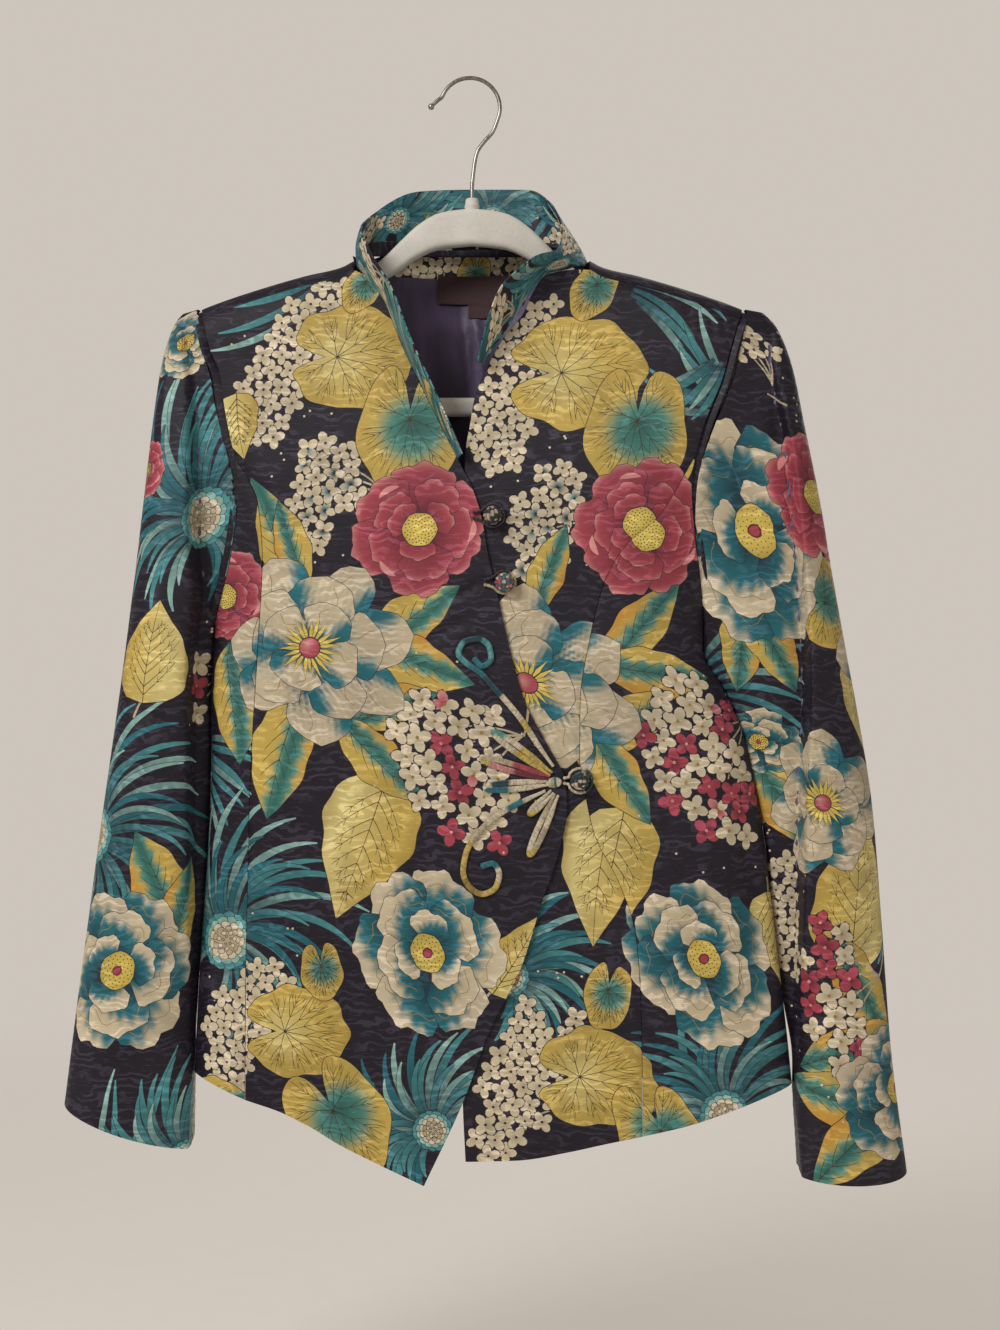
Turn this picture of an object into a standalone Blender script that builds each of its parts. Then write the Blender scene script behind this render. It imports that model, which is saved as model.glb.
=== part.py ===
"""Tang jacket on a hanger: a flower-printed jacket with a stand collar, princess seams, a slanted overlap,
three covered ball buttons and a looped frog, hung on a padded clothes hanger.

Metres, +Z up. +X is the wearer's left, -Y the wearer's front. The origin is the underside of the hook's apex.
Tables are in millimetres, x and z in the plane that the jacket hangs in; y comes from the depth functions.
"""

import math

import bmesh
import bpy
import numpy as np

MM = 0.001

# Driving sizes, in millimetres.
CLOTH = 1.6  # wall of the cloth
SEAM = 0.6  # gap between pieces at a seam
SIDE_SEAM = 1.3  # gap between front and back at the side seams
ARMHOLE_SEAM = 2.3  # from a panel's armhole to the sleeve's edge
SLEEVE_CLEARANCE = 3.8  # from the body's side to the sleeve's middle surface
LAYER = 0.3  # gap between a piece and the panel that it lies on
SHOULDER_WRAP = 9.0  # how far the back comes forward over the shoulder
SHOULDER_ROUND = 26.0  # drop from the shoulder line to the full depth
UNDERLAP_LIFT = 2.8  # how far the right front lies in front of the left front
LINING_STEP = 3.8  # from the back's middle surface to the lining's
NECK_HALF = 88.0
SHOULDER_TIP = 200.3  # outer end of the shoulder seams
SIDE_PANEL_TIP = 0.15  # share of its first row by which a side panel's point is blunted
HANGER_HALF_WIDTH = 213.0
HANGER_HALF_THICK = 6.0
HANGER_EDGE = 4.0
HANGER_SEAT = 1.6  # from the hanger's top to the cloth that rests on it
HANGER_NECK_RADIUS = 5.6  # of the boss that the hook stands in
WIRE_RADIUS = 1.5
WIRE_FIT = 0.35  # clearance round the wire in the hanger
HOOK_RADIUS = 22.5
HOOK_BALL_RADIUS = 2.4
BALL_RADIUS = 7.0
LOOP_CORD_RADIUS = 1.1
LOOP_OPENING = 38  # degrees on each side of -X in which a button loop's ends leave its ring
LABEL_CLOTH = 1.0
LABEL_STEP = 2.8  # from the lining's middle surface to a label's
STRAND_WIDTH = 4.4
STRAND_THICK = 2.2
FROG_CENTRE = (66.5, -524.5)
FROG_ROOT_REACH = 12.5

# Shoulder line: distance from the middle, height.
SHOULDER_LINE = (
    (0, -108), (48, -111), (63, -117), (77, -127.5), (88, -136.5), (97, -141.5),
    (124, -148), (157, -157.5), (186, -167), (203, -173.5), (226, -185),
)
# Widest points of the body seen from the front: height, wearer's right side, wearer's left side.
BODY_SIDES = (
    (-100, -226, 230), (-175, -222, 222), (-250, -212, 205), (-305, -203, 190), (-360, -196, 178),
    (-410, -192, 172.5), (-431, -193, 173), (-455, -194, 187), (-489, -194, 202), (-517, -194.5, 208.5),
    (-560, -196, 217), (-616, -199.5, 223.5), (-672, -203.5, 230), (-742, -207, 238), (-830, -210, 245),
)
# Depth of the cloth before and behind the hanger: height, front, back.
BODY_DEPTH = (
    (-100, 19, 17), (-170, 20, 18), (-300, 27, 22), (-450, 31, 24), (-600, 33, 25), (-830, 35, 27),
)
NECK_BULGE = (9.0, 28.0)  # extra depth at the neck, front and back
NECK_BULGE_REACH = (62.0, 75.0)  # across, down

# Seams and edges in the hanging plane, from top to bottom: x, z. R is the wearer's right, L the left.
ARMHOLE_R = ((-202, -173), (-195, -203), (-187, -223), (-184.5, -241), (-181, -261), (-176, -283))
ARMHOLE_R_LOW = ((-176, -283), (-173, -300), (-173, -320), (-177, -352), (-184, -383), (-192, -410))
ARMHOLE_L = ((202, -173), (194, -198), (186, -227), (179, -244), (172, -262), (166, -283))
ARMHOLE_L_LOW = ((166, -283), (162.5, -305), (165, -342), (169, -372), (172, -400), (173, -431))
PRINCESS_R = ((-176, -283), (-158, -319), (-154.5, -360), (-157.5, -420), (-162, -495), (-164, -540))
PRINCESS_R_LOW = ((-164, -540), (-165, -585), (-166.5, -671), (-167, -759))
PRINCESS_L = ((166, -283), (137, -330), (115, -349), (99, -375), (87, -420), (80, -465), (79.5, -510))
PRINCESS_L_LOW = ((79.5, -510), (90, -562), (109, -600), (121, -638), (124.5, -690), (126, -784.5))
NECK_R = ((-NECK_HALF, -145.5), (-77, -152), (-66, -168), (-52, -202), (-29, -250), (-12, -284), (0, -307))
EDGE_R = ((0, -307), (7, -329), (12, -358), (19.5, -390), (29, -431), (39, -466), (53, -493), (69, -521))
EDGE_R_LOW = (
    (69, -521), (70, -545), (64, -575), (51, -614), (36, -661), (13.5, -706), (-6, -758), (-35, -820.5),
)
NECK_L = ((NECK_HALF, -145.5), (70, -147), (55, -151), (46, -163), (38, -180), (24, -197), (10, -222))
EDGE_L = ((10, -222), (3, -240), (-1, -262), (-4.5, -284), (-5, -310), (-5, -400), (-5.5, -525))
EDGE_L_LOW = ((-5.5, -525), (-6, -754), (-4, -803))
SIDE_R_HEM, SIDE_L_HEM = -742.5, -751.5
HEM_R_SIDE = ((-207, -742.5), (-187, -751), (-167, -759))
HEM_R = (
    (-167, -759), (-141, -767), (-118.5, -778), (-97, -790.5), (-73, -802.5), (-48, -814.5), (-35, -820.5),
)
HEM_L = ((-4, -803), (34, -802), (71, -796), (99, -790), (126, -784.5))
HEM_L_SIDE = ((126, -784.5), (160, -777), (192, -767), (220, -757.5), (238.8, -751.5))
BACK_HEM_DIP = 5.0
BACK_NECK_DROP = 13.0
FACING_BOTTOM = -143.0
FACING_HALF = 68.0
LINING_TOP, LINING_HEM, LINING_INSET = -143.5, -728.0, 20.0
# Rows of the back's side edges, as distances below the shoulder line: negative lies before the shoulder.
BACK_EDGE_DROPS = (-4, -1, 0, 1, 4, 9, 17, 32, 55, 80, 105, 130, 155, 180, 205)
# Columns of the back, as distances in from the shoulder tip. They crowd where the neckline ends.
BACK_COLUMNS = (0, 3, 9, 20, 42, 72, 98, 110, 114.2, 120, 134, 162)
BACK_HALF = 202.0
# Labels: name, left, right, top, bottom.
LABELS = (("neck_label", -26, 38, -141, -163), ("size_tab", -3, 13.5, -163.5, -174))

# Collar: seam x, seam z, free edge x, y, z. From the wearer's right front round the back to the left front.
COLLAR_STATIONS = (
    (-9.5, -287, -6.5, -38, -284), (-28, -249, -22.5, -42, -247), (-51, -201.5, -45, -47, -198),
    (-65, -167.5, -58, -50, -164), (-79, -149.5, -74, -46, -137), (-85.8, -136.8, -82, -14, -113),
    (-80, -129.5, -73, 20, -95), (-50, -121, -41, 36, -76), (-2, -119, -1.5, 43, -73),
    (46, -121, 42, 35, -75), (78, -129.5, 60, 16, -90), (85.8, -136.8, 67, -8, -113),
    (74, -144.5, 64, -30, -132), (55, -149.5, 44, -52, -144), (44.5, -161, 21, -50, -165),
    (26.5, -188.5, 10, -43, -194), (8.5, -215.5, 4.5, -37.5, -216),
)

# Sleeves: outer x, outer z, inner x, inner z, front depth, back depth, share of the armhole's form.
SLEEVE_R = (
    (-203, -172, -193, -411, 20, 18, 1.0), (-213, -178, -196, -417, 24, 20, 0.8),
    (-221, -194, -198, -424, 28, 23, 0.55), (-230, -222, -198, -433, 32, 26, 0.32),
    (-238, -270, -198, -446, 35, 28, 0.14), (-245, -322, -197.5, -462, 36, 29, 0.04),
    (-252, -375, -197, -482, 36, 29, 0.0), (-259, -430, -196.5, -510, 35, 28, 0.0),
    (-268, -495, -197, -545, 34, 27, 0.0), (-277, -558, -199, -590, 33, 26, 0.0),
    (-286, -625, -203, -645, 31, 25, 0.0), (-296, -700, -208, -712, 30, 24, 0.0),
    (-304.5, -766.5, -200, -796, 29, 23, 0.0),
)
SLEEVE_L = (
    (203, -172, 174, -432, 20, 18, 1.0), (214, -178, 178, -440, 24, 20, 0.8),
    (224, -191, 182, -448, 28, 23, 0.55), (238, -229, 188, -460, 32, 26, 0.32),
    (249, -277, 196, -476, 35, 28, 0.14), (260, -322, 203.5, -495, 36, 29, 0.04),
    (270, -376, 209.5, -518, 36, 29, 0.0), (280, -432, 216, -545, 35, 28, 0.0),
    (289, -480, 221, -575, 34, 27, 0.0), (299, -545, 226, -614, 33, 26, 0.0),
    (306, -630, 232.5, -666, 31, 25, 0.0), (313, -725, 241, -735, 30, 24, 0.0),
    (325, -817, 238, -815, 27, 22, 0.0),
)
# Front edge of the sleeve's outer lobe: height, x. The cloth falls back on the body's side of it.
LOBE_EDGE_R = (
    (-172, -222), (-218, -219), (-337, -218), (-415, -212), (-537, -211.5), (-708, -211), (-797, -205),
)
LOBE_EDGE_L = (
    (-172, 226), (-232, 230), (-296, 241), (-367, 248), (-475, 253), (-548, 250), (-700, 247), (-815, 243),
)
LOBE_STEP = 8.0
LOBE_RECESS = 0.68
CUFF_SAG = 7.0

# Frog: direction in degrees from +X, length, half width of the loop.
FROG_LOOPS = ((144, 62, 3.3), (164, 60, 3.4), (184.5, 56, 3.4), (224.5, 33, 2.2), (246, 58, 3.4))
FROG_LOOKS = ("cream", "crimson", "teal", "cream", "gold")
FROG_ROOT = ((65.6, -524.3), (60, -525), (55.2, -525.4))
FROG_ROOT_WIDTHS = (4.0, 6.6, 7.6, 8.0, 7.4, 6.2, 3.6)
CURL_UPPER = (
    (60, -513), (50, -499), (36, -478), (20, -459), (6, -444), (-4, -437), (-9.5, -430), (-5, -421.5),
    (4.5, -419.5), (13, -425), (14.5, -434), (8, -439.5), (2, -434),
)
CURL_LOWER = (
    (54, -531), (37, -539), (19, -549), (4, -563), (-4, -577), (-6, -590), (-1.5, -601), (8, -606.5),
    (17.5, -602), (20.5, -592), (15.5, -584), (7.5, -586),
)
# Ball buttons: name, x, z, radius of the loop, reach of the loop's ends, look of the ball, look of the loop.
BALLS = (
    ("top", 15.5, -329.0, 8.1, 14.5, "print", "print"), ("chest", 24.0, -378.0, 8.1, 14.5, "cream", "print"),
    ("waist", 79.5, -523.5, 8.9, 11.8, "print", "cream"),
)

COLOURS = {
    "print": (0.030, 0.016, 0.034, 1), "lining": (0.075, 0.045, 0.110, 1), "label": (0.045, 0.010, 0.014, 1),
    "hanger": (0.68, 0.64, 0.56, 1), "steel": (0.42, 0.40, 0.38, 1), "teal": (0.03, 0.16, 0.19, 1),
    "cream": (0.62, 0.52, 0.36, 1), "crimson": (0.40, 0.06, 0.08, 1), "gold": (0.60, 0.45, 0.12, 1),
}


def monotone(xs, ys):
    """A smooth function through the points that never overshoots them. xs rise."""
    xs, ys = np.asarray(xs, float), np.asarray(ys, float)
    steps = np.diff(xs)
    slopes = np.diff(ys) / steps
    tangents = np.empty_like(ys)
    tangents[0], tangents[-1] = slopes[0], slopes[-1]
    for i in range(1, len(xs) - 1):
        before, after = slopes[i - 1], slopes[i]
        if before * after <= 0:
            tangents[i] = 0
            continue
        first, second = 2 * steps[i] + steps[i - 1], steps[i] + 2 * steps[i - 1]
        tangents[i] = (first + second) / (first / before + second / after)

    def value(x):
        x = np.clip(np.asarray(x, float), xs[0], xs[-1])
        i = np.clip(np.searchsorted(xs, x, side="right") - 1, 0, len(xs) - 2)
        t = (x - xs[i]) / steps[i]
        rise = ys[i] * (1 + 2 * t) * (1 - t) ** 2 + ys[i + 1] * t * t * (3 - 2 * t)
        return rise + steps[i] * (tangents[i] * t * (1 - t) ** 2 + tangents[i + 1] * t * t * (t - 1))

    return value


def column(table, key, value):
    """A smooth function of one column of a table against another."""
    rows = sorted(table, key=lambda row: row[key])
    return monotone([row[key] for row in rows], [row[value] for row in rows])


def chords(points):
    lengths = np.linalg.norm(np.diff(points, axis=0), axis=1)
    return np.concatenate([[0], np.cumsum(lengths)])


def along(points, shares):
    """Points at the given shares of the length of a smooth line through the given points."""
    points = np.asarray(points, float)
    lengths = chords(points)
    axes = [monotone(lengths, points[:, k]) for k in range(points.shape[1])]
    fine = np.stack([axis(np.linspace(0, lengths[-1], 400)) for axis in axes], axis=1)
    travelled = chords(fine)
    at = np.asarray(shares) * travelled[-1]
    return np.stack([np.interp(at, travelled, fine[:, k]) for k in range(fine.shape[1])], axis=1)


def path(points, count):
    """count + 1 points at even distances along a smooth line through the given points."""
    return along(points, np.linspace(0, 1, count + 1))


def joined(*sections):
    """One line from (points, count) sections that meet end to end."""
    lines = [path(points, count) for points, count in sections]
    return np.concatenate([lines[0]] + [line[1:] for line in lines[1:]])


def smoothstep(t):
    t = np.clip(t, 0, 1)
    return t * t * (3 - 2 * t)


shoulder_z = column(SHOULDER_LINE, 0, 1)
side_right_x = column(BODY_SIDES, 0, 1)
side_left_x = column(BODY_SIDES, 0, 2)
front_depth = column(BODY_DEPTH, 0, 1)
back_depth = column(BODY_DEPTH, 0, 2)


def shoulder(x):
    return shoulder_z(np.abs(x))


def fullness(x, z):
    """0 on the shoulder line and at the sides, 1 over the flat of the body."""
    right, left = side_right_x(z), side_left_x(z)
    across = np.clip(np.abs(2 * x - right - left) / (left - right), 0, 1)
    down = np.clip((shoulder(x) - z) / SHOULDER_ROUND, 0, 1)
    return np.sqrt(1 - across**5) * np.sqrt(1 - (1 - down) ** 2)


def body_edge(armhole, side, z):
    """How far out a panel reaches: to its armhole, and below the underarm to the side."""
    outline = [row[::-1] for row in armhole[::-1]]
    at = monotone([row[0] for row in outline], [row[1] for row in outline])
    return np.where(z > outline[0][0], at(z), side(z))


def neck_bulge(x, z):
    below = np.maximum(0, -121 - z)
    return np.exp(-((x / NECK_BULGE_REACH[0]) ** 2) - (below / NECK_BULGE_REACH[1]) ** 2)


def front_y(x, z):
    return -(front_depth(z) + NECK_BULGE[0] * neck_bulge(x, z)) * fullness(x, z) - SIDE_SEAM / 2


def right_front_y(x, z):
    return front_y(x, z) - UNDERLAP_LIFT * smoothstep((x + 45) / 35)


def back_y(x, z):
    return (back_depth(z) + NECK_BULGE[1] * neck_bulge(x, z)) * fullness(x, z) + SIDE_SEAM / 2


def normals_of(points, depth):
    """Unit normals of a depth function at points of the hanging plane, towards the front."""
    x, z = points[..., 0], points[..., 1]
    slope_x = depth(x + 0.5, z) - depth(x - 0.5, z)
    slope_z = depth(x, z + 0.5) - depth(x, z - 0.5)
    normals = np.stack([slope_x, -np.ones_like(x), slope_z], axis=-1)
    return normals / np.linalg.norm(normals, axis=-1, keepdims=True)


def on_surface(points, depth, step=0.0):
    """Points of the hanging plane put on a depth function and moved forward along its normal by step."""
    x, z = points[..., 0], points[..., 1]
    placed = np.stack([x, depth(x, z), z], axis=-1)
    return placed + normals_of(points, depth) * step if step else placed


def patch(left, right, top, bottom):
    """Rows and columns of points that fill the space between four edges that share their corners."""
    rows = (chords(left) / chords(left)[-1] + chords(right) / chords(right)[-1])[:, None, None] / 2
    cols = (chords(top) / chords(top)[-1] + chords(bottom) / chords(bottom)[-1])[None, :, None] / 2
    across = (1 - cols) * left[:, None] + cols * right[:, None]
    down = (1 - rows) * top[None] + rows * bottom[None]
    corners = (1 - rows) * ((1 - cols) * top[0] + cols * top[-1])
    corners = corners + rows * ((1 - cols) * bottom[0] + cols * bottom[-1])
    return across + down - corners


def between(start, end, shares):
    return start + np.asarray(shares)[:, None] * (end - start)


def shifted(points, x):
    return points + (x, 0)


def material(name):
    found = bpy.data.materials.get(name)
    if found:
        return found
    made = bpy.data.materials.new(name)
    made.use_nodes = True
    shader = made.node_tree.nodes["Principled BSDF"]
    shader.inputs["Base Color"].default_value = COLOURS[name]
    shader.inputs["Metallic"].default_value = 1.0 if name == "steel" else 0.0
    shader.inputs["Roughness"].default_value = 0.3 if name == "steel" else 0.6
    return made


def add_object(name, data, look):
    obj = bpy.data.objects.new(name, data)
    data.materials.append(material(look))
    collection.objects.link(obj)
    return obj


def mesh_from(name, points, faces, look):
    mesh = bpy.data.meshes.new(name)
    mesh.from_pydata([tuple(point) for point in np.asarray(points) * MM], [], faces)
    mesh.update()
    mesh.shade_smooth()
    return add_object(name, mesh, look)


def cloth(name, grid, look="print", thickness=CLOTH, ring=False):
    """A wall of cloth through a grid of points. A ring grid closes across its columns."""
    rows, cols = grid.shape[:2]
    last = cols if ring else cols - 1
    faces = [
        (r * cols + c, r * cols + (c + 1) % cols, (r + 1) * cols + (c + 1) % cols, (r + 1) * cols + c)
        for r in range(rows - 1)
        for c in range(last)
    ]
    obj = mesh_from(name, grid.reshape(-1, 3), faces, look)
    wall = obj.modifiers.new("wall", "SOLIDIFY")
    wall.thickness = thickness * MM
    wall.offset = 0
    return obj


def sweep(name, points, normals, widths, thick, look, sides=6):
    """A closed strip with an oval section that lies along points, its flat side facing the normals."""
    tangents = np.gradient(points, axis=0)
    tangents /= np.linalg.norm(tangents, axis=1)[:, None]
    across = np.cross(tangents, normals)
    across /= np.linalg.norm(across, axis=1)[:, None]
    up = np.cross(across, tangents)
    turn = np.arange(sides) * 2 * math.pi / sides
    rings = (
        points[:, None]
        + across[:, None] * (np.cos(turn)[None, :, None] * widths[:, None, None] / 2)
        + up[:, None] * (np.sin(turn)[None, :, None] * thick / 2)
    )
    count = len(points)
    faces = [
        (r * sides + c, r * sides + (c + 1) % sides, (r + 1) * sides + (c + 1) % sides, (r + 1) * sides + c)
        for r in range(count - 1)
        for c in range(sides)
    ]
    faces += [tuple(range(sides))[::-1], tuple((count - 1) * sides + c for c in range(sides))]
    obj = mesh_from(name, rings.reshape(-1, 3), faces, look)
    made = bmesh.new()
    made.from_mesh(obj.data)
    bmesh.ops.recalc_face_normals(made, faces=made.faces)
    made.to_mesh(obj.data)
    made.free()
    return obj


# Hanger


def hanger_outline():
    """Outer line of the hanger from its middle top clockwise round the right half, mirrored for the left."""
    top = [(0, -96.5), (24, -100), (39, -108), (53, -120.5), (66, -133.5), (78, -142.5), (92, -147.5)]
    top += [(x, float(shoulder(x)) - CLOTH / 2 - HANGER_SEAT) for x in (124, 157, 186, 203)]
    end = [(HANGER_HALF_WIDTH, -183), (211, -194), (203, -217), (192, -242), (174, -252.5)]
    right = np.concatenate([path(top, 17), path([top[-1]] + end, 12)[1:]])
    return np.concatenate([right, right[:0:-1] * (-1, 1)])


def hanger_gap():
    """The open triangle between the arms and the trouser bar."""
    right = [(0, -124.5), (24, -127), (39, -133), (58, -146), (80, -156.5), (120, -170)]
    right += [(160, -184), (184, -195), (188, -205), (180, -226), (168, -238.5)]
    right = path(right, 20)
    return np.concatenate([right, right[:0:-1] * (-1, 1)])


def poly_curve(name, lines, look, cyclic):
    """A curve object in its own x and y, through lines of x, y points."""
    curve = bpy.data.curves.new(name, "CURVE")
    for line in lines:
        spline = curve.splines.new("POLY")
        spline.points.add(len(line) - 1)
        for point, place in zip(spline.points, line * MM):
            point.co = (*place, 0, 1)
        spline.use_cyclic_u = cyclic
    return curve, add_object(name, curve, look)


def stood_up(obj):
    """The curve object turned to stand in the hanging plane and made a mesh with its caps welded on."""
    obj.rotation_euler = (math.pi / 2, 0, 0)
    bpy.context.view_layer.update()
    graph = bpy.context.evaluated_depsgraph_get()
    mesh = bpy.data.meshes.new_from_object(obj.evaluated_get(graph))
    made = bmesh.new()
    made.from_mesh(mesh)
    bmesh.ops.remove_doubles(made, verts=made.verts, dist=1e-5)
    bmesh.ops.recalc_face_normals(made, faces=made.faces)
    made.to_mesh(mesh)
    made.free()
    name, look, matrix = obj.name, obj.data.materials[0].name, obj.matrix_world.copy()
    bpy.data.objects.remove(obj)
    mesh.materials.clear()
    solid = add_object(name, mesh, look)
    solid.matrix_world = matrix
    return solid


def ball_mesh(name, radius):
    mesh = bpy.data.meshes.new(name)
    made = bmesh.new()
    bmesh.ops.create_uvsphere(made, u_segments=12, v_segments=8, radius=radius * MM)
    made.to_mesh(mesh)
    made.free()
    return mesh


def helper(name, mesh, x, z):
    """A hidden tool for a Boolean."""
    obj = bpy.data.objects.new(name, mesh)
    obj.location = (x * MM, 0, z * MM)
    obj.hide_render = True
    obj.display_type = "WIRE"
    cutters.objects.link(obj)
    return obj


def round_helper(name, radius_low, radius_high, low, high):
    """A hidden cone or cylinder standing on the hook's line."""
    mesh = bpy.data.meshes.new(name)
    made = bmesh.new()
    sizes = {"radius1": radius_low * MM, "radius2": radius_high * MM, "depth": (high - low) * MM}
    bmesh.ops.create_cone(made, cap_ends=True, segments=20, **sizes)
    made.to_mesh(mesh)
    made.free()
    return helper(name, mesh, 0, (high + low) / 2)


def combine(obj, tool, operation):
    boolean = obj.modifiers.new(tool.name, "BOOLEAN")
    boolean.object = tool
    boolean.operation = operation
    boolean.solver = "EXACT"


def build_hanger():
    curve, obj = poly_curve("hanger_body", [hanger_outline(), hanger_gap()], "hanger", True)
    curve.dimensions = "2D"
    curve.fill_mode = "BOTH"
    curve.extrude = (HANGER_HALF_THICK - HANGER_EDGE) * MM
    curve.bevel_depth = HANGER_EDGE * MM
    curve.bevel_resolution = 1
    curve.offset = -HANGER_EDGE * MM
    body = stood_up(obj)
    neck, bore = HANGER_NECK_RADIUS, WIRE_RADIUS + WIRE_FIT
    combine(body, round_helper("hanger_neck", neck, neck - 1, -101.3, -89.5), "UNION")
    combine(body, round_helper("hook_socket", bore, bore, -109.0, -80.0), "DIFFERENCE")


def build_hook():
    """Wire hook: a straight stem, a kink to the side and an open arc with a ball at its tip."""
    centre_x, centre_z = -1.5, WIRE_RADIUS - HOOK_RADIUS
    stem = [(0, -108), (0, -100), (0, -84), (1.5, -66), (4, -54), (9, -46.5), (15.5, -39)]
    arc = [
        (centre_x + HOOK_RADIUS * math.cos(a), centre_z + HOOK_RADIUS * math.sin(a))
        for a in np.radians(np.linspace(-22, 158, 19))
    ]
    tip = [(-26.5, -16), (-30.5, -20)]
    curve, obj = poly_curve("hanger_hook", [path(stem + arc + tip, 42)], "steel", False)
    curve.dimensions = "3D"
    curve.bevel_depth = WIRE_RADIUS * MM
    curve.bevel_resolution = 2
    curve.use_fill_caps = True
    body = stood_up(obj)
    combine(body, helper("hook_tip", ball_mesh("hook_tip", HOOK_BALL_RADIUS), *tip[-1]), "UNION")


# Body


def centre_front(name, left, right, hem, depth):
    """A front from the shoulder seam to the hem, between its two long edges."""
    corners = sorted((left[0][0], right[0][0]))
    x = np.linspace(*corners, 10)
    top = np.stack([x, shoulder(x) - SHOULDER_WRAP - SEAM / 2], axis=1)
    left, right = left.copy(), right.copy()
    left[0], right[0] = top[0], top[-1]
    cloth(name, on_surface(patch(left, right, top, path(hem, 9)), depth))


def side_front(name, left, right, hem, shares, depth):
    """A side panel, which starts in a point at the armhole and ends at the hem."""
    left, right = left.copy(), right.copy()
    for line in (left, right):
        line[0] += (line[1] - line[0]) * SIDE_PANEL_TIP
    bottom = along(hem, shares)
    bottom[0], bottom[-1] = left[-1], right[-1]
    cloth(name, on_surface(patch(left, right, between(left[0], right[0], shares), bottom), depth))


def side_line(armhole, side, hem_z):
    """The outer edge of a side panel: down the low armhole, then down the side."""
    heights = np.linspace(armhole[-1][1], hem_z, 12)
    return np.concatenate([path(armhole, 5), np.stack([side(heights), heights], axis=1)[1:]])


def build_fronts():
    gap = SEAM / 2
    seam_r = joined((PRINCESS_R, 8), (PRINCESS_R_LOW, 8))
    seam_l = joined((PRINCESS_L, 8), (PRINCESS_L_LOW, 8))
    outer_r = np.concatenate([path(ARMHOLE_R, 5), seam_r[1:]])
    outer_l = np.concatenate([path(ARMHOLE_L, 5), seam_l[1:]])
    outer_r[0, 0], outer_l[0, 0] = -SHOULDER_TIP, SHOULDER_TIP
    inner_r = joined((NECK_R, 5), (EDGE_R, 8), (EDGE_R_LOW, 8))
    inner_l = joined((NECK_L, 5), (EDGE_L, 8), (EDGE_L_LOW, 8))
    centre_front("front_right_centre", shifted(outer_r, gap), inner_r, HEM_R, right_front_y)
    centre_front("front_left_centre", inner_l, shifted(outer_l, -gap), HEM_L, front_y)
    crowd = np.sin(np.linspace(0, math.pi / 2, 9))
    side_r = side_line(ARMHOLE_R_LOW, side_right_x, SIDE_R_HEM)
    side_l = side_line(ARMHOLE_L_LOW, side_left_x, SIDE_L_HEM)
    side_front("front_right_side", side_r, shifted(seam_r, -gap), HEM_R_SIDE, 1 - crowd[::-1], right_front_y)
    side_front("front_left_side", shifted(seam_l, gap), side_l, HEM_L_SIDE, crowd, front_y)


def back_point(x, drop):
    """A point of the back, by its distance below the shoulder line: negative lies before the shoulder."""
    z = shoulder(x) - np.abs(drop)
    return np.stack([x, np.where(drop < 0, front_y(x, z) + SEAM / 2, back_y(x, z) - SEAM / 2), z], axis=-1)


def neck_drop(x):
    """How far the back's neckline lies below the shoulder line, or before it outside the neck."""
    inside = BACK_NECK_DROP * (1 - np.clip(np.abs(x) / NECK_HALF, 0, 1) ** 4)
    return np.where(np.abs(x) > NECK_HALF, -SHOULDER_WRAP + SEAM / 2, inside)


def side_of_back(armhole, side, bottom):
    """One edge of the back as x and drop, from the shoulder wrap down the armhole and the side."""
    outline = np.asarray([row[::-1] for row in armhole[::-1]])
    at = monotone(outline[:, 0], outline[:, 1])
    top = float(shoulder(armhole[0][0]))
    low_x, low_z = armhole[-1]
    wrap = -SHOULDER_WRAP + SEAM / 2
    rows = [(float(at(top + wrap)), wrap)]
    for below in BACK_EDGE_DROPS:
        z = top - abs(below)
        x = float(at(z))
        rows.append((x, math.copysign(float(shoulder(x) - z), below)))
    for z in np.linspace(low_z, bottom, 9):
        x = float(side(z)) if z < low_z else low_x
        rows.append((x, float(shoulder(x) - z)))
    return np.asarray(rows)


def build_back():
    left = side_of_back(ARMHOLE_R + ARMHOLE_R_LOW[1:], side_right_x, SIDE_R_HEM)
    right = side_of_back(ARMHOLE_L + ARMHOLE_L_LOW[1:], side_left_x, SIDE_L_HEM)
    half = np.asarray(BACK_COLUMNS)
    across = np.concatenate([half - BACK_HALF, [0], BACK_HALF - half[::-1]])
    top = np.stack([across, neck_drop(across)], axis=1)
    share = (across + BACK_HALF) / (2 * BACK_HALF)
    hem_x = left[-1, 0] + share * (right[-1, 0] - left[-1, 0])
    hem_z = SIDE_R_HEM + share * (SIDE_L_HEM - SIDE_R_HEM) - BACK_HEM_DIP * np.sin(share * math.pi)
    bottom = np.stack([hem_x, shoulder(hem_x) - hem_z], axis=1)
    weights = (left[:, 1:] - left[0, 1]) / (left[-1, 1] - left[0, 1])
    cols = share[None, :, None]
    rows = weights[:, :, None]
    grid = (1 - cols) * left[:, None] + cols * right[:, None] + (1 - rows) * top[None] + rows * bottom[None]
    grid = grid - (1 - rows) * ((1 - cols) * top[0] + cols * top[-1])
    grid = grid - rows * ((1 - cols) * bottom[0] + cols * bottom[-1])
    cloth("back", back_point(grid[..., 0], grid[..., 1]))


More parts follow.
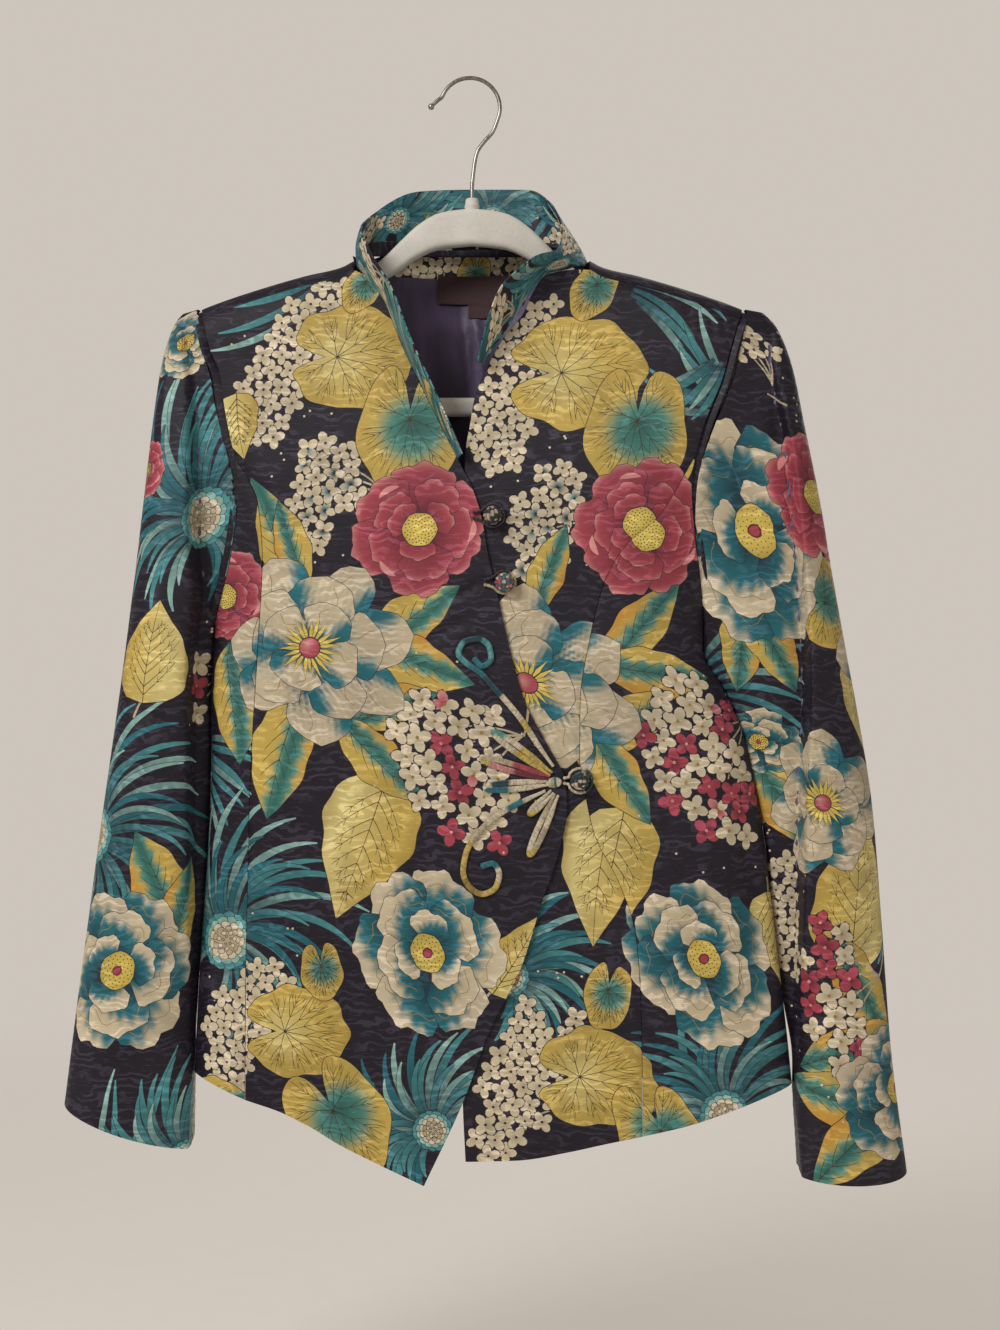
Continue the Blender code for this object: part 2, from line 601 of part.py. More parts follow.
def build_inside():
    """What shows inside the neck: a printed facing, the lining's back, and a bare label with its tab."""
    across = np.linspace(-FACING_HALF, FACING_HALF, 11)
    top = np.stack([across, shoulder(across) - neck_drop(across) - 1.6], axis=1)
    bottom = np.stack([across, 0 * across + FACING_BOTTOM], axis=1)
    share = np.linspace(0, 1, 3)[:, None, None]
    cloth("back_neck_facing", on_surface((1 - share) * top[None] + share * bottom[None], back_y, LINING_STEP))

    even = np.linspace(-1, 1, 17)
    share = (even + np.sin(even * math.pi / 2)) / 2
    top_z = np.minimum(LINING_TOP, shoulder(share * 182) - 17)
    rows = []
    for part in np.linspace(0, 1, 10):
        z = top_z + part * (LINING_HEM - top_z)
        right = body_edge(ARMHOLE_R + ARMHOLE_R_LOW[1:], side_right_x, z) + LINING_INSET
        left = body_edge(ARMHOLE_L + ARMHOLE_L_LOW[1:], side_left_x, z) - LINING_INSET
        rows.append(np.stack([np.where(share < 0, -share * right, share * left), z], axis=1))
    cloth("lining_back", on_surface(np.asarray(rows), back_y, LINING_STEP), "lining")

    for name, left, right, high, low in LABELS:
        x, z = np.meshgrid(np.linspace(left, right, 5), np.linspace(high, low, 3))
        points = on_surface(np.stack([x, z], axis=-1), back_y, LINING_STEP + LABEL_STEP)
        cloth(name, points, "label", thickness=LABEL_CLOTH)


def build_collar():
    """Stand collar on the neckline, standing up behind and turning forward in front."""
    stations = np.asarray(COLLAR_STATIONS, float)
    seam_x, seam_z = stations[:, 0], stations[:, 1]
    order = np.arange(len(stations))
    behind = (order >= 6) & (order <= 10)
    seam_y = np.where(order < 6, right_front_y(seam_x, seam_z), front_y(seam_x, seam_z))
    seam_y = np.where(behind, back_y(seam_x, seam_z), seam_y)
    seam_y = np.where((order == 5) | (order == 11), 0, seam_y)
    seam = path(np.stack([seam_x, seam_y, seam_z], axis=1), 40)
    reach = chords(np.stack([seam_x, seam_y, seam_z], axis=1))
    at = chords(seam) * reach[-1] / chords(seam)[-1]
    free = np.stack([monotone(reach, stations[:, k])(at) for k in (2, 3, 4)], axis=1)
    share = np.linspace(0, 1, 4)[:, None, None]
    grid = (1 - share) * seam[None] + share * free[None]
    cloth("collar", grid)


# Sleeves


def armhole_loop(armhole, turns):
    """The armhole as a ring: top at turn 0, front at a quarter, underarm at a half."""
    outline = np.asarray([row[::-1] for row in armhole[::-1]])
    at = monotone(outline[:, 0], outline[:, 1])
    top, low = shoulder(armhole[0][0]), armhole[-1][1]
    z = top + (low - top) * (1 - np.cos(turns)) / 2
    x = at(z)
    y = np.where(np.sin(turns) >= 0, front_y(x, z), back_y(x, z))
    return np.stack([x, y, z], axis=1)


def build_sleeve(name, table, armhole, side, lobe, outward):
    """A tube from the armhole to the cuff. Its front falls back on the body's side of the lobe's edge."""
    turns = np.linspace(0, 2 * math.pi, 32, endpoint=False)
    turns = turns + 0.1 * np.sin(2 * turns)
    loop = armhole_loop(armhole, turns) + (outward * ARMHOLE_SEAM, 0, 0)
    edge = column(lobe, 0, 1)
    rows = []
    for k, (outer_x, outer_z, inner_x, inner_z, front, back, share) in enumerate(table):
        part = (1 - np.cos(turns)) / 2
        x = outer_x + (inner_x - outer_x) * part
        z = outer_z + (inner_z - outer_z) * part
        z = z - CUFF_SAG * np.maximum(0, np.sin(turns)) * smoothstep((k - len(table) + 3) / 2)
        depth = np.where(np.sin(turns) >= 0, front, back)
        y = -depth * np.sin(turns)
        inward = smoothstep((x - edge(z)) * -outward / LOBE_STEP)
        y = np.where(y < 0, y * (1 - LOBE_RECESS * inward), y)
        ring = np.stack([x, y, z], axis=1)
        start = loop + (outer_x - table[0][0], 0, 0) * np.cos(turns / 2)[:, None] ** 2
        ring = share * start + (1 - share) * ring
        gap = ARMHOLE_SEAM + (SLEEVE_CLEARANCE - ARMHOLE_SEAM) * (1 - share)
        nearest = body_edge(armhole, side, ring[:, 2]) * outward + gap
        ring[:, 0] = np.maximum(ring[:, 0] * outward, nearest) * outward
        rows.append(ring)
    cloth(name, np.asarray(rows), ring=True)


# Trimming


def build_buttons():
    """Each ball stands before the left front, just clear of it where it passes the overlap's edge."""
    for name, x, z, _, _, look, _ in BALLS:
        mesh = ball_mesh("button_" + name, BALL_RADIUS)
        mesh.shade_smooth()
        obj = add_object("button_" + name, mesh, look)
        y = float(front_y(x, z)) - CLOTH / 2 - 1.3 * LAYER - BALL_RADIUS
        obj.location = (x * MM, y * MM, z * MM)
        obj.rotation_euler = (math.pi / 2, 0, 0)


def build_button_loops():
    """A cord loop round each ball, its two ends sewn on the right front."""
    turns = np.radians(np.linspace(180 - LOOP_OPENING, LOOP_OPENING - 180, 17))
    for name, x, z, radius, tail, _, look in BALLS:
        ring = [(x + radius * math.cos(a), z + radius * math.sin(a)) for a in turns]
        start = [(x - tail, z + 1.9), (x - tail + 3.5, z + 2.6)]
        end = [(x - tail + 3.5, z - 2.6), (x - tail, z - 1.9)]
        line = path(start + ring + end, 20)
        level = CLOTH / 2 + LAYER + LOOP_CORD_RADIUS
        y = np.minimum(right_front_y(line[:, 0], line[:, 1]), right_front_y(x - radius, z)) - level
        points = np.stack([line[:, 0], y, line[:, 1]], axis=1)
        width = np.full(len(points), 2 * LOOP_CORD_RADIUS)
        sweep("loop_" + name, points, np.tile((0.0, -1.0, 0.0), (len(points), 1)), width, width[0], look)


def strand(name, line, widths, look):
    """A padded bias strip laid on the right front."""
    normals = normals_of(line, right_front_y)
    points = on_surface(line, right_front_y) + normals * (CLOTH / 2 + LAYER + STRAND_THICK / 2)
    sweep(name, points, normals, widths, STRAND_THICK, look)


def build_frog():
    """Five flat loops that fan out from one root, and two strands that end in curls."""
    for index, ((degrees, length, half_width), look) in enumerate(zip(FROG_LOOPS, FROG_LOOKS)):
        first = math.acos(1 - 2 * (FROG_ROOT_REACH + 1.6) / length) / (2 * math.pi)
        share = np.linspace(first, 1 - first, 15)
        out = (1 - np.cos(2 * math.pi * share)) / 2
        aside = half_width * np.sin(2 * math.pi * share) * out**0.6
        aside = np.sign(aside) * np.maximum(np.abs(aside), 1.35 * np.minimum(1, (1 - out) * 8))
        angle = math.radians(degrees)
        x = FROG_CENTRE[0] + length * out * math.cos(angle) - aside * math.sin(angle)
        z = FROG_CENTRE[1] + length * out * math.sin(angle) + aside * math.cos(angle)
        widths = 2.0 + (STRAND_WIDTH - 2.0) * smoothstep((out * length - FROG_ROOT_REACH) / 20)
        strand(f"frog_loop_{index + 1}", np.stack([x, z], axis=1), widths, look)
    curls = (("frog_curl_upper", CURL_UPPER, "teal"), ("frog_curl_lower", CURL_LOWER, "gold"))
    for name, route, look in curls:
        line = path(route, 24)
        widths = 2.4 + (STRAND_WIDTH - 2.4) * smoothstep(np.linspace(0, 6, len(line)))
        strand(name, line, widths, look)
    strand("frog_root", path(FROG_ROOT, len(FROG_ROOT_WIDTHS) - 1), np.asarray(FROG_ROOT_WIDTHS), "cream")


def clear_scene():
    for obj in list(bpy.data.objects):
        bpy.data.objects.remove(obj)


clear_scene()
collection = bpy.data.collections.new("tang_jacket_on_a_hanger")
cutters = bpy.data.collections.new("cutters")
bpy.context.scene.collection.children.link(collection)
bpy.context.scene.collection.children.link(cutters)

build_hanger()
build_hook()
build_fronts()
build_back()
build_inside()
build_collar()
build_sleeve("sleeve_right", SLEEVE_R, ARMHOLE_R + ARMHOLE_R_LOW[1:], side_right_x, LOBE_EDGE_R, -1)
build_sleeve("sleeve_left", SLEEVE_L, ARMHOLE_L + ARMHOLE_L_LOW[1:], side_left_x, LOBE_EDGE_L, 1)
build_buttons()
build_button_loops()
build_frog()
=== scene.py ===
"""Tang jacket on a hanger: the cloth, print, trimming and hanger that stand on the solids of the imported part.

Tables are in millimetres, x and z in the plane that the jacket hangs in; meshes are in metres. +X is the
wearer's left, -Y the wearer's front, and the origin is the underside of the hook's apex.
"""

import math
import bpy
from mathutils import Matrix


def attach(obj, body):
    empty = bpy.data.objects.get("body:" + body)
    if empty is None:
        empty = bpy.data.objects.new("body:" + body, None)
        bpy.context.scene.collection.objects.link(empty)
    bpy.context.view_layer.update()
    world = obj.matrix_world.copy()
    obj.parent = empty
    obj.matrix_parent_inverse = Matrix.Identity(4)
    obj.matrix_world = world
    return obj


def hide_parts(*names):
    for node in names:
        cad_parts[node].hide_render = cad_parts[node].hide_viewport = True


bl_info = {
    "name": "Tang Jacket on a Hanger",
    "version": (1, 0, 0),
    "blender": (4, 5, 0),
    "location": "3D View > Sidebar > Tang jacket",
    "description": "Makes a flower-printed satin jacket with a stand collar and a looped frog, on its hanger",
    "category": "Add Mesh",
}

import bmesh
import bpy
import numpy as np
from mathutils import Matrix, Vector
from mathutils.geometry import delaunay_2d_cdt

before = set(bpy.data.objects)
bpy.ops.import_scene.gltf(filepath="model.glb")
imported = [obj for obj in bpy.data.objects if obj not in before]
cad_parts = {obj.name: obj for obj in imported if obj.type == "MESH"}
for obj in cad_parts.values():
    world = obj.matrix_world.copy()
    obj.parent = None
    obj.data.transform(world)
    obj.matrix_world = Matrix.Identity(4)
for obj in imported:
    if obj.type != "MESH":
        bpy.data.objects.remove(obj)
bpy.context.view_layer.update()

MM = 0.001

# Driving sizes, in millimetres.
CLOTH = 1.6  # wall of the cloth
EDGE_ROLL = 0.35  # how far a cut edge rounds outwards
SEAM = 0.9  # between the outlines of two panels, before their edges round out
SIDE_SEAM = 0.6
ARMHOLE_SEAM = 1.2
SLEEVE_CLEARANCE = 1.9
# How far a sleeve is drawn up to the body, and the height from which it hangs free.
SLEEVE_CLOSING, SLEEVE_FREE = 10.0, -740.0
LAYER = 0.3
SHOULDER_WRAP = 9.0
SHOULDER_ROUND = 26.0
UNDERLAP_LIFT = 2.8
LINING_STEP = 3.8
NECK_HALF = 88.0
SHOULDER_TIP = 200.3
SEAM_DIP = (0.9, 2.6)  # depth and reach of the valley along a seam
HANGER_HALF_WIDTH = 213.0
HANGER_HALF_THICK = 6.0
HANGER_EDGE = 4.6
HANGER_SEAT = 1.6
WIRE_RADIUS = 1.5
HOOK_RADIUS = 22.5
HOOK_BALL_RADIUS = 2.4
BALL_RADIUS = 7.0
LOOP_CORD_RADIUS = 1.1
LOOP_OPENING = 38
LABEL_CLOTH = 1.0
LABEL_STEP = 2.8
STRAND_WIDTH = 4.4
STRAND_THICK = 2.2
FROG_CENTRE = (66.5, -524.5)
FROG_ROOT_REACH = 8.5
# The bound seam allowance inside the armholes and the neck. In the neck it ends at a height, and lies lower
# than the collar's seam.
TAPE_WIDTH, TAPE_THICK, TAPE_DEPTH = 12.0, 0.9, 2.3
NECK_TAPE_LOW, NECK_TAPE_DROP = -143.0, 2.0
FLOOR_RADIUS, FLOOR_GLOW = 2.6, 0.42  # in metres; the glow keeps the backdrop pale
SENSOR = 36  # height of the camera's sensor

# Shoulder line: distance from the middle, height.
SHOULDER_LINE = (
    (0, -108), (48, -111), (63, -117), (77, -127.5), (88, -136.5), (97, -141.5),
    (124, -148), (157, -157.5), (186, -167), (203, -173.5), (226, -185),
)
# Widest points of the body seen from the front: height, wearer's right side, wearer's left side.
BODY_SIDES = (
    (-100, -226, 230), (-175, -222, 222), (-250, -212, 205), (-305, -203, 190), (-360, -196, 178),
    (-410, -192, 172.5), (-431, -193, 173), (-455, -194, 187), (-489, -194, 202), (-517, -194.5, 208.5),
    (-560, -196, 217), (-616, -199.5, 223.5), (-672, -203.5, 230), (-742, -207, 238), (-830, -210, 245),
)
# Depth of the cloth before and behind the hanger: height, front, back.
BODY_DEPTH = (
    (-100, 19, 17), (-170, 20, 18), (-300, 27, 22), (-450, 31, 24), (-600, 33, 25), (-830, 35, 27),
)
NECK_BULGE = (9.0, 28.0)
NECK_BULGE_REACH = (62.0, 75.0)

# Seams and edges in the hanging plane, from top to bottom: x, z. R is the wearer's right, L the left.
ARMHOLE_R = ((-202, -173), (-195, -203), (-187, -223), (-184.5, -241), (-181, -261), (-176, -283))
ARMHOLE_R_LOW = ((-176, -283), (-173, -300), (-173, -320), (-177, -352), (-184, -383), (-192, -410))
ARMHOLE_L = ((202, -173), (194, -198), (186, -227), (179, -244), (172, -262), (166, -283))
ARMHOLE_L_LOW = ((166, -283), (162.5, -305), (165, -342), (169, -372), (172, -400), (173, -431))
WHOLE_ARMHOLE_R, WHOLE_ARMHOLE_L = ARMHOLE_R + ARMHOLE_R_LOW[1:], ARMHOLE_L + ARMHOLE_L_LOW[1:]
PRINCESS_R = ((-176, -283), (-158, -319), (-154.5, -360), (-157.5, -420), (-162, -495), (-164, -540))
PRINCESS_R_LOW = ((-164, -540), (-165, -585), (-166.5, -671), (-167, -759))
PRINCESS_L = ((166, -283), (137, -330), (115, -349), (99, -375), (87, -420), (80, -465), (79.5, -510))
PRINCESS_L_LOW = ((79.5, -510), (90, -562), (109, -600), (121, -638), (124.5, -690), (126, -784.5))
NECK_R = ((-NECK_HALF, -145.5), (-77, -152), (-66, -168), (-52, -202), (-29, -250), (-12, -284), (0, -307))
EDGE_R = ((0, -307), (7, -329), (12, -358), (19.5, -390), (29, -431), (39, -466), (53, -493), (69, -521))
EDGE_R_LOW = (
    (69, -521), (70, -545), (64, -575), (51, -614), (36, -661), (13.5, -706), (-6, -758), (-35, -820.5),
)
NECK_L = ((NECK_HALF, -145.5), (70, -147), (55, -151), (46, -163), (38, -180), (24, -197), (10, -222))
EDGE_L = ((10, -222), (3, -240), (-1, -262), (-4.5, -284), (-5, -310), (-5, -400), (-5.5, -525))
EDGE_L_LOW = ((-5.5, -525), (-6, -754), (-4, -803))
SIDE_R_HEM, SIDE_L_HEM = -742.5, -751.5
HEM_R_SIDE = ((-207, -742.5), (-187, -751), (-167, -759))
HEM_R = (
    (-167, -759), (-141, -767), (-118.5, -778), (-97, -790.5), (-73, -802.5), (-48, -814.5), (-35, -820.5),
)
HEM_L = ((-4, -803), (34, -802), (71, -796), (99, -790), (126, -784.5))
HEM_L_SIDE = ((126, -784.5), (160, -777), (192, -767), (220, -757.5), (238.8, -751.5))
BACK_HEM_DIP = 5.0
BACK_NECK_DROP = 13.0
BACK_LEVEL_DROP = 220.0  # drop at which the back's weft lies level again below the sloping shoulders
FACING_BOTTOM = -143.0
FACING_HALF = 68.0
FACING_RISE = 3.4  # how far the facing reaches up behind the back's neckline
LINING_TOP, LINING_HEM, LINING_INSET = -143.5, -728.0, 20.0
LINING_REACH, LINING_DROP = 182, 17  # its top corners, from the middle and under the shoulder line
PLEAT_LIMIT = 1.7  # how far a fold of the lining may come forwards
# Labels: name, left, right, top, bottom.
LABELS = (("neck_label", -26, 38, -141, -163), ("size_tab", -3, 13.5, -163.5, -174))

# Collar: seam x, seam z, free edge x, y, z. From the wearer's right front round the back to the left front.
COLLAR_STATIONS = (
    (-9.5, -287, -6.5, -38, -284), (-28, -249, -22.5, -42, -247), (-51, -201.5, -45, -47, -198),
    (-65, -167.5, -58, -50, -164), (-79, -149.5, -74, -46, -137), (-85.8, -136.8, -82, -14, -113),
    (-80, -129.5, -73, 20, -95), (-50, -121, -41, 36, -76), (-2, -119, -1.5, 43, -73),
    (46, -121, 42, 35, -75), (78, -129.5, 60, 16, -90), (85.8, -136.8, 67, -8, -113),
    (74, -144.5, 64, -30, -132), (55, -149.5, 44, -52, -144), (44.5, -161, 21, -50, -165),
    (26.5, -188.5, 10, -43, -194), (8.5, -215.5, 4.5, -37.5, -216),
)
COLLAR_HEIGHT = 45.0
COLLAR_BOW = 1.5

# Sleeves: outer x, outer z, inner x, inner z, front depth, back depth, share of the armhole's form.
SLEEVE_R = (
    (-203, -172, -193, -411, 20, 18, 1.0), (-213, -178, -196, -417, 24, 20, 0.8),
    (-221, -194, -198, -424, 28, 23, 0.55), (-230, -222, -198, -433, 32, 26, 0.32),
    (-238, -270, -198, -446, 35, 28, 0.14), (-245, -322, -197.5, -462, 36, 29, 0.04),
    (-252, -375, -197, -482, 36, 29, 0.0), (-259, -430, -196.5, -510, 35, 28, 0.0),
    (-268, -495, -197, -545, 34, 27, 0.0), (-277, -558, -199, -590, 33, 26, 0.0),
    (-286, -625, -203, -645, 31, 25, 0.0), (-296, -700, -208, -712, 30, 24, 0.0),
    (-304.5, -766.5, -200, -796, 29, 23, 0.0),
)
SLEEVE_L = (
    (203, -172, 174, -432, 20, 18, 1.0), (214, -178, 178, -440, 24, 20, 0.8),
    (224, -191, 182, -448, 28, 23, 0.55), (238, -229, 188, -460, 32, 26, 0.32),
    (249, -277, 196, -476, 35, 28, 0.14), (260, -322, 203.5, -495, 36, 29, 0.04),
    (270, -376, 209.5, -518, 36, 29, 0.0), (280, -432, 216, -545, 35, 28, 0.0),
    (289, -480, 221, -575, 34, 27, 0.0), (299, -545, 226, -614, 33, 26, 0.0),
    (306, -630, 232.5, -666, 31, 25, 0.0), (313, -725, 241, -735, 30, 24, 0.0),
    (325, -817, 238, -815, 27, 22, 0.0),
)
# Front edge of the sleeve's outer lobe: height, x. The cloth falls back on the body's side of it.
LOBE_EDGE_R = (
    (-172, -222), (-218, -219), (-337, -218), (-415, -212), (-537, -211.5), (-708, -211), (-797, -205),
)
LOBE_EDGE_L = (
    (-172, 226), (-232, 230), (-296, 241), (-367, 248), (-475, 253), (-548, 250), (-700, 247), (-815, 243),
)
LOBE_STEP = 5.0
LOBE_RECESS = 0.68
CUFF_SAG = 7.0

CREASE_BOW = 0.05  # how far a crease bends, as a share of its length
# Creases: start x, start z, end x, end z, depth, half width. A negative depth is a ridge.
CREASES_R = (
    (12, -374, -26, -393, 1.7, 3.0), (2, -400, -44, -424, 1.2, 4.5), (-178, -470, -188, -705, 4.2, 9),
    (-196, -520, -201, -730, -3.0, 7), (-168, -296, -138, -352, 1.6, 7), (-168, -196, -150, -300, 2.2, 13),
    (-152, -464, -78, -498, 1.6, 11), (58, -536, 4, -566, 1.3, 5), (-110, -680, -120, -795, 2.6, 13),
    (-60, -690, -52, -812, -2.2, 13), (4, -640, -22, -752, 1.8, 11), (-130, -560, -142, -700, -1.8, 12),
    (-30, -350, -92, -372, 1.0, 9), (-100, -610, -60, -650, 1.2, 10),
)
CREASES_L = (
    (148, -243, 180, -232, 1.5, 4.0), (146, -262, 173, -255, 1.3, 3.6), (142, -286, 165, -281, 1.4, 4.4),
    (190, -505, 207, -715, 4.2, 9), (214, -560, 227, -748, -3.0, 7), (44, -560, 30, -660, 1.6, 12),
    (84, -600, 70, -770, 2.0, 13), (128, -450, 152, -570, 2.2, 10), (58, -324, 96, -428, 2.0, 13),
    (58, -700, 54, -802, -2.2, 13), (158, -640, 172, -780, 2.7, 12), (26, -244, 10, -334, 1.2, 8),
    (106, -640, 116, -780, -1.6, 11), (72, -500, 36, -480, 1.3, 5),
)
SHOULDER_PUCKERS = (159, 168, 176, 185, 193)
CREASES_BACK = (
    (2, -230, 6, -700, 2.6, 20), (-122, -226, -58, -334, 2.2, 17), (124, -226, 66, -330, 2.0, 18),
    (-88, -440, -112, -650, 3.2, 14), (102, -455, 134, -668, 3.0, 14), (-40, -515, -52, -738, -2.2, 12),
    (48, -535, 62, -738, -2.4, 12), (-158, -470, -176, -722, 3.2, 10), (178, -500, 206, -735, 3.4, 10),
    (-64, -188, 58, -193, 1.3, 8), (-150, -300, -120, -400, 1.8, 12), (148, -300, 124, -420, 1.8, 12),
    (-70, -372, 30, -388, 1.4, 9),
)
CREASES_SLEEVE_R = (
    (-268, -448, -222, -494, 2.6, 8), (-280, -560, -224, -596, 2.2, 9), (-290, -655, -238, -640, 1.6, 8),
    (-234, -254, -250, -420, 2.6, 9), (-250, -498, -272, -745, 2.2, 11), (-226, -345, -256, -388, 1.8, 7),
    (-224, -186, -219, -216, 1.3, 3.5), (-214, -180, -213, -206, 1.1, 3), (-231, -204, -224, -238, 1.2, 4),
    (-232, -690, -226, -790, -1.8, 9), (-206, -470, -208, -690, 2.0, 5),
)
CREASES_SLEEVE_L = (
    (290, -470, 246, -506, 2.6, 8), (300, -590, 250, -560, 2.2, 9), (306, -650, 262, -676, 1.8, 8),
    (250, -262, 266, -410, 2.4, 9), (278, -516, 292, -772, 2.2, 11), (232, -330, 264, -352, 1.8, 7),
    (226, -188, 220, -214, 1.3, 3.5), (216, -181, 212, -203, 1.1, 3), (236, -214, 228, -242, 1.2, 4),
    (266, -700, 262, -808, -1.8, 9), (232, -470, 240, -660, 2.0, 6), (222, -240, 226, -300, 1.4, 5),
)
CREASES_LINING = (
    (-3, -146, -3, -420, -3.4, 4.0), (-14, -150, -12, -400, 2.2, 5.0), (14, -176, 26, -420, 2.2, 8),
    (-40, -190, -26, -420, 2.4, 9), (44, -180, 60, -500, 1.8, 10), (-90, -240, -80, -600, 2.0, 14),
    (90, -240, 110, -620, 2.0, 14), (0, -430, 10, -700, 2.4, 12), (-50, -500, -60, -710, 2.0, 12),
)

# Frog: direction in degrees from +X, length, half width of the loop.
FROG_LOOPS = ((144, 62, 3.3), (164, 60, 3.4), (184.5, 56, 3.4), (224.5, 33, 2.2), (246, 58, 3.4))
# Colours along each strand, from the root outwards and back.
FROG_LOOKS = (
    ("gold", "cream", "leaf", "cream", "gold"), (
        "crimson_dark", "crimson_edge", "gold", "cream_shade", "crimson"
    ),
    ("cream", "teal", "cream", "teal_dark", "cream"), ("cream", "gold", "cream"),
    ("cream", "cream_shade", "gold", "cream", "cream_shade"),
)
FROG_ROOT = ((65.6, -524.3), (60, -525), (55.2, -525.4))
FROG_ROOT_WIDTHS = (4.0, 6.6, 7.6, 8.0, 7.4, 6.2, 3.6)
CURL_UPPER = (
    (60, -513), (50, -499), (36, -478), (20, -459), (6, -444), (-4, -437), (-9.5, -430), (-5, -421.5),
    (4.5, -419.5), (13, -425), (14.5, -434), (8, -439.5), (2, -434),
)
CURL_LOWER = (
    (54, -531), (37, -539), (19, -549), (4, -563), (-4, -577), (-6, -590), (-1.5, -601), (8, -606.5),
    (17.5, -602), (20.5, -592), (15.5, -584), (7.5, -586),
)
CURL_LOOKS = (
    ("cream", "cream", "gold", "cream", "teal_dark", "teal", "mum", "teal_dark", "mum", "teal"),
    ("cream", "teal", "cream", "cream_shade", "gold", "gold", "gold_dark", "gold", "cream", "teal"),
)
# Ball buttons: name, x, z, radius of the loop, reach of the loop's ends, colours of the ball, of the loop.
BALLS = (
    ("top", 15.5, -329.0, 8.1, 14.5, ("ground", "ground", "cream_shade"), ("ground", "ink")),
    ("chest", 24.0, -378.0, 8.1, 14.5, ("cream", "teal", "crimson"), ("ground", "cream_shade")),
    ("waist", 79.5, -523.5, 8.9, 11.8, ("teal_dark", "ground", "cream"), ("cream", "teal_dark", "cream")),
)

# Print: motif, x, z, half length, width as a share of it, turn in degrees, seed.
REPEAT = 165.0  # width of the print's repeat
SEAM_SHIFT = (7.0, -9.0)  # how far the print jumps at a seam
PRINT_RIGHT = (
    ("arcs", -163, -165, 45, 0.8, 200, 1), ("hydrangea", -136, -216, 74, 0.4, 62, 2),
    ("hydrangea_teal", -108, -308, 44, 0.66, 80, 3), ("heart", -171, -262, 46, 0.7, -80, 1),
    ("lobed", -80, -158, 22, 0.6, 60, 2), ("begonia", -90, -211, 46, 0.84, 0, 1),
    ("lobed", -46, -265, 52, 0.72, 90, 1), ("leaf", -142, -344, 50, 0.42, 118, 1),
    ("leaf", -132, -351, 36, 0.42, 110, 2), ("peony", -188, -379, 34, 1, 20, 5),
    ("peony", -38, -339, 48, 0.95, 0, 1), ("leaf", -48, -411, 50, 0.45, 38, 1),
    ("leaf", -45, -436, 46, 0.5, -22, 2), ("leaf", -56, -472, 38, 0.5, 18, 3),
    ("leaf", -68, -507, 44, 0.5, -48, 4), ("leaf", -136, -504, 52, 0.5, -112, 5),
    ("leaf", -183, -458, 46, 0.5, -96, 6), ("magnolia", -119, -426, 75, 0.95, 0, 1),
    ("arcs", -185, -510, 36, 0.7, -20, 3), ("mum", -182, -622, 66, 0.95, 62, 1),
    ("heart", -80, -574, 102, 0.7, -112, 2), ("hydrangea_crimson", -14, -513, 62, 0.72, 105, 4),
    ("rose", -32, -650, 62, 0.8, 115, 1), ("lobed", -110, -663, 22, 0.7, 95, 3),
    ("hydrangea", -172, -701, 63, 0.5, 62, 6), ("begonia", -129, -708, 39, 0.86, 0, 2),
    ("lobed", -98, -772, 48, 0.76, 118, 4), ("mum", -30, -771, 46, 0.9, 100, 2),
    ("heart", 33, -651, 63, 0.7, 58, 3), ("leaf", -198, -748, 30, 0.5, 0, 7),
)
PRINT_LEFT = (
    ("arcs", 164, -164, 44, 0.6, -10, 4), ("hydrangea", 33, -234, 75, 0.4, 72, 7),
    ("hydrangea_teal", 53, -332, 45, 0.66, 80, 8), ("lobed", 91, -160, 26, 0.6, 60, 5),
    ("begonia", 77, -223, 52, 0.8, 0, 3), ("lobed", 122, -266, 51, 0.74, 90, 6),
    ("peony", 124, -334, 46, 0.95, 15, 2), ("leaf", 56, -371, 38, 0.42, 70, 8),
    ("leaf", 116, -406, 48, 0.45, 50, 9), ("leaf", 122, -433, 45, 0.5, -8, 10),
    ("leaf", 111, -472, 39, 0.5, 35, 11), ("leaf", 100, -508, 44, 0.5, -62, 12),
    ("magnolia", 41, -452, 75, 0.95, 20, 2), ("mum", 32, -660, 45, 1, 60, 3),
    ("heart", 98, -590, 105, 0.62, -100, 4), ("hydrangea_crimson", 159, -499, 66, 0.66, 110, 9),
    ("rose", 164, -646, 63, 0.76, -62, 2), ("lobed", 100, -681, 26, 0.66, 80, 7),
    ("hydrangea", 41, -746, 68, 0.5, 62, 10), ("begonia", 88, -741, 42, 0.86, 0, 4),
    ("lobed", 134, -777, 40, 0.7, 110, 8), ("mum", 188, -754, 58, 1, 40, 4),
    ("heart", 219, -634, 66, 0.7, -80, 5), ("arcs", 156, -229, 34, 0.6, 160, 5),
    ("arcs", 175, -240, 26, 0.8, 250, 6),
)
PRINT_SLEEVE_RIGHT = (
    ("rose", -213, -199, 27, 1, 0, 3), ("arcs", -196, -262, 68, 0.5, 95, 7),
    ("mum", -198, -315, 72, 0.6, 92, 5), ("peony", -240, -294, 20, 1, 0, 6),
    ("heart", -236, -429, 70, 0.95, 85, 6), ("mum", -272, -561, 69, 0.9, 20, 6),
    ("leaf", -230, -600, 45, 0.5, 120, 13), ("leaf", -214, -619, 39, 0.5, 80, 14),
    ("rose", -261, -664, 58, 0.95, 90, 4), ("arcs", -228, -780, 69, 0.8, 95, 8),
    ("mum", -212, -796, 44, 0.9, 92, 9),
    ("hydrangea_crimson", -202, -452, 30, 0.4, 92, 11), ("begonia", -302, -465, 38, 0.9, 0, 5),
    ("hydrangea", -174, -540, 52, 0.5, 90, 12),
)
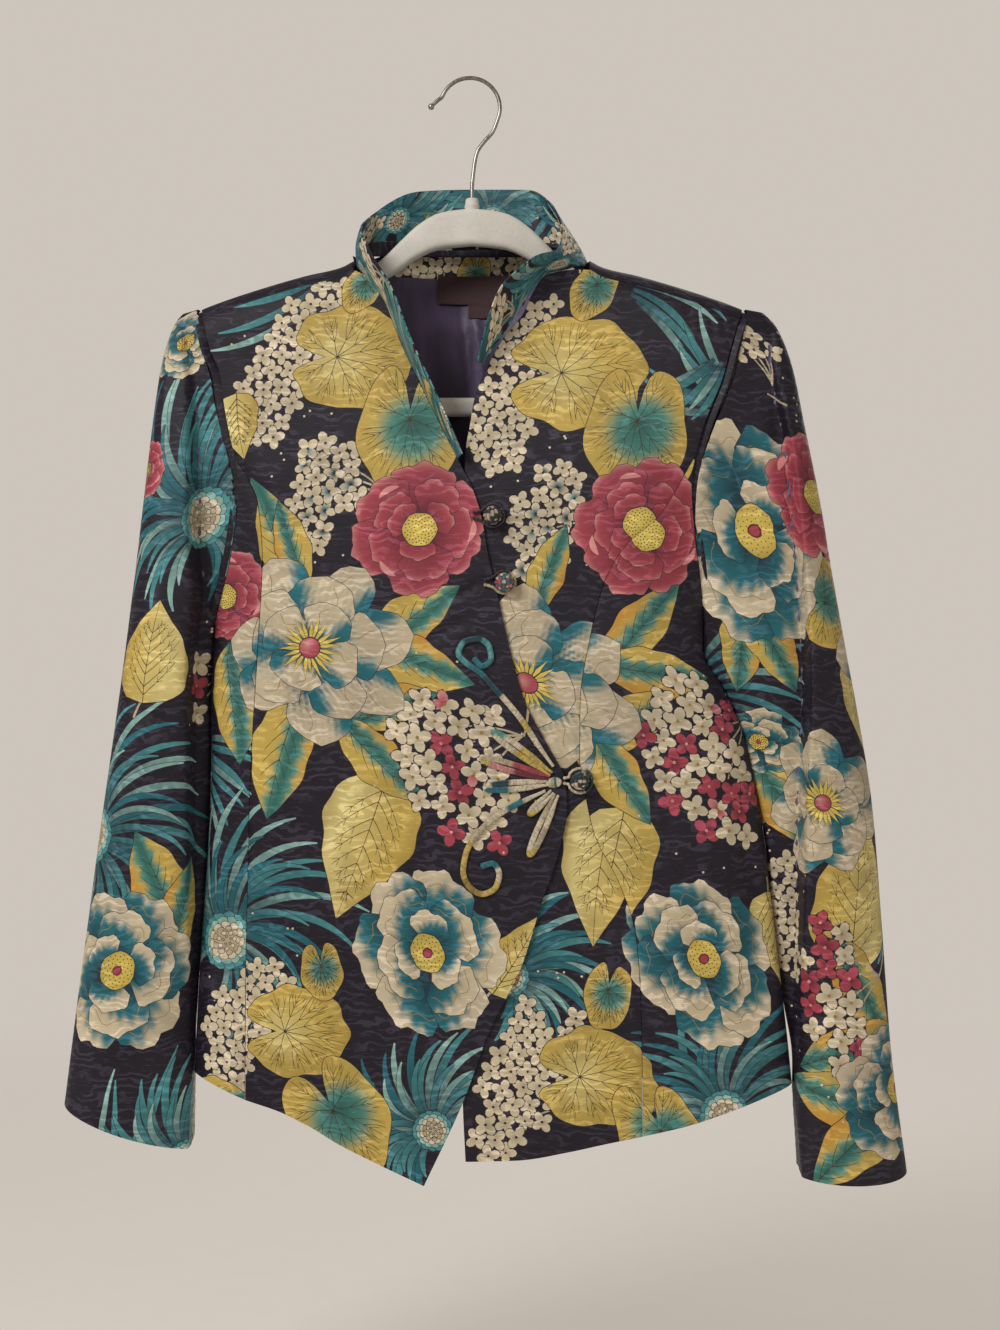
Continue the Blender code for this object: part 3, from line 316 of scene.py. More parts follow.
PRINT_SLEEVE_LEFT = (
    ("hydrangea", 207, -200, 22, 0.8, 0, 13), ("rose", 210, -339, 84, 0.72, 85, 5),
    ("leaf", 200, -420, 40, 0.5, -105, 15), ("leaf", 219, -420, 42, 0.5, -70, 16),
    ("arcs", 220, -435, 46, 0.7, 20, 9), ("rose", 214, -496, 30, 0.8, 0, 6),
    ("leaf", 228, -532, 50, 0.5, -60, 17), ("hydrangea_teal", 225, -538, 26, 0.8, 80, 14),
    ("hydrangea", 236, -626, 56, 0.34, -86, 15), ("peony", 255, -314, 48, 1, 0, 3),
    ("lobed", 264, -393, 38, 0.9, 180, 9), ("heart", 288, -474, 84, 0.6, -85, 7),
    ("magnolia", 258, -540, 58, 1, 0, 3), ("heart", 284, -603, 111, 0.62, 80, 8),
    ("hydrangea_crimson", 266, -682, 68, 0.42, 95, 16), ("leaf", 290, -679, 50, 0.45, -64, 18),
    ("leaf", 285, -724, 50, 0.5, 15, 19), ("leaf", 284, -759, 58, 0.45, -14, 20),
    ("leaf", 292, -788, 58, 0.45, 40, 21), ("rose", 315, -754, 54, 0.9, 0, 7),
    ("arcs", 272, -195, 30, 0.7, 0, 10),
)


# Lines and smooth functions


def monotone(xs, ys):
    """A smooth function through the points that never overshoots them. xs rise."""
    xs, ys = np.asarray(xs, float), np.asarray(ys, float)
    steps = np.diff(xs)
    slopes = np.diff(ys) / steps
    tangents = np.empty_like(ys)
    tangents[0], tangents[-1] = slopes[0], slopes[-1]
    for i in range(1, len(xs) - 1):
        before, after = slopes[i - 1], slopes[i]
        if before * after <= 0:
            tangents[i] = 0
            continue
        first, second = 2 * steps[i] + steps[i - 1], steps[i] + 2 * steps[i - 1]
        tangents[i] = (first + second) / (first / before + second / after)

    def value(x):
        x = np.clip(np.asarray(x, float), xs[0], xs[-1])
        i = np.clip(np.searchsorted(xs, x, side="right") - 1, 0, len(xs) - 2)
        t = (x - xs[i]) / steps[i]
        rise = ys[i] * (1 + 2 * t) * (1 - t) ** 2 + ys[i + 1] * t * t * (3 - 2 * t)
        return rise + steps[i] * (tangents[i] * t * (1 - t) ** 2 + tangents[i + 1] * t * t * (t - 1))

    return value


def column(table, key, value):
    """A smooth function of one column of a table against another."""
    rows = sorted(table, key=lambda row: row[key])
    return monotone([row[key] for row in rows], [row[value] for row in rows])


def stacked(*parts):
    """The parts side by side, each a coordinate of the points."""
    return np.stack(parts, axis=-1)


def unit(vectors, least=1e-9):
    return vectors / np.maximum(np.linalg.norm(vectors, axis=1), least)[:, None]


def chords(points):
    lengths = np.linalg.norm(np.diff(points, axis=0), axis=1)
    return np.concatenate([[0], np.cumsum(lengths)])


def along(points, shares):
    """Points at the given shares of the length of a smooth line through the given points."""
    points = np.asarray(points, float)
    lengths = chords(points)
    axes = [monotone(lengths, points[:, k]) for k in range(points.shape[1])]
    fine = np.stack([axis(np.linspace(0, lengths[-1], 400)) for axis in axes], axis=1)
    travelled = chords(fine)
    at = np.asarray(shares) * travelled[-1]
    return np.stack([np.interp(at, travelled, fine[:, k]) for k in range(fine.shape[1])], axis=1)


def path(points, count):
    """count + 1 points at even distances along a smooth line through the given points."""
    return along(points, np.linspace(0, 1, count + 1))


def joined(*sections):
    """One line from (points, count) sections that meet end to end."""
    lines = [path(points, count) for points, count in sections]
    return np.concatenate([lines[0]] + [line[1:] for line in lines[1:]])


def dense(line, step):
    """The line with points added so that none lie further apart than step."""
    made = [line[:1]]
    for start, end in zip(line[:-1], line[1:]):
        count = max(1, math.ceil(np.linalg.norm(end - start) / step))
        share = np.arange(1, count + 1)[:, None] / count
        made.append(start + share * (end - start))
    return np.concatenate(made)


def smoothstep(t):
    t = np.clip(t, 0, 1)
    return t * t * (3 - 2 * t)


def bilinear(table, rows, columns, r, c):
    """The table's value between its rows and columns, whose positions rise."""
    row = np.clip(np.interp(r, rows, np.arange(len(rows))), 0, len(rows) - 1.001)
    col = np.clip(np.interp(c, columns, np.arange(len(columns))), 0, len(columns) - 1.001)
    i, j = row.astype(int), col.astype(int)
    y, x = row - i, col - j
    upper = table[i, j] * (1 - x) + table[i, j + 1] * x
    lower = table[i + 1, j] * (1 - x) + table[i + 1, j + 1] * x
    return upper * (1 - y) + lower * y


# Surfaces


shoulder_z = column(SHOULDER_LINE, 0, 1)
side_right_x = column(BODY_SIDES, 0, 1)
side_left_x = column(BODY_SIDES, 0, 2)
front_depth = column(BODY_DEPTH, 0, 1)
back_depth = column(BODY_DEPTH, 0, 2)


def shoulder(x):
    return shoulder_z(np.abs(x))


def fullness(x, z):
    """0 on the shoulder line and at the sides, 1 over the flat of the body."""
    right, left = side_right_x(z), side_left_x(z)
    across = np.clip(np.abs(2 * x - right - left) / (left - right), 0, 1)
    down = np.clip((shoulder(x) - z) / SHOULDER_ROUND, 0, 1)
    return np.sqrt(1 - across**5) * np.sqrt(1 - (1 - down) ** 2)


def body_edge(armhole, side, z):
    """How far out a panel reaches: to its armhole, and below the underarm to the side."""
    outline = [row[::-1] for row in armhole[::-1]]
    at = monotone([row[0] for row in outline], [row[1] for row in outline])
    return np.where(z > outline[0][0], at(z), side(z))


def neck_bulge(x, z):
    below = np.maximum(0, -121 - z)
    return np.exp(-((x / NECK_BULGE_REACH[0]) ** 2) - (below / NECK_BULGE_REACH[1]) ** 2)


def front_y(x, z):
    return -(front_depth(z) + NECK_BULGE[0] * neck_bulge(x, z)) * fullness(x, z) - SIDE_SEAM / 2


def right_front_y(x, z):
    return front_y(x, z) - UNDERLAP_LIFT * smoothstep((x + 45) / 35)


def back_y(x, z):
    return (back_depth(z) + NECK_BULGE[1] * neck_bulge(x, z)) * fullness(x, z) + SIDE_SEAM / 2


def creased(x, z, rows):
    """Depth of the creases at points of the hanging plane. Each fades out towards its two ends."""
    total = np.zeros_like(np.asarray(x, float))
    for x0, z0, x1, z1, depth, width in rows:
        length = math.hypot(x1 - x0, z1 - z0)
        ahead_x, ahead_z = (x1 - x0) / length, (z1 - z0) / length
        share = ((x - x0) * ahead_x + (z - z0) * ahead_z) / length
        bow = CREASE_BOW * length * (1 - (2 * share - 1) ** 2)
        aside = (x - x0) * ahead_z - (z - z0) * ahead_x + bow
        total += depth * np.exp(-((aside / width) ** 2)) * np.clip(1 - (2 * share - 1) ** 2, 0, 1)
    return total


def distance_to(line, x, z):
    """Distance of points of the hanging plane from a line."""
    nearest = np.full(np.shape(x), 1e9)
    for (x0, z0), (x1, z1) in zip(line[:-1], line[1:]):
        run_x, run_z = x1 - x0, z1 - z0
        share = np.clip(((x - x0) * run_x + (z - z0) * run_z) / (run_x**2 + run_z**2), 0, 1)
        nearest = np.minimum(nearest, np.hypot(x - x0 - share * run_x, z - z0 - share * run_z))
    return nearest


def seam_dip(line, x, z):
    """The valley along a seam, puckered a little along its length."""
    depth, reach = SEAM_DIP
    pucker = 1 + 0.35 * np.sin(z * 0.41) * np.sin(z * 0.157 + 1.3)
    return depth * pucker * np.exp(-((distance_to(line, x, z) / reach) ** 2))


class Cut:
    """A surface and the same surface laid flat. point(a, b) gives places in space. On the flat, u runs
    across in the cloth's true width from the middle column, and v runs up. From outside, u runs right."""

    def __init__(self, point, columns, levels, rows, middle):
        """rows holds b at each level and column. columns and levels rise."""
        self.point, self.columns, self.levels, self.rows = point, columns, levels, rows
        self.space = point(np.broadcast_to(columns, rows.shape), rows)
        steps = np.linalg.norm(np.diff(self.space, axis=1), axis=2)
        u = np.concatenate([np.zeros((len(levels), 1)), np.cumsum(steps, axis=1)], axis=1)
        self.u = u - u[:, middle][:, None]
        self.even = np.linspace(self.u.min(), self.u.max(), 700)
        self.back = np.stack([np.interp(self.even, line, columns) for line in self.u])

    def flat(self, a, v):
        return stacked(bilinear(self.u, self.levels, self.columns, v, a), v)

    def places(self, flat):
        a = bilinear(self.back, self.levels, self.even, flat[:, 1], flat[:, 0])
        return self.point(a, bilinear(self.rows, self.levels, self.columns, flat[:, 1], a))

    def normals(self, flat, step=0.8):
        across = self.places(flat + (step, 0)) - self.places(flat - (step, 0))
        up = self.places(flat + (0, step)) - self.places(flat - (0, step))
        return unit(np.cross(across, up))

    def nearest(self, x, z, side):
        """The flat place whose point lies nearest to x, z, before (-1) or behind (1) the hanging plane."""
        away = np.hypot(self.space[..., 0] - x, self.space[..., 2] - z)
        away = away + np.where(self.space[..., 1] * side >= 0, 0, 1000)
        i, j = np.unravel_index(np.argmin(away), away.shape)
        extra = x - self.space[i, j, 0]
        return np.array(
            [self.u[i, j] + extra * (0 if side > 0 else 1), self.levels[i] + z - self.space[i, j, 2]]
        )


# Shares across the body, close together at the sides.
CROWDED = (1 - np.cos(np.linspace(0, math.pi, 221))) / 2


def body_cut(depth, dips):
    """A front of the body, where a is the share from the wearer's right side and b the height."""

    def point(share, z):
        right, left = side_right_x(z), side_left_x(z)
        x = right + share * (left - right)
        y = depth(x, z) + sum(seam_dip(line, x, z) for line in dips)
        return stacked(x, y, z)

    levels = np.linspace(-835, -112, 190)
    return Cut(point, CROWDED, levels, np.repeat(levels[:, None], len(CROWDED), axis=1), len(CROWDED) // 2)


def share_across(x, z):
    right, left = side_right_x(z), side_left_x(z)
    return (x - right) / (left - right)


def on_body(cut, line):
    """Points of the hanging plane laid flat on a front's cut."""
    return cut.flat(share_across(line[:, 0], line[:, 1]), line[:, 1])


def back_height(x, b):
    """Height of the back's row b, which follows the shoulders at the top and lies level further down."""
    follow = 1 - smoothstep(b / BACK_LEVEL_DROP)
    return shoulder(0) - np.abs(b) + (shoulder(x) - shoulder(0)) * follow


def back_cut(dips, step=0.0, creases=CREASES_BACK):
    """The back, where a is the share from the wearer's left side and b the row below the shoulder line. Rows
    with b under 0 lie before the shoulder. step moves the surface forwards."""

    def sides(b):
        ends = []
        for start, side in ((215.0, side_left_x), (-215.0, side_right_x)):
            x = np.full(np.shape(b), start)
            for _ in range(4):
                x = side(back_height(x, b))
            ends.append(x)
        return ends

    def point(share, b):
        left, right = sides(b)
        x = left + share * (right - left)
        z = back_height(x, b)
        behind = back_y(x, z) - step - SEAM / 3
        behind = behind - creased(x, z, creases) - sum(seam_dip(line, x, z) for line in dips)
        return stacked(x, np.where(b < 0, front_y(x, z) + SEAM / 3, behind), z)

    rows = np.concatenate([np.linspace(760, 40, 180), np.linspace(38, -14, 60)])
    middle = len(CROWDED) // 2
    spine = point(np.full(len(rows), CROWDED[middle - 40]), rows)
    levels = chords(spine)
    levels = levels - np.interp(0, -rows, levels) + shoulder(0)
    return Cut(point, CROWDED, levels, np.repeat(rows[:, None], len(CROWDED), axis=1), middle), sides


def on_back(cut, sides, line):
    """Points given as x and drop below the shoulder line, laid flat on the back's cut."""
    x, drop = line[:, 0], line[:, 1]
    low, high = np.full(len(x), -14.0), np.full(len(x), 800.0)
    for _ in range(40):
        middle = (low + high) / 2
        below = np.where(middle < 0, middle, shoulder(x) - back_height(x, middle)) < drop
        low, high = np.where(below, middle, low), np.where(below, high, middle)
    left, right = sides(low)
    level = np.interp(-low, -cut.rows[:, 0], cut.levels)
    return cut.flat((x - left) / (right - left), level)


def armhole_ring(armhole, turn):
    """The armhole as a ring: top at turn 0, front at a quarter, underarm at a half."""
    outline = np.asarray([row[::-1] for row in armhole[::-1]])
    at = monotone(outline[:, 0], outline[:, 1])
    top, low = shoulder(armhole[0][0]), armhole[-1][1]
    z = top + (low - top) * (1 - np.cos(turn)) / 2
    x = at(z)
    return x, np.where(np.sin(turn) >= 0, front_y(x, z), back_y(x, z)), z


def sleeve_cut(table, armhole, side, lobe, outward, creases):
    """A sleeve, where a is the turn from the outer line, positive over the front of the wearer's right sleeve
    and negative over the front of the left one, and b the row of the table."""
    order = np.arange(len(table))
    measures = [monotone(order, [row[k] for row in table]) for k in range(7)]
    edge = column(lobe, 0, 1)

    def point(a, row):
        turn = -outward * a
        outer_x, outer_z, inner_x, inner_z, front, back, share = (measure(row) for measure in measures)
        part = (1 - np.cos(turn)) / 2
        x = outer_x + (inner_x - outer_x) * part
        z = outer_z + (inner_z - outer_z) * part
        sine = np.sin(turn)
        z = z - CUFF_SAG * np.maximum(0, sine) * smoothstep((row - len(table) + 3) / 2)
        y = -np.where(sine >= 0, front, back) * sine
        inward = smoothstep((x - edge(z)) * -outward / LOBE_STEP)
        y = np.where(y < 0, y * (1 - LOBE_RECESS * inward), y)
        ring_x, ring_y, ring_z = armhole_ring(armhole, turn)
        ring_x = ring_x + outward * ARMHOLE_SEAM + (outer_x - table[0][0]) * np.cos(turn / 2) ** 2
        x, y, z = (
            share * ring + (1 - share) * own for ring, own in ((ring_x, x), (ring_y, y), (ring_z, z))
        )
        gap = ARMHOLE_SEAM + (SLEEVE_CLEARANCE - ARMHOLE_SEAM) * (1 - share)
        near = body_edge(armhole, side, z) * outward + gap
        apart = np.clip(inner_x * outward - near, 0, SLEEVE_CLOSING)
        apart = apart * part**2 * smoothstep((z - SLEEVE_FREE) / 60)
        x = np.maximum(x * outward - apart, near) * outward
        folds = creased(x, z, creases) * np.abs(sine) ** 0.5
        return stacked(x, y + np.where(sine >= 0, folds, -folds), z)

    columns = np.linspace(-math.pi, math.pi, 221)
    fine = np.linspace(0, 1, 1600) ** 1.7 * (len(table) - 1)
    heights = point(*np.meshgrid(columns, fine))[..., 2]
    levels = np.linspace(heights.min() - 1, heights.max() + 0.5, 1400)
    rows = np.stack([np.interp(-levels, -height, fine) for height in heights.T], axis=1)
    return Cut(point, columns, levels, rows, len(columns) // 2)


def sleeve_outline(cut, last_row):
    """The sleeve laid flat: up one underarm edge, round the armhole, down the other and along the cuff."""
    reach = math.pi * 0.9985
    up, across = np.linspace(last_row, 0, 130), np.linspace(-reach, reach, 110)
    edges = (
        (np.full(130, reach), up), (across[::-1], np.zeros(110)), (np.full(130, -reach), up[::-1]),
        (across, np.full(110, last_row)),
    )
    return closed_line([cut.flat(a, cut.point(a, row)[:, 2]) for a, row in edges])


def collar_cut():
    """The collar, where a runs from the left front round the back to the right front and b is the share
    of its height from the neckline to the free edge."""
    stations = np.asarray(COLLAR_STATIONS, float)
    seam_x, seam_z = stations[:, 0], stations[:, 1]
    order = np.arange(len(stations))
    behind = (order >= 6) & (order <= 10)
    seam_y = np.where(order < 6, right_front_y(seam_x, seam_z), front_y(seam_x, seam_z))
    seam_y = np.where(behind, back_y(seam_x, seam_z), seam_y)
    seam_y = np.where((order == 5) | (order == 11), 0, seam_y)
    seam = path(stacked(seam_x, seam_y, seam_z), 240)
    reach = chords(stacked(seam_x, seam_y, seam_z))
    at = chords(seam) * reach[-1] / chords(seam)[-1]
    free = np.stack([monotone(reach, stations[:, k])(at) for k in (2, 3, 4)], axis=1)
    share = np.linspace(-1, 0, len(seam))
    outward = unit(np.cross(free - seam, np.gradient(seam, axis=0)))

    def point(a, b):
        low, high, out = (
            stacked(*(np.interp(a, share, line[::-1, k]) for k in range(3))) for line in (seam, free, outward)
        )
        b = np.asarray(b)[..., None]
        wave = COLLAR_BOW * np.sin(math.pi * b) * (1 + 0.5 * np.sin(a[..., None] * 47))
        return low + b * (high - low) + out * wave

    rows = np.linspace(0, 1, 24)
    grid = np.repeat(rows[:, None], len(share), axis=1)
    return Cut(point, share, rows * COLLAR_HEIGHT, grid, len(share) // 2)


def closed_line(edges):
    """One closed outline from edges that meet end to end, without repeated points."""
    line = np.concatenate(edges)
    apart = np.linalg.norm(line - np.roll(line, 1, axis=0), axis=1)
    return line[apart > 0.05]


# Cloth


def inside(line, points):
    """Which points lie inside a closed line."""
    (x0, y0), (x1, y1) = line.T, np.roll(line, -1, axis=0).T
    slope = (x1 - x0) / np.where(y1 == y0, 1, y1 - y0)
    found = []
    for block in np.array_split(points, len(points) * len(line) // 4000000 + 1):
        x, y = block[:, :1], block[:, 1:]
        crosses = (y0 > y) != (y1 > y)
        found.append((crosses & (x0 + (y - y0) * slope < x)).sum(axis=1) % 2 == 1)
    return np.concatenate(found)


def triangulated(outline, parts, free_points):
    """The outline cut along each part's edges in sight: points, triangles, and the part on top of each."""
    starts = [line[seen] for line, _, _, seen in parts]
    ends = [np.roll(line, -1, axis=0)[seen] for line, _, _, seen in parts]
    count = sum(len(block) for block in starts)
    every = np.round(np.concatenate([outline] + starts + ends + [free_points]), 4)
    points, index = np.unique(every, axis=0, return_inverse=True)
    index = index.reshape(-1)
    first = len(outline)
    edges = stacked(index[first : first + count], index[first + count : first + 2 * count])
    edges = edges[edges[:, 0] != edges[:, 1]]
    places = [Vector(point) for point in points.tolist()]
    made = delaunay_2d_cdt(places, edges.tolist(), [index[:first].tolist()], 1, 1e-4, False)
    flat = np.array([tuple(place) for place in made[0]])
    triangles = np.array(made[2])
    triangles = triangles[inside(outline, flat[triangles].mean(axis=1))]
    centres = flat[triangles].mean(axis=1)
    top = np.zeros(len(triangles), int)
    order = np.argsort(centres[:, 0])
    across = centres[order, 0]
    for number, (line, _, _, _) in enumerate(parts, 1):
        low, high = line.min(axis=0), line.max(axis=0)
        near = order[np.searchsorted(across, low[0]) : np.searchsorted(across, high[0])]
        near = near[(centres[near, 1] > low[1]) & (centres[near, 1] < high[1])]
        top[near[inside(line, centres[near])]] = number
    used, index = np.unique(triangles, return_inverse=True)
    return flat[used], index.reshape(-1, 3), top


def hexagons(low, high, spacing):
    """A lattice of points that fills a flat box."""
    rise = spacing * math.sqrt(3) / 2
    x, y = np.meshgrid(np.arange(low[0], high[0], spacing), np.arange(low[1], high[1], rise))
    x[1::2] += spacing / 2
    return stacked(x.ravel(), y.ravel())


def boundary(flat, triangles, start):
    """The outline of a triangulation, from the point nearest to start, and each point's share of it."""
    edges = np.concatenate([triangles[:, [0, 1]], triangles[:, [1, 2]], triangles[:, [2, 0]]])
    known = {tuple(edge) for edge in edges.tolist()}
    following = {i: j for i, j in known if (j, i) not in known}
    loop = [min(following, key=lambda i: np.hypot(*(flat[i] - start)))]
    while following[loop[-1]] != loop[0]:
        loop.append(following[loop[-1]])
        if len(loop) > len(following):
            raise RuntimeError("the outline crosses itself")
    loop = np.array(loop)
    lengths = chords(flat[np.append(loop, loop[0])])
    return loop, lengths / lengths[-1]


def bridged(first, first_share, second, second_share):
    """Triangles between two closed loops of points, walked by their shares of the way round."""
    faces, i, j = [], 0, 0
    while i < len(first) or j < len(second):
        a, b = first[i % len(first)], second[j % len(second)]
        if j == len(second) or (i < len(first) and first_share[i + 1] <= second_share[j + 1]):
            i += 1
            faces.append((a, b, first[i % len(first)]))
        else:
            j += 1
            faces.append((a, b, second[j % len(second)]))
    return np.array(faces)


def painted(flat, triangles, top, parts, ground):
    """Colours of the triangles' corners."""
    colours = np.empty((len(triangles), 3, 3))
    colours[:] = ground
    order = np.argsort(top, kind="stable")
    bounds = np.searchsorted(top[order], np.arange(1, len(parts) + 2))
    for number, (_, paint, (centre, turn), _) in enumerate(parts):
        chosen = order[bounds[number] : bounds[number + 1]]
        if not len(chosen):
            continue
        if not callable(paint):
            colours[chosen] = paint
            continue
        away = flat[triangles[chosen]].reshape(-1, 2) - centre
        cosine, sine = math.cos(turn), math.sin(turn)
        local = stacked(away[:, 0] * cosine + away[:, 1] * sine, away[:, 1] * cosine - away[:, 0] * sine)
        colours[chosen] = paint(local).reshape(-1, 3, 3)
    return colours


def lattice(outline, spots, spacing):
    """Free points inside an outline, closer together within the spots (centre, radius, spacing)."""
    low, high = outline.min(axis=0), outline.max(axis=0)
    base = hexagons(low, high, spacing)
    covered = np.zeros(len(base), bool)
    found = []
    for centre, radius, fine in spots:
        covered |= np.hypot(*(base - centre).T) < radius
        own = hexagons(centre - radius, centre + radius, fine)
        taken = [np.hypot(*(own - other).T) < reach for other, reach, _ in spots[: len(found)]]
        inside = np.hypot(*(own - centre).T) < radius
        found.append(own[inside & ~np.any(taken, axis=0)] if taken else own[inside])
    return np.concatenate([base[~covered]] + found)


def cloth_piece(name, cut, outline, outer, inner, wall, spacing, looks):
    """A wall of cloth with rounded edges on a cut, the size of its outline and its area. outer and inner are
    (parts, spots, ground colour), looks the outer and the inner material."""
    outline = outline if signed_area(outline) > 0 else outline[::-1]
    blocks = []
    for side, (parts, spots, ground) in ((1, outer), (-1, inner)):
        step = spacing if side > 0 or parts else spacing * 2
        points, triangles, top = triangulated(outline, parts, lattice(outline, spots, step))
        normals = cut.normals(points)
        loop, shares = boundary(points, triangles, outline[0])
        triangles = triangles if side > 0 else triangles[:, ::-1]
        block = {
            "flat": points, "places": cut.places(points) + normals * (side * wall / 2),
            "normals": normals * side, "triangles": triangles, "loop": loop, "shares": shares,
            "colours": painted(points, triangles, top, parts, ground),
        }
        blocks.append(block)
    front, behind = blocks
    loop = front["loop"]
    ring = front["places"][loop] - front["normals"][loop] * wall / 2
    ahead = np.roll(ring, -1, axis=0) - np.roll(ring, 1, axis=0)
    outwards = unit(np.cross(ahead, front["normals"][loop]))
    count, more = len(front["flat"]), len(behind["flat"])
    rim = count + more + np.arange(len(loop))
    after = np.roll(np.arange(len(loop)), -1)
    outer_rim = np.concatenate([stacked(loop, rim, rim[after]), stacked(loop, rim[after], loop[after])])
    inner_rim = bridged(rim, front["shares"], count + behind["loop"], behind["shares"])
    places = np.concatenate([front["places"], behind["places"], ring + outwards * EDGE_ROLL])
    normals = np.concatenate([front["normals"], behind["normals"], outwards])
    flat = np.concatenate([front["flat"], behind["flat"], front["flat"][loop]])
    triangles = np.concatenate([front["triangles"], behind["triangles"] + count, outer_rim, inner_rim])
    shade = np.zeros((len(places), 3))
    shade[:] = behind["colours"].reshape(-1, 3)[0]
    shade[front["triangles"].ravel()] = front["colours"].reshape(-1, 3)
    shade[count + behind["triangles"].ravel()] = behind["colours"].reshape(-1, 3)
    shade[rim] = shade[loop]
    shade[count + behind["loop"]] = outer[2]
    colours = np.concatenate([front["colours"], behind["colours"], shade[outer_rim], shade[inner_rim]])
    counts = [len(part) for part in (front["triangles"], behind["triangles"], outer_rim, inner_rim)]
    slots = np.repeat([0, 1, 0, 0], counts)
    obj = mesh_piece(name, places, triangles, looks, slots, normals, colours, flat)
    corners = front["places"][front["triangles"]]
    doubled = np.cross(corners[:, 1] - corners[:, 0], corners[:, 2] - corners[:, 0])
    area = np.linalg.norm(doubled, axis=1).sum() / 2
    return obj, np.ptp(outline, axis=0), float(area)


def in_scene(name, data):
    """A new object that wears the data."""
    obj = bpy.data.objects.new(name, data)
    bpy.context.scene.collection.objects.link(obj)
    return obj


def signed_area(line):
    x, y = line[:, 0], line[:, 1]
    return float(np.sum(x * np.roll(y, -1) - y * np.roll(x, -1)) / 2)


def mesh_piece(name, places, triangles, looks, slots, normals, colours, flat):
    """A mesh of triangles with smooth normals, the print's colours and the cloth's own coordinates."""
    mesh = bpy.data.meshes.new(name)
    mesh.vertices.add(len(places))
    mesh.vertices.foreach_set("co", (places * MM).astype(np.float32).ravel())
    mesh.loops.add(3 * len(triangles))
    mesh.loops.foreach_set("vertex_index", triangles.astype(np.int32).ravel())
    mesh.polygons.add(len(triangles))
    mesh.polygons.foreach_set("loop_start", np.arange(0, 3 * len(triangles), 3, dtype=np.int32))
    mesh.update(calc_edges=True)
    mesh.shade_smooth()
    for look in looks:
        mesh.materials.append(look)
    mesh.polygons.foreach_set("material_index", slots.astype(np.int32))
    layer = mesh.color_attributes.new("print", "FLOAT_COLOR", "CORNER")
    values = np.ones((3 * len(triangles), 4), np.float32)
    values[:, :3] = colours.reshape(-1, 3)
    layer.data.foreach_set("color", values.ravel())
    coordinates = mesh.uv_layers.new(name="cloth")
    coordinates.data.foreach_set("uv", (flat[triangles.ravel()] * MM).astype(np.float32).ravel())
    mesh.normals_split_custom_set(normals[triangles.ravel()])
    return in_scene(name, mesh)


# Print


def linear(colour):
    """Linear light from the colour of a picker."""
    colour = np.asarray(colour[:3], float)
    return np.where(colour <= 0.04045, colour / 12.92, ((colour + 0.055) / 1.055) ** 2.4)


def mixed(first, second, share):
    share = np.clip(np.asarray(share, float), 0, 1)[..., None]
    return first * (1 - share) + second * share


def turned(points, angle):
    cosine, sine = math.cos(angle), math.sin(angle)
    return stacked(points[:, 0] * cosine - points[:, 1] * sine, points[:, 0] * sine + points[:, 1] * cosine)


def polar(radii, angles):
    return stacked(radii * np.cos(angles), radii * np.sin(angles))


def spot(radius, angle):
    return polar(np.array([radius]), np.array([angle]))[0]


def ring_of(count, radius):
    return polar(np.full(count, radius), round_line(count))


def round_line(count):
    return np.arange(count) * 2 * math.pi / count


def grown(outline, step):
    """The closed outline moved out by step."""
    ahead = unit(np.roll(outline, -1, axis=0) - np.roll(outline, 1, axis=0))
    side = 1 if signed_area(outline) > 0 else -1
    return outline + side * step * stacked(ahead[:, 1], -ahead[:, 0])


def ribbon(line, widths):
    """The outline of a line with the given widths."""
    line = np.asarray(line, float)
    ahead = unit(np.gradient(line, axis=0))
    aside = stacked(-ahead[:, 1], ahead[:, 0]) * (np.broadcast_to(widths, len(line)) / 2)[:, None]
    return np.concatenate([line - aside, (line + aside)[::-1]])


def bent(start, angle, length, bend, count):
    """A line that leaves start at an angle and turns by bend along its length."""
    angles = angle + bend * (np.arange(count) + 0.5) / count
    steps = np.cumsum(polar(np.full(count, length / count), angles), axis=0)
    return np.concatenate([[start], start + steps])


INK_EDGE = 0.5  # width of the dark line round a printed shape
FINE_LINE = 0.42  # width of a vein


class Drawing:
    """The printed shapes of one motif, in its own millimetres and in painting order."""

    def __init__(self, tones, seed):
        self.tones, self.random, self.shapes, self.spots = tones, np.random.default_rng(seed), [], []
        self.vary = self.random.uniform

    def fill(self, outline, paint, edge=INK_EDGE):
        if edge:
            self.shapes.append((grown(outline, edge), self.tones["ink"]))
        self.shapes.append((outline, paint))

    def line(self, points, width, paint, taper=0.35):
        share = np.linspace(0, 1, len(points))
        self.shapes.append((ribbon(points, width * (1 - (1 - taper) * share)), paint))

    def dot(self, x, y, radius, paint, sides=6):
        self.shapes.append((ring_of(sides, radius) + (x, y), paint))

    def fine(self, x, y, radius, spacing):
        self.spots.append((np.array([x, y]), radius, spacing))

    def toned(self, name, spread=0.07):
        return self.tones[name] * (1 + self.vary(-spread, spread))


def floret(draw, x, y, radius, turn, petals, middle):
    """Four round petals on a dark ground."""
    around = round_line(16)
    ground = polar(radius * (0.90 + 0.20 * np.cos(4 * (around - turn))), around) + (x, y)
    draw.shapes.append((ground, draw.tones["ink"]))
    around = round_line(9)
    for quarter in range(4):
        angle = turn + quarter * math.pi / 2
        petal = stacked(radius * (0.53 + 0.47 * np.cos(around)), radius * 0.37 * np.sin(around))
        base, tip = petals[draw.random.integers(len(petals))]
        base, tip = (draw.tones[name] * draw.vary(0.93, 1.07) for name in (base, tip))

        def paint(local, base=base, tip=tip):
            return mixed(base, tip, (np.hypot(local[:, 0] - x, local[:, 1] - y) / radius - 0.15) * 1.7)

        draw.shapes.append((turned(petal, angle) + (x, y), paint))
    draw.dot(x, y, radius * 0.13, draw.tones[middle], 5)


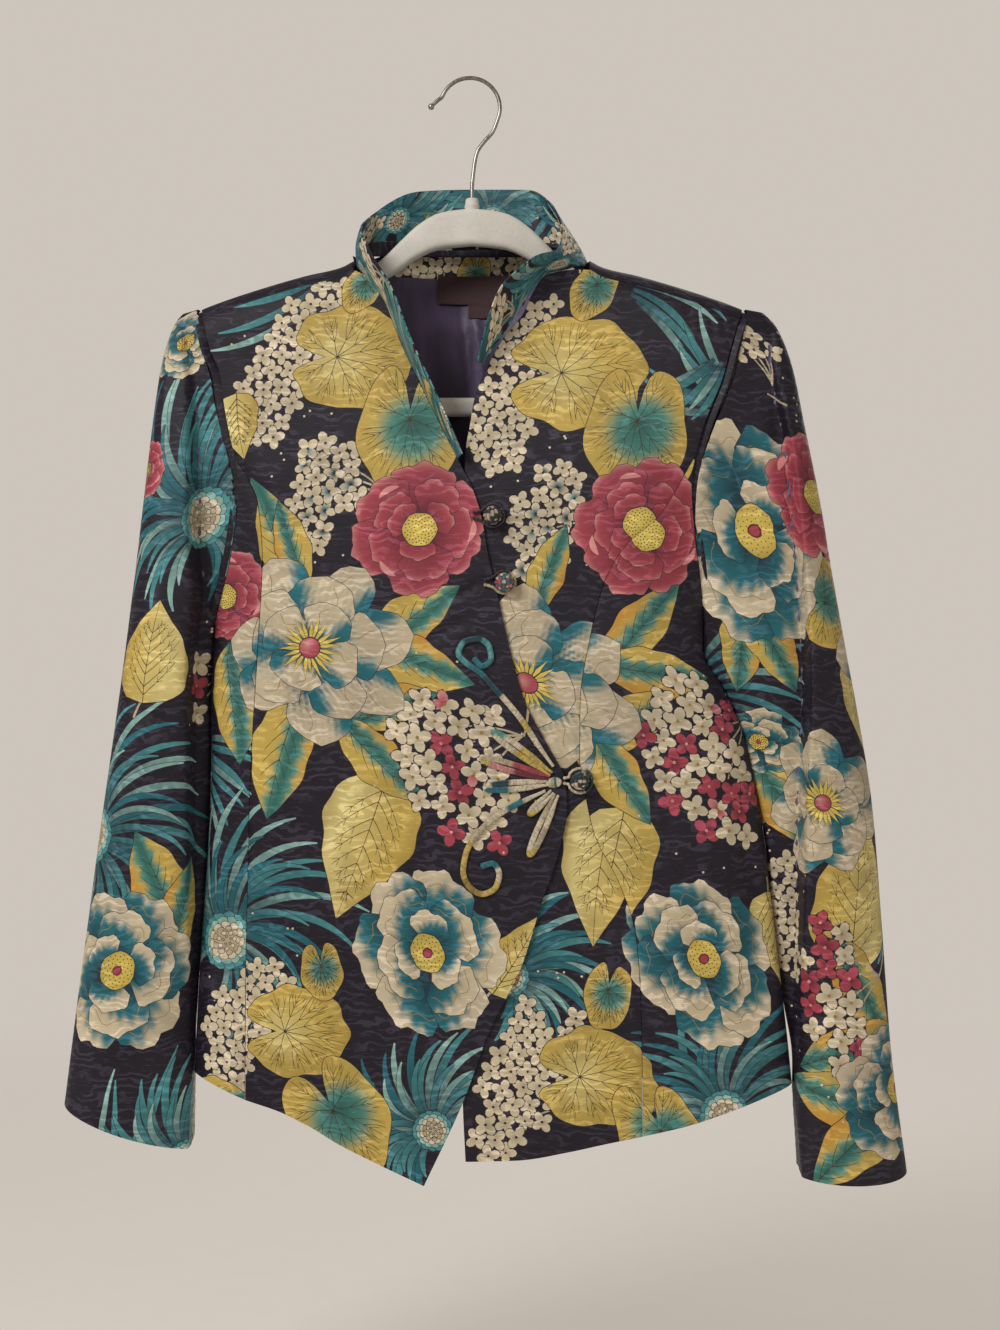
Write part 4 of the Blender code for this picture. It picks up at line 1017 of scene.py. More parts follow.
CREAM_PETALS = (("cream_shade", "cream"), ("cream_shade", "cream"), ("cream", "cream"))
CLUSTER_LOOKS = {
    "plain": ((1.0, CREAM_PETALS, "ink"),),
    "teal": (
        (0.5, CREAM_PETALS, "ink"), (0.5, CREAM_PETALS + (("teal", "cream"), ("teal_dark", "cream")), "ink")
    ),
    "crimson": (
        (0.66, CREAM_PETALS, "gold_dark"), (
            0.22, (("crimson", "crimson"), ("crimson_dark", "crimson")), "crimson_edge"
        ),
        (0.12, CREAM_PETALS + (("crimson", "crimson_edge"),), "gold_dark"),
    ),
}


def cluster(draw, size, ratio, looks, floret_radius=8.7, spacing=1.62):
    """A long head of florets on branching stems, with a few white specks about it."""
    depth = size * ratio
    node = np.array([0.12 * size, -depth - 13])
    stem = bent(node + (0.35 * size, -16), 2.6, np.hypot(0.35 * size, 16), -0.1, 8)
    draw.line(stem, 2.0, draw.tones["cream_shade"], 0.7)
    for reach in (-0.34, -0.08, 0.2, 0.42):
        tip = np.array([reach * size, -0.35 * depth])
        away = tip - node
        angle = math.atan2(away[1], away[0])
        draw.line(bent(node, angle - 0.25, np.hypot(*away), 0.5, 8), 1.7, draw.tones["cream_shade"], 0.6)
    places = hexagons((-size, -depth), (size, depth), floret_radius * spacing)
    places = places + draw.vary(-0.16, 0.16, places.shape) * floret_radius
    angle = np.arctan2(places[:, 1] / depth, places[:, 0] / size)
    phase = draw.vary(0, 6)
    reach = 1 + 0.13 * np.sin(3 * angle + phase) + 0.08 * np.sin(5 * angle + 2 * phase)
    places = places[np.hypot((places[:, 0]) / (size - 4), places[:, 1] / (depth - 2)) < reach]
    shares = np.array([look[0] for look in looks])
    for x, y in draw.random.permutation(places):
        _, petals, middle = looks[draw.random.choice(len(looks), p=shares / shares.sum())]
        radius = floret_radius * draw.vary(0.88, 1.08)
        floret(draw, x, y, radius, draw.vary(0, math.pi / 2), petals, middle)
    for _ in range(int(size / 4)):
        angle = draw.vary(0, 2 * math.pi)
        out = draw.vary(1.05, 1.3)
        x, y = (size + 6) * out * math.cos(angle), (depth + 6) * out * math.sin(angle)
        draw.dot(x, y, 0.95, draw.tones["cream"])


def hydrangea(draw, size, ratio):
    cluster(draw, size, ratio, CLUSTER_LOOKS["plain"])


def hydrangea_teal(draw, size, ratio):
    cluster(draw, size, ratio, CLUSTER_LOOKS["teal"])


def hydrangea_crimson(draw, size, ratio):
    cluster(draw, size, ratio, CLUSTER_LOOKS["crimson"], 10.5, 1.66)


def branching_veins(draw, hub, ends, width=0.55, forks=(0.38, 0.58, 0.76)):
    """Veins from a hub to the rim, each with short side veins that fork off it."""
    for end in ends:
        away = end - hub
        length, angle = np.hypot(*away), math.atan2(away[1], away[0])
        bend = draw.vary(-0.18, 0.18)
        line = bent(hub, angle - bend / 2, length * 0.97, bend, 9)
        draw.line(line, width, draw.tones["vein"], 0.45)
        for fork in forks:
            start = line[int(fork * 9)]
            for side in (-1, 1):
                reach = length * (1 - fork) * draw.vary(0.7, 0.95)
                twig = bent(start, angle + side * draw.vary(0.45, 0.65), reach, -side * 0.25, 5)
                draw.line(twig, FINE_LINE, draw.tones["vein"], 0.5)
                if reach > 9:
                    tip = bent(twig[3], angle + side * 0.1, reach * 0.42, 0.1 * side, 3)
                    draw.line(tip, FINE_LINE * 0.85, draw.tones["vein"], 0.6)


def notched_leaf(draw, size, ratio, notch, depth, waves, paint):
    """A round leaf with a wavy rim and a notch, veined from the notch's foot."""
    angles = round_line(72)
    away = np.abs((angles - notch + math.pi) % (2 * math.pi) - math.pi)
    phase = draw.vary(0, 6)
    rim = 1 + 0.035 * np.cos(waves * angles + phase) + 0.02 * np.cos((2 * waves - 3) * angles)
    rim = rim * (1 - depth * np.exp(-((away / 0.22) ** 2)))
    outline = polar(size * rim, angles) * (1, ratio)
    hub = spot(size * (1 - depth) * 0.55, notch) * (1, ratio)
    stem = bent(hub, notch + 0.2, size * 0.62, 0.8, 8)
    draw.line(stem, 2.0, draw.tones["cream_shade"], 0.8)
    draw.fill(outline, paint(hub))
    draw.fine(0, 0, size, 3.4)
    ends = [outline[int(k)] for k in np.linspace(6, 66, 10) + notch / (2 * math.pi) * 72 - 72]
    branching_veins(draw, hub, ends)


def begonia(draw, size, ratio):
    gold, pale, edge = draw.toned("gold"), draw.tones["gold_pale"], draw.tones["gold_dark"]

    def paint(hub):
        def shade(local):
            away = np.hypot(*(local - hub).T) / size
            grain = 0.12 * np.sin(local[:, 0] * 0.33) * np.sin(local[:, 1] * 0.27 + 1)
            return mixed(mixed(pale, gold, away * 1.5 + grain), edge, (away - 0.85) * 1.6 + grain)

        return shade

    notched_leaf(draw, size, ratio, math.pi, 0.62, 7, paint)


def lobed(draw, size, ratio):
    tones = draw.tones

    def paint(hub):
        def shade(local):
            away = np.hypot(*(local - hub).T) / size + 0.16 * np.sin(np.arctan2(*(local - hub).T) + 0.5)
            inner = mixed(tones["leaf_dark"], tones["leaf"], away * 2.2)
            outer = mixed(tones["gold"], tones["orange"], (away - 0.85) * 2.2)
            return mixed(inner, outer, smoothstep((away - 0.28) / 0.34))

        return shade

    notched_leaf(draw, size, ratio, 0.0, 0.72, 5, paint)


def leaf_profile(draw, size, ratio, table, waves):
    """A leaf's outline from its stem at -x to its tip at +x, with the two sides a little unlike."""
    share = np.linspace(0, 1, 26)
    profile = monotone([row[0] for row in table], [row[1] for row in table])(share)
    sides = []
    for side in (1, -1):
        phase = draw.vary(0, 6)
        ripple = 1 + waves * np.sin(share * 21 + phase) * np.sin(math.pi * share)
        sides.append(side * size * ratio * profile * ripple * draw.vary(0.92, 1.05))
    x = size * (2 * share - 1)
    bow = draw.vary(-0.08, 0.08) * size * np.sin(math.pi * share)
    upper, lower = stacked(x, sides[0] + bow), stacked(x, sides[1] + bow)
    return np.concatenate([upper, lower[-2:0:-1]]), stacked(x, bow), sides


def pinnate_veins(draw, spine, sides, pairs, slant, twigs):
    """A midrib and its side veins, with fine twigs between them where the leaf is broad."""
    draw.line(spine, 0.7, draw.tones["vein"], 0.4)
    reach = spine[-1, 0] - spine[0, 0]
    for number in range(pairs):
        k = int(2 + number * 21 / pairs)
        for side, profile in ((1, sides[0]), (-1, -sides[1])):
            length = abs(profile[min(k + 4, 25)]) * 1.08
            if length < 3:
                continue
            line = bent(spine[k], side * slant, length, -side * 0.35, 7)
            draw.line(line, FINE_LINE * 1.4, draw.tones["vein"], 0.5)
            if not twigs:
                continue
            for share in (3, 5):
                for turn in (-0.55, 0.5):
                    twig = bent(line[share], side * (slant - 0.2) + turn, reach * 0.055, 0.2, 3)
                    draw.line(twig, FINE_LINE * 1.05, draw.tones["vein"], 0.6)


HEART_SIZE, HEART_RATIO = 0.54, 0.98  # a heart leaf's own size as a share of its place in the table
HEART_PROFILE = (
    (0, 0.0), (0.02, 0.42), (0.08, 0.72), (0.2, 0.97), (0.33, 1.0), (0.5, 0.9), (0.7, 0.6), (0.86, 0.28),
    (0.95, 0.1), (1, 0),
)
LEAF_PROFILE = ((0, 0.0), (0.12, 0.42), (0.3, 0.84), (0.5, 1.0), (0.7, 0.82), (0.87, 0.42), (1, 0))


def heart(draw, size, ratio):
    size, ratio = HEART_SIZE * size, HEART_RATIO * ratio
    outline, spine, sides = leaf_profile(draw, size, ratio * 0.92, HEART_PROFILE, 0.05)
    tones = draw.tones
    half = size * ratio

    def paint(local):
        side = local[:, 1] / half
        grain = 0.10 * np.sin(local[:, 0] * 0.25 + 2) * np.sin(local[:, 1] * 0.3)
        body = mixed(tones["gold_pale"], tones["gold"], 0.55 + 0.9 * side + grain)
        return mixed(body, tones["gold_dark"], (np.abs(side) - 0.62) * 1.6 + grain)

    draw.line(bent((-size * 1.3, size * 0.1), 0.0, size * 0.34, -0.3, 5), 1.9, tones["cream_shade"], 0.9)
    draw.fill(outline, paint)
    draw.fine(0, 0, size * 0.95, 3.6)
    pinnate_veins(draw, spine, sides, 8, 0.85, True)


def leaf(draw, size, ratio):
    outline, spine, sides = leaf_profile(draw, size, ratio * 0.85, LEAF_PROFILE, 0.06)
    tones = draw.tones
    half = size * ratio * 0.85
    lean = draw.random.choice((-1, 1))

    def paint(local):
        across = np.abs(local[:, 1] / half - 0.1 * lean)
        ripple = 0.07 * np.sin(local[:, 0] * 0.45) + 0.04 * np.sin(local[:, 0] * 1.1 + 1)
        green = mixed(tones["leaf_dark"], tones["leaf"], across * 2.6)
        gold = mixed(tones["gold"], tones["orange"], (local[:, 1] * lean / half - 0.35) * 1.5)
        return mixed(green, gold, smoothstep((across + ripple - 0.22) / 0.3))

    draw.fill(outline, paint)
    draw.fine(0, 0, size * 0.85, 2.6)
    pinnate_veins(draw, spine, sides, 7, 0.7, False)


def fan_petal(base, angle, length, spread, random, waves=3):
    """A broad petal from its base, with a wavy rim."""
    phi = np.linspace(-1, 1, 19)
    phase = random.uniform(0, 6)
    rim = length * (1 - 0.26 * np.abs(phi) ** 3.4) * (1 + 0.035 * np.sin(waves * math.pi * phi + phase))
    rim = rim * (1 + 0.018 * np.sin((2 * waves + 3) * phi * 2 + phase))
    outer = polar(rim, angle + phi * spread)
    sides = ((0.42, 0.86), (0.2, 0.6), (0.2, -0.6), (0.42, -0.86))
    shoulders = [spot(length * share, angle + spread * wide) for share, wide in sides]
    return np.concatenate([outer, shoulders]) + base


def petal_ring(draw, count, length, spread, start, paint_for, shape, contour=None):
    """Petals round the middle, each over the one before."""
    for number in range(count):
        angle = start + number * 2 * math.pi / count + draw.vary(-0.12, 0.12)
        reach = length * draw.vary(0.9, 1.06)
        base = spot(length * 0.05, angle)
        petal = fan_petal(base, angle, reach, spread * draw.vary(0.9, 1.1), draw.random)
        draw.fill(petal * shape, paint_for(base, angle, reach, spread), 0.42)
        if contour:
            phi = np.linspace(-0.82, 0.82, 13)
            wobble = 0.80 + 0.05 * np.sin(phi * 9 + draw.vary(0, 6)) - 0.2 * np.abs(phi) ** 3
            line = (polar(reach * wobble, angle + phi * spread) + base) * shape
            draw.line(line, 0.5, draw.tones[contour], 1.0)


def on_petal(away, angle, length):
    """How far out along a petal points lie, and how far they are turned from its middle line."""
    turn = (np.arctan2(away[:, 1], away[:, 0]) - angle + math.pi) % (2 * math.pi) - math.pi
    return np.hypot(*away.T) / length, turn


def stamens(draw, radius, shape, spots, core):
    """The yellow disc of a flower, dotted all over."""
    around = round_line(20)
    tones = draw.tones

    def paint(local):
        return mixed(tones["disc"], tones["gold_dark"], (np.hypot(*local.T) / radius) ** 3 * 0.5)

    draw.fill(polar(np.full(20, radius) * (1 + 0.03 * np.cos(6 * around)), around) * shape, paint, 0.6)
    golden = math.pi * (3 - math.sqrt(5))
    for number in range(3, spots):
        out = radius * 0.93 * math.sqrt(number / spots)
        x, y = out * math.cos(number * golden) * shape[0], out * math.sin(number * golden) * shape[1]
        draw.dot(x, y, 0.55, tones["vein"], 5)
    if core:
        draw.dot(0, 0, radius * 0.27, tones["crimson_dark"], 10)
        draw.dot(0, 0, radius * 0.2, tones["crimson"], 10)


def peony(draw, size, ratio):
    tones = draw.tones
    shape = (1, ratio)

    def paint_for(base, angle, length, spread):
        def paint(local):
            out, turn = on_petal(local / shape - base, angle, length)
            side = np.abs(turn) / spread
            streak = 0.07 * np.sin(turn * 34 + angle * 5)
            body = mixed(tones["crimson_dark"], tones["crimson"], (out - 0.30) * 1.6 + streak)
            rim = smoothstep((out + 0.1 * side**2 - 0.88) / 0.17) * 0.75
            return mixed(body, tones["crimson_edge"], rim)

        return paint

    start = draw.vary(0, 6)
    draw.fine(0, 0, size * 0.98, 2.3)
    petal_ring(draw, 6, size, 0.70, start, paint_for, shape)
    petal_ring(draw, 5, size * 0.76, 0.74, start + 0.5, paint_for, shape)
    petal_ring(draw, 3, size * 0.5, 0.86, start + 1.1, paint_for, shape)
    for angle in start + np.array([0.3, 2.6, 4.4]):
        curl = bent(spot(size * 0.78, angle), angle + 1.2, size * 0.36, 0.9, 8)
        curl = ribbon(curl, size * 0.10 * np.sin(np.linspace(0.1, 3.04, 9)))
        draw.shapes.append((curl * shape, tones["crimson_edge"] * 1.12))
    stamens(draw, size * 0.27, shape, 70, False)


def rose(draw, size, ratio):
    """A ruffled cream flower, shaded teal in its depths."""
    tones = draw.tones
    shape = (1, ratio)

    def paint_for(base, angle, length, spread):
        covered = 0.76 if length > 0.85 * size else 0.66
        covered = covered - draw.vary(-0.06, 0.12)
        lean = draw.random.choice((-0.30, 0.30))

        def paint(local):
            out, turn = on_petal(local / shape - base, angle, length)
            streak = 0.05 * np.sin(turn * 26 + angle * 3)
            depth = covered + lean * np.clip(turn / spread, -1, 1)
            deep = mixed(tones["teal_dark"], tones["teal"], (out - depth + 0.4) * 2.2)
            pale = mixed(tones["cream_shade"], tones["cream"], (out - 0.5) * 2.2 + streak)
            return mixed(deep, pale, smoothstep((out + streak - depth) / 0.24))

        return paint

    start = draw.vary(0, 6)
    draw.fine(0, 0, size * 0.98, 2.3)
    petal_ring(draw, 6, size, 0.70, start, paint_for, shape, "gold_dark")
    petal_ring(draw, 4, size * 0.76, 0.84, start + 0.5, paint_for, shape, "gold_dark")
    petal_ring(draw, 3, size * 0.48, 0.9, start + 1.2, paint_for, shape)
    stamens(draw, size * 0.24, shape, 54, True)


def magnolia(draw, size, ratio):
    """Long cream petals shaded teal along one side, round a red ball on a star of yellow rays."""
    tones = draw.tones
    shape = (1, ratio)
    start = draw.vary(0, 6)
    draw.fine(0, 0, size * 0.97, 2.5)
    rings = ((7, 1.0, 0.30, 0.0, 0.66), (5, 0.80, 0.31, 0.42, 0.60), (4, 0.52, 0.25, 1.0, 0.5))
    for count, length, width, shift, base in rings:
        for number in range(count):
            angle = start + shift + number * 2 * math.pi / count + draw.vary(-0.12, 0.12)
            reach = size * length * draw.vary(0.9, 1.04)
            broad = size * width * draw.vary(0.9, 1.15)
            share = np.linspace(0, 1, 15)
            side = np.sin(math.pi * share**1.45) ** 0.62
            phase = draw.vary(0, 6)
            upper = broad * side * (1 + 0.07 * np.sin(share * 17 + phase))
            lower = -broad * side * (1 + 0.07 * np.sin(share * 15 + phase + 2))
            x = reach * (0.06 + 0.94 * share)
            petal = np.concatenate([stacked(x, upper), stacked(x, lower)[-2:0:-1]])
            shaded = draw.random.choice((-1, 1))

            def paint(local, angle=angle, reach=reach, broad=broad, shaded=shaded, base=base):
                own = turned(local / shape, -angle)
                out, across = own[:, 0] / reach, own[:, 1] / broad * shaded
                streak = 0.1 * np.sin(own[:, 1] * 1.3 + angle * 4)
                dark = smoothstep((across + streak + 0.20 - 0.5 * out) / 0.5)
                dark = dark * smoothstep((0.95 - out) / 0.16)
                dark = np.maximum(dark, smoothstep((base + streak - out) / 0.22))
                deep = mixed(tones["teal_dark"], tones["teal"], out * 1.4)
                return mixed(mixed(tones["cream"], tones["cream_shade"], 0.5 + 2 * streak), deep, dark)

            draw.fill(turned(petal, angle) * shape, paint, 0.42)
            line = stacked(x[3:13], -shaded * broad * (0.35 + 0.12 * np.sin(share[3:13] * 14 + phase)))
            draw.line(turned(line, angle) * shape, 0.5, tones["gold_dark"], 1.0)
    for number in range(22):
        angle = start + number * 2 * math.pi / 22 + draw.vary(-0.06, 0.06)
        reach = size * draw.vary(0.26, 0.36)
        ray = np.array([(0.05 * size, 0), (reach * 0.55, 1.5), (reach, 0), (reach * 0.55, -1.5)])
        draw.fill(turned(ray, angle) * shape, tones["disc"] * draw.vary(0.85, 1.05), 0.4)
    ball = size * 0.1

    def ball_paint(local):
        away = np.hypot(local[:, 0] + ball * 0.3, local[:, 1] - ball * 0.3) / ball
        return mixed(tones["crimson_edge"], tones["crimson"], away)

    draw.fill(ring_of(14, ball), ball_paint, 0.7)


def blade(draw, start, angle, length, bend, width, looks):
    """A long curved petal, darker at its root."""
    line = bent(np.asarray(start, float), angle, length, bend, 12)
    share = np.linspace(0, 1, 13)
    widths = width * np.clip(np.sin(math.pi * (0.12 + 0.84 * share)) ** 0.8, 0.1, 1)
    root, tip = looks
    origin = line[0]

    def paint(local):
        grain = 0.12 * np.sin(local[:, 0] * 0.9)
        return mixed(root, tip, np.hypot(*(local - origin).T) / length * 1.15 + grain)

    draw.fill(ribbon(line, widths), paint, 0.4)


def mum(draw, size, ratio):
    """A spider chrysanthemum: long curling petals and a head of close small ones."""
    tones = draw.tones
    head = np.array([-0.2 * size, 0.0])
    radius = 0.30 * size
    looks = (("teal_dark", "mum"), ("mum_dark", "mum"), ("mum_dark", "teal"), ("teal_dark", "mum_pale"))
    for layer, (reach, amount) in enumerate(((1.0, 30), (0.72, 22))):
        for number in range(amount):
            turn = -2.75 + 5.5 * (number + draw.vary(-0.3, 0.3)) / (amount - 1)
            length = 1.65 * size * reach * (0.45 + 0.55 * math.cos(turn / 2))
            length = length * draw.vary(0.85, 1.1)
            start = head + spot(radius * 0.55, turn)
            pair = looks[draw.random.integers(len(looks))]
            bend = 1.5 * (1 if turn > 1.3 else -1) * draw.vary(0.7, 1.2)
            blade(draw, start, turn - bend * 0.4, length, bend, 5.6 - layer, [tones[name] for name in pair])
    for share, name in ((0.85, "mum_dark"), (0.6, "cream_shade")):
        draw.fill(ring_of(16, radius * share) + head, tones[name], 0.4)
    for ring in range(6):
        out = radius * (1 - ring * 0.165)
        petals = 15 - 2 * ring
        for number in range(petals):
            angle = (number + 0.5 * (ring % 2)) * 2 * math.pi / petals
            base = head + spot(out * 0.55, angle)
            shape = fan_petal(base, angle, out * 0.52, 0.66, draw.random, 1)
            look = tones[("mum", "mum_pale", "cream", "cream_shade", "cream", "cream_shade")[ring]]
            draw.fill(shape, look * draw.vary(0.85, 1.08), 0.38)
    draw.fine(*head, radius, 3.0)


def arcs(draw, size, ratio):
    """A spray of curved blades and pale stems."""
    tones = draw.tones
    for number in range(7):
        angle = -0.5 + 0.17 * number + draw.vary(-0.05, 0.05)
        length = 2 * size * draw.vary(0.7, 1.0)
        looks = (tones["mum_dark"], tones["mum"]) if number % 3 else (tones["teal_dark"], tones["mum_pale"])
        start = (-size + draw.vary(-3, 3), (number - 3) * size * ratio * 0.16)
        blade(draw, start, angle, length, draw.vary(-0.9, -0.4), 5.2, looks)


MOTIFS = {
    "hydrangea": hydrangea, "hydrangea_teal": hydrangea_teal, "hydrangea_crimson": hydrangea_crimson,
    "begonia": begonia, "lobed": lobed, "heart": heart, "leaf": leaf, "peony": peony, "rose": rose,
    "magnolia": magnolia, "mum": mum, "arcs": arcs,
}
# Painting order: what lies behind comes first.
LAYERS = (
    "arcs", "mum", "hydrangea", "hydrangea_teal", "heart", "begonia", "lobed", "leaf",
    "hydrangea_crimson", "rose", "peony", "magnolia",
)
LONGEST_EDGE = 6.0  # of a printed outline, so that it follows the cloth's curves


def simplified(line, tolerance):
    """The closed line without points that lie within tolerance of their neighbours' chord."""
    for odd in (1, 0, 1, 0, 1, 0):
        if len(line) < 7:
            return line
        before, after = np.roll(line, 1, axis=0), np.roll(line, -1, axis=0)
        run = after - before
        away = np.abs(run[:, 0] * (line[:, 1] - before[:, 1]) - run[:, 1] * (line[:, 0] - before[:, 0]))
        away /= np.maximum(np.linalg.norm(run, axis=1), 1e-9)
        order = np.arange(len(line))
        spare = (away < tolerance) & (order % 2 == odd) & (order < len(line) - 1)
        spare &= np.linalg.norm(run, axis=1) > tolerance * 4
        if not spare.any():
            continue
        line = line[~spare]
    return line


GRID_CELL = 0.5  # of the grid on which the print's shapes are laid to find what stays in sight


def in_sight(outline, parts):
    """The parts that show at all, each with a note of which of its edges do. Their numbers are laid one over
    another on a grid that ends at the outline."""
    low, high = outline.min(axis=0), outline.max(axis=0)
    size = np.ceil((high - low) / GRID_CELL).astype(int) + 1
    grid = np.full(size[::-1], -1)

    def covered(line):
        first = np.clip(np.floor((line.min(axis=0) - low) / GRID_CELL).astype(int), 0, size - 1)
        last = np.clip(np.ceil((line.max(axis=0) - low) / GRID_CELL).astype(int) + 1, 1, size)
        x = low[0] + (np.arange(first[0], last[0]) + 0.5) * GRID_CELL
        y = low[1] + (np.arange(first[1], last[1]) + 0.5) * GRID_CELL
        window = grid[first[1] : last[1], first[0] : last[0]]
        (x0, y0), (x1, y1) = line.T, np.roll(line, -1, axis=0).T
        crosses = (y0 > y[:, None]) != (y1 > y[:, None])
        at = x0 + (y[:, None] - y0) * (x1 - x0) / np.where(y1 == y0, 1, y1 - y0)
        rows, edges = np.nonzero(crosses)
        columns = np.searchsorted(x, at[rows, edges])
        flips = np.zeros((len(y), len(x) + 1), int)
        np.add.at(flips, (rows, columns), 1)
        mask = np.cumsum(flips, axis=1)[:, :-1] % 2 == 1
        return window, mask

    for number, (line, _, _) in enumerate(parts):
        window, mask = covered(line)
        window[mask] = number
        if not mask.any():
            column, row = np.clip(((line.mean(axis=0) - low) / GRID_CELL).astype(int), 0, size - 1)
            grid[row, column] = number
    window, mask = covered(outline)
    window[~mask] = len(parts)
    kept = np.unique(grid)
    kept = kept[(kept >= 0) & (kept < len(parts))]
    found = []
    for number in kept:
        line, paint, frame_of = parts[number]
        ends = np.roll(line, -1, axis=0)
        seen = np.zeros(len(line), bool)
        for share in (0.02, 0.35, 0.65, 0.98):
            for step in ((0.35, 0), (-0.35, 0), (0, 0.35), (0, -0.35)):
                cells = ((line + (ends - line) * share + step - low) / GRID_CELL).astype(int)
                held = np.clip(cells, 0, size - 1)
                seen |= np.all(cells == held, axis=1) & (grid[held[:, 1], held[:, 0]] <= number)
        found.append((line, paint, frame_of, seen))
    return found


def print_on(outline, placed, tones, tolerance=0.12):
    """The parts, fine spots and ground of a print. placed has (motif, centre, size, ratio, degrees, seed)."""
    low, high = outline.min(axis=0), outline.max(axis=0)
    parts, spots = [], []
    for name, centre, size, ratio, degrees, seed in sorted(placed, key=lambda row: LAYERS.index(row[0])):
        centre = np.asarray(centre, float)
        reach = size * 1.35 + 12
        if np.any(centre < low - reach) or np.any(centre > high + reach):
            continue
        draw = Drawing(tones, seed * 31 + LAYERS.index(name))
        MOTIFS[name](draw, size, ratio)
        turn = math.radians(degrees)
        for shape, paint in draw.shapes:
            shape = simplified(shape, tolerance)
            closed = np.concatenate([shape, shape[:1]])
            line = dense(closed, LONGEST_EDGE)[:-1]
            places = turned(line, turn) + centre
            if np.any(places.max(axis=0) < low) or np.any(places.min(axis=0) > high):
                continue
            parts.append((places, paint, (centre, turn)))
        for middle, radius, spacing in draw.spots:
            spots.append((turned(middle[None], turn)[0] + centre, radius, spacing))
    return in_sight(outline, parts), spots, tones["ground"]


def repeated(columns, heights, offset):
    """The print's repeat laid side by side on the flat, for cloth that no table places."""
    placed = []
    for name, x, z, size, ratio, degrees, seed in PRINT_LEFT:
        if not -12 < x < REPEAT - 12:
            continue
        for step in columns:
            place = (x + step * REPEAT + offset[0], z + offset[1])
            if heights[0] < place[1] < heights[1]:
                placed.append((name, place, size, ratio, degrees, seed + 40 + step))
    return placed


# Settings


def tint(name, description, code):
    """A colour setting whose default is six hex digits."""
    default = tuple(int(code[i : i + 2], 16) / 255 for i in (0, 2, 4))
    return bpy.props.FloatVectorProperty(
        name=name, description=description, default=default, subtype="COLOR_GAMMA", size=3, min=0, max=1
    )


def measure(name, description, default, **more):
    return bpy.props.FloatProperty(name=name, description=description, default=default, **more)


class JacketColours(bpy.types.PropertyGroup):
    ground: tint("Ground", "Satin between the flowers", "1a131f")
    ink: tint("Ink", "Dark line round each printed shape", "241c26")
    vein: tint("Vein", "Veins of the gold leaves", "3d321b")
    gold: tint("Gold", "Leaves", "c3a650")
    gold_pale: tint("Pale gold", "Middle of the leaves", "d8c680")
    gold_dark: tint("Dark gold", "Leaf rims and petal lines", "957a35")
    orange: tint("Orange", "Rims of the lobed leaves", "c68f37")
    leaf: tint("Green", "Leaf midribs", "4f8f80")
    leaf_dark: tint("Dark green", "Leaf hearts", "2c6258")
    crimson: tint("Crimson", "Peonies", "a6414c")
    crimson_dark: tint("Dark crimson", "Depths of the peonies", "6a2230")
    crimson_edge: tint("Pink", "Rims of the peonies", "d08a84")
    cream: tint("Cream", "Florets and roses", "d2c2a2")
    cream_shade: tint("Shaded cream", "Hearts of the florets and stems", "b3a384")
    teal: tint("Teal", "Shading of the cream petals", "1f6b74")
    teal_dark: tint("Dark teal", "Depths of the cream petals", "0f3d47")
    mum: tint("Blue-green", "Chrysanthemums", "4a8d8e")
    mum_dark: tint("Dark blue-green", "Roots of their petals", "1d4f58")
    mum_pale: tint("Pale blue-green", "Tips of their petals", "8db4a8")
    disc: tint("Yellow", "Flower discs and rays", "dac05c")
    lining: tint("Lining", "Satin inside the body", "4b3b5c")
    label: tint("Label", "Bare woven tape at the neck", "3b1b1f")
    label_thread: tint("Label thread", "Stitches round the label", "5d3034")
    hanger: tint("Hanger", "Flocked hanger", "d9d3c6")
    hook: tint("Hook", "Brushed wire", "a39d94")
    floor: tint("Floor", "Studio floor", "cbc4bb")
    air: tint("Air", "Studio light all round", "cdc5bc")


class JacketSizes(bpy.types.PropertyGroup):
    grid: measure("Cloth grid", "Distance between free points of the cloth, in millimetres", 4.4, min=2)
    swirl: measure("Swirl", "Width of the jacquard's swirling strokes, in millimetres", 5.5, min=1)
    dash: measure("Dash", "Length of the jacquard's short weft dashes, in millimetres", 12.0, min=1)
    weft: measure("Weft", "Distance between weft threads, in millimetres", 0.5, min=0.1)
    stitch: measure("Stitch", "Length of a stitch with its gap", 0.0024, unit="LENGTH", min=0.001)
    thread: measure("Thread", "Thickness of the stitching thread", 0.00045, unit="LENGTH", min=0.0001)
    wire: measure("Hook wire", "Radius of the hook's wire", WIRE_RADIUS * MM, unit="LENGTH", min=0.0005)


class JacketStudio(bpy.types.PropertyGroup):
    distance: measure("Camera distance", "From the camera to the jacket's plane", 1.6, unit="LENGTH")
    centre: bpy.props.FloatVectorProperty(
        name="Centre", description="Middle of the picture in the jacket's plane",
        default=(0.021, 0.0, -0.43875), subtype="TRANSLATION",
    )
    height: measure("Framed height", "Height of the picture in the jacket's plane", 0.9975, unit="LENGTH")
    floor_drop: measure("Floor", "From the hook down to the floor", 1.04, unit="LENGTH")
    key: measure("Key light", "Power of the key light", 32.0, unit="POWER")
    fill: measure("Fill light", "Power of the fill light", 6.0, unit="POWER")
    rear: measure("Rear light", "Power of the light behind", 9.0, unit="POWER")
    air: measure("Air", "Strength of the light all round", 0.46, min=0)


def tones_of(context):
    colours = context.scene.jacket_colours
    return {name: linear(getattr(colours, name)) for name in JacketColours.__annotations__}


# Materials


def new_look(name):
    """A material with a fresh shader. One that pieces already wear is rebuilt in place."""
    look = bpy.data.materials.get(name) or bpy.data.materials.new(name)
    look.use_nodes = True
    tree = look.node_tree
    tree.nodes.clear()
    shader = tree.nodes.new("ShaderNodeBsdfPrincipled")
    tree.links.new(shader.outputs[0], tree.nodes.new("ShaderNodeOutputMaterial").inputs[0])
    return look, tree, shader


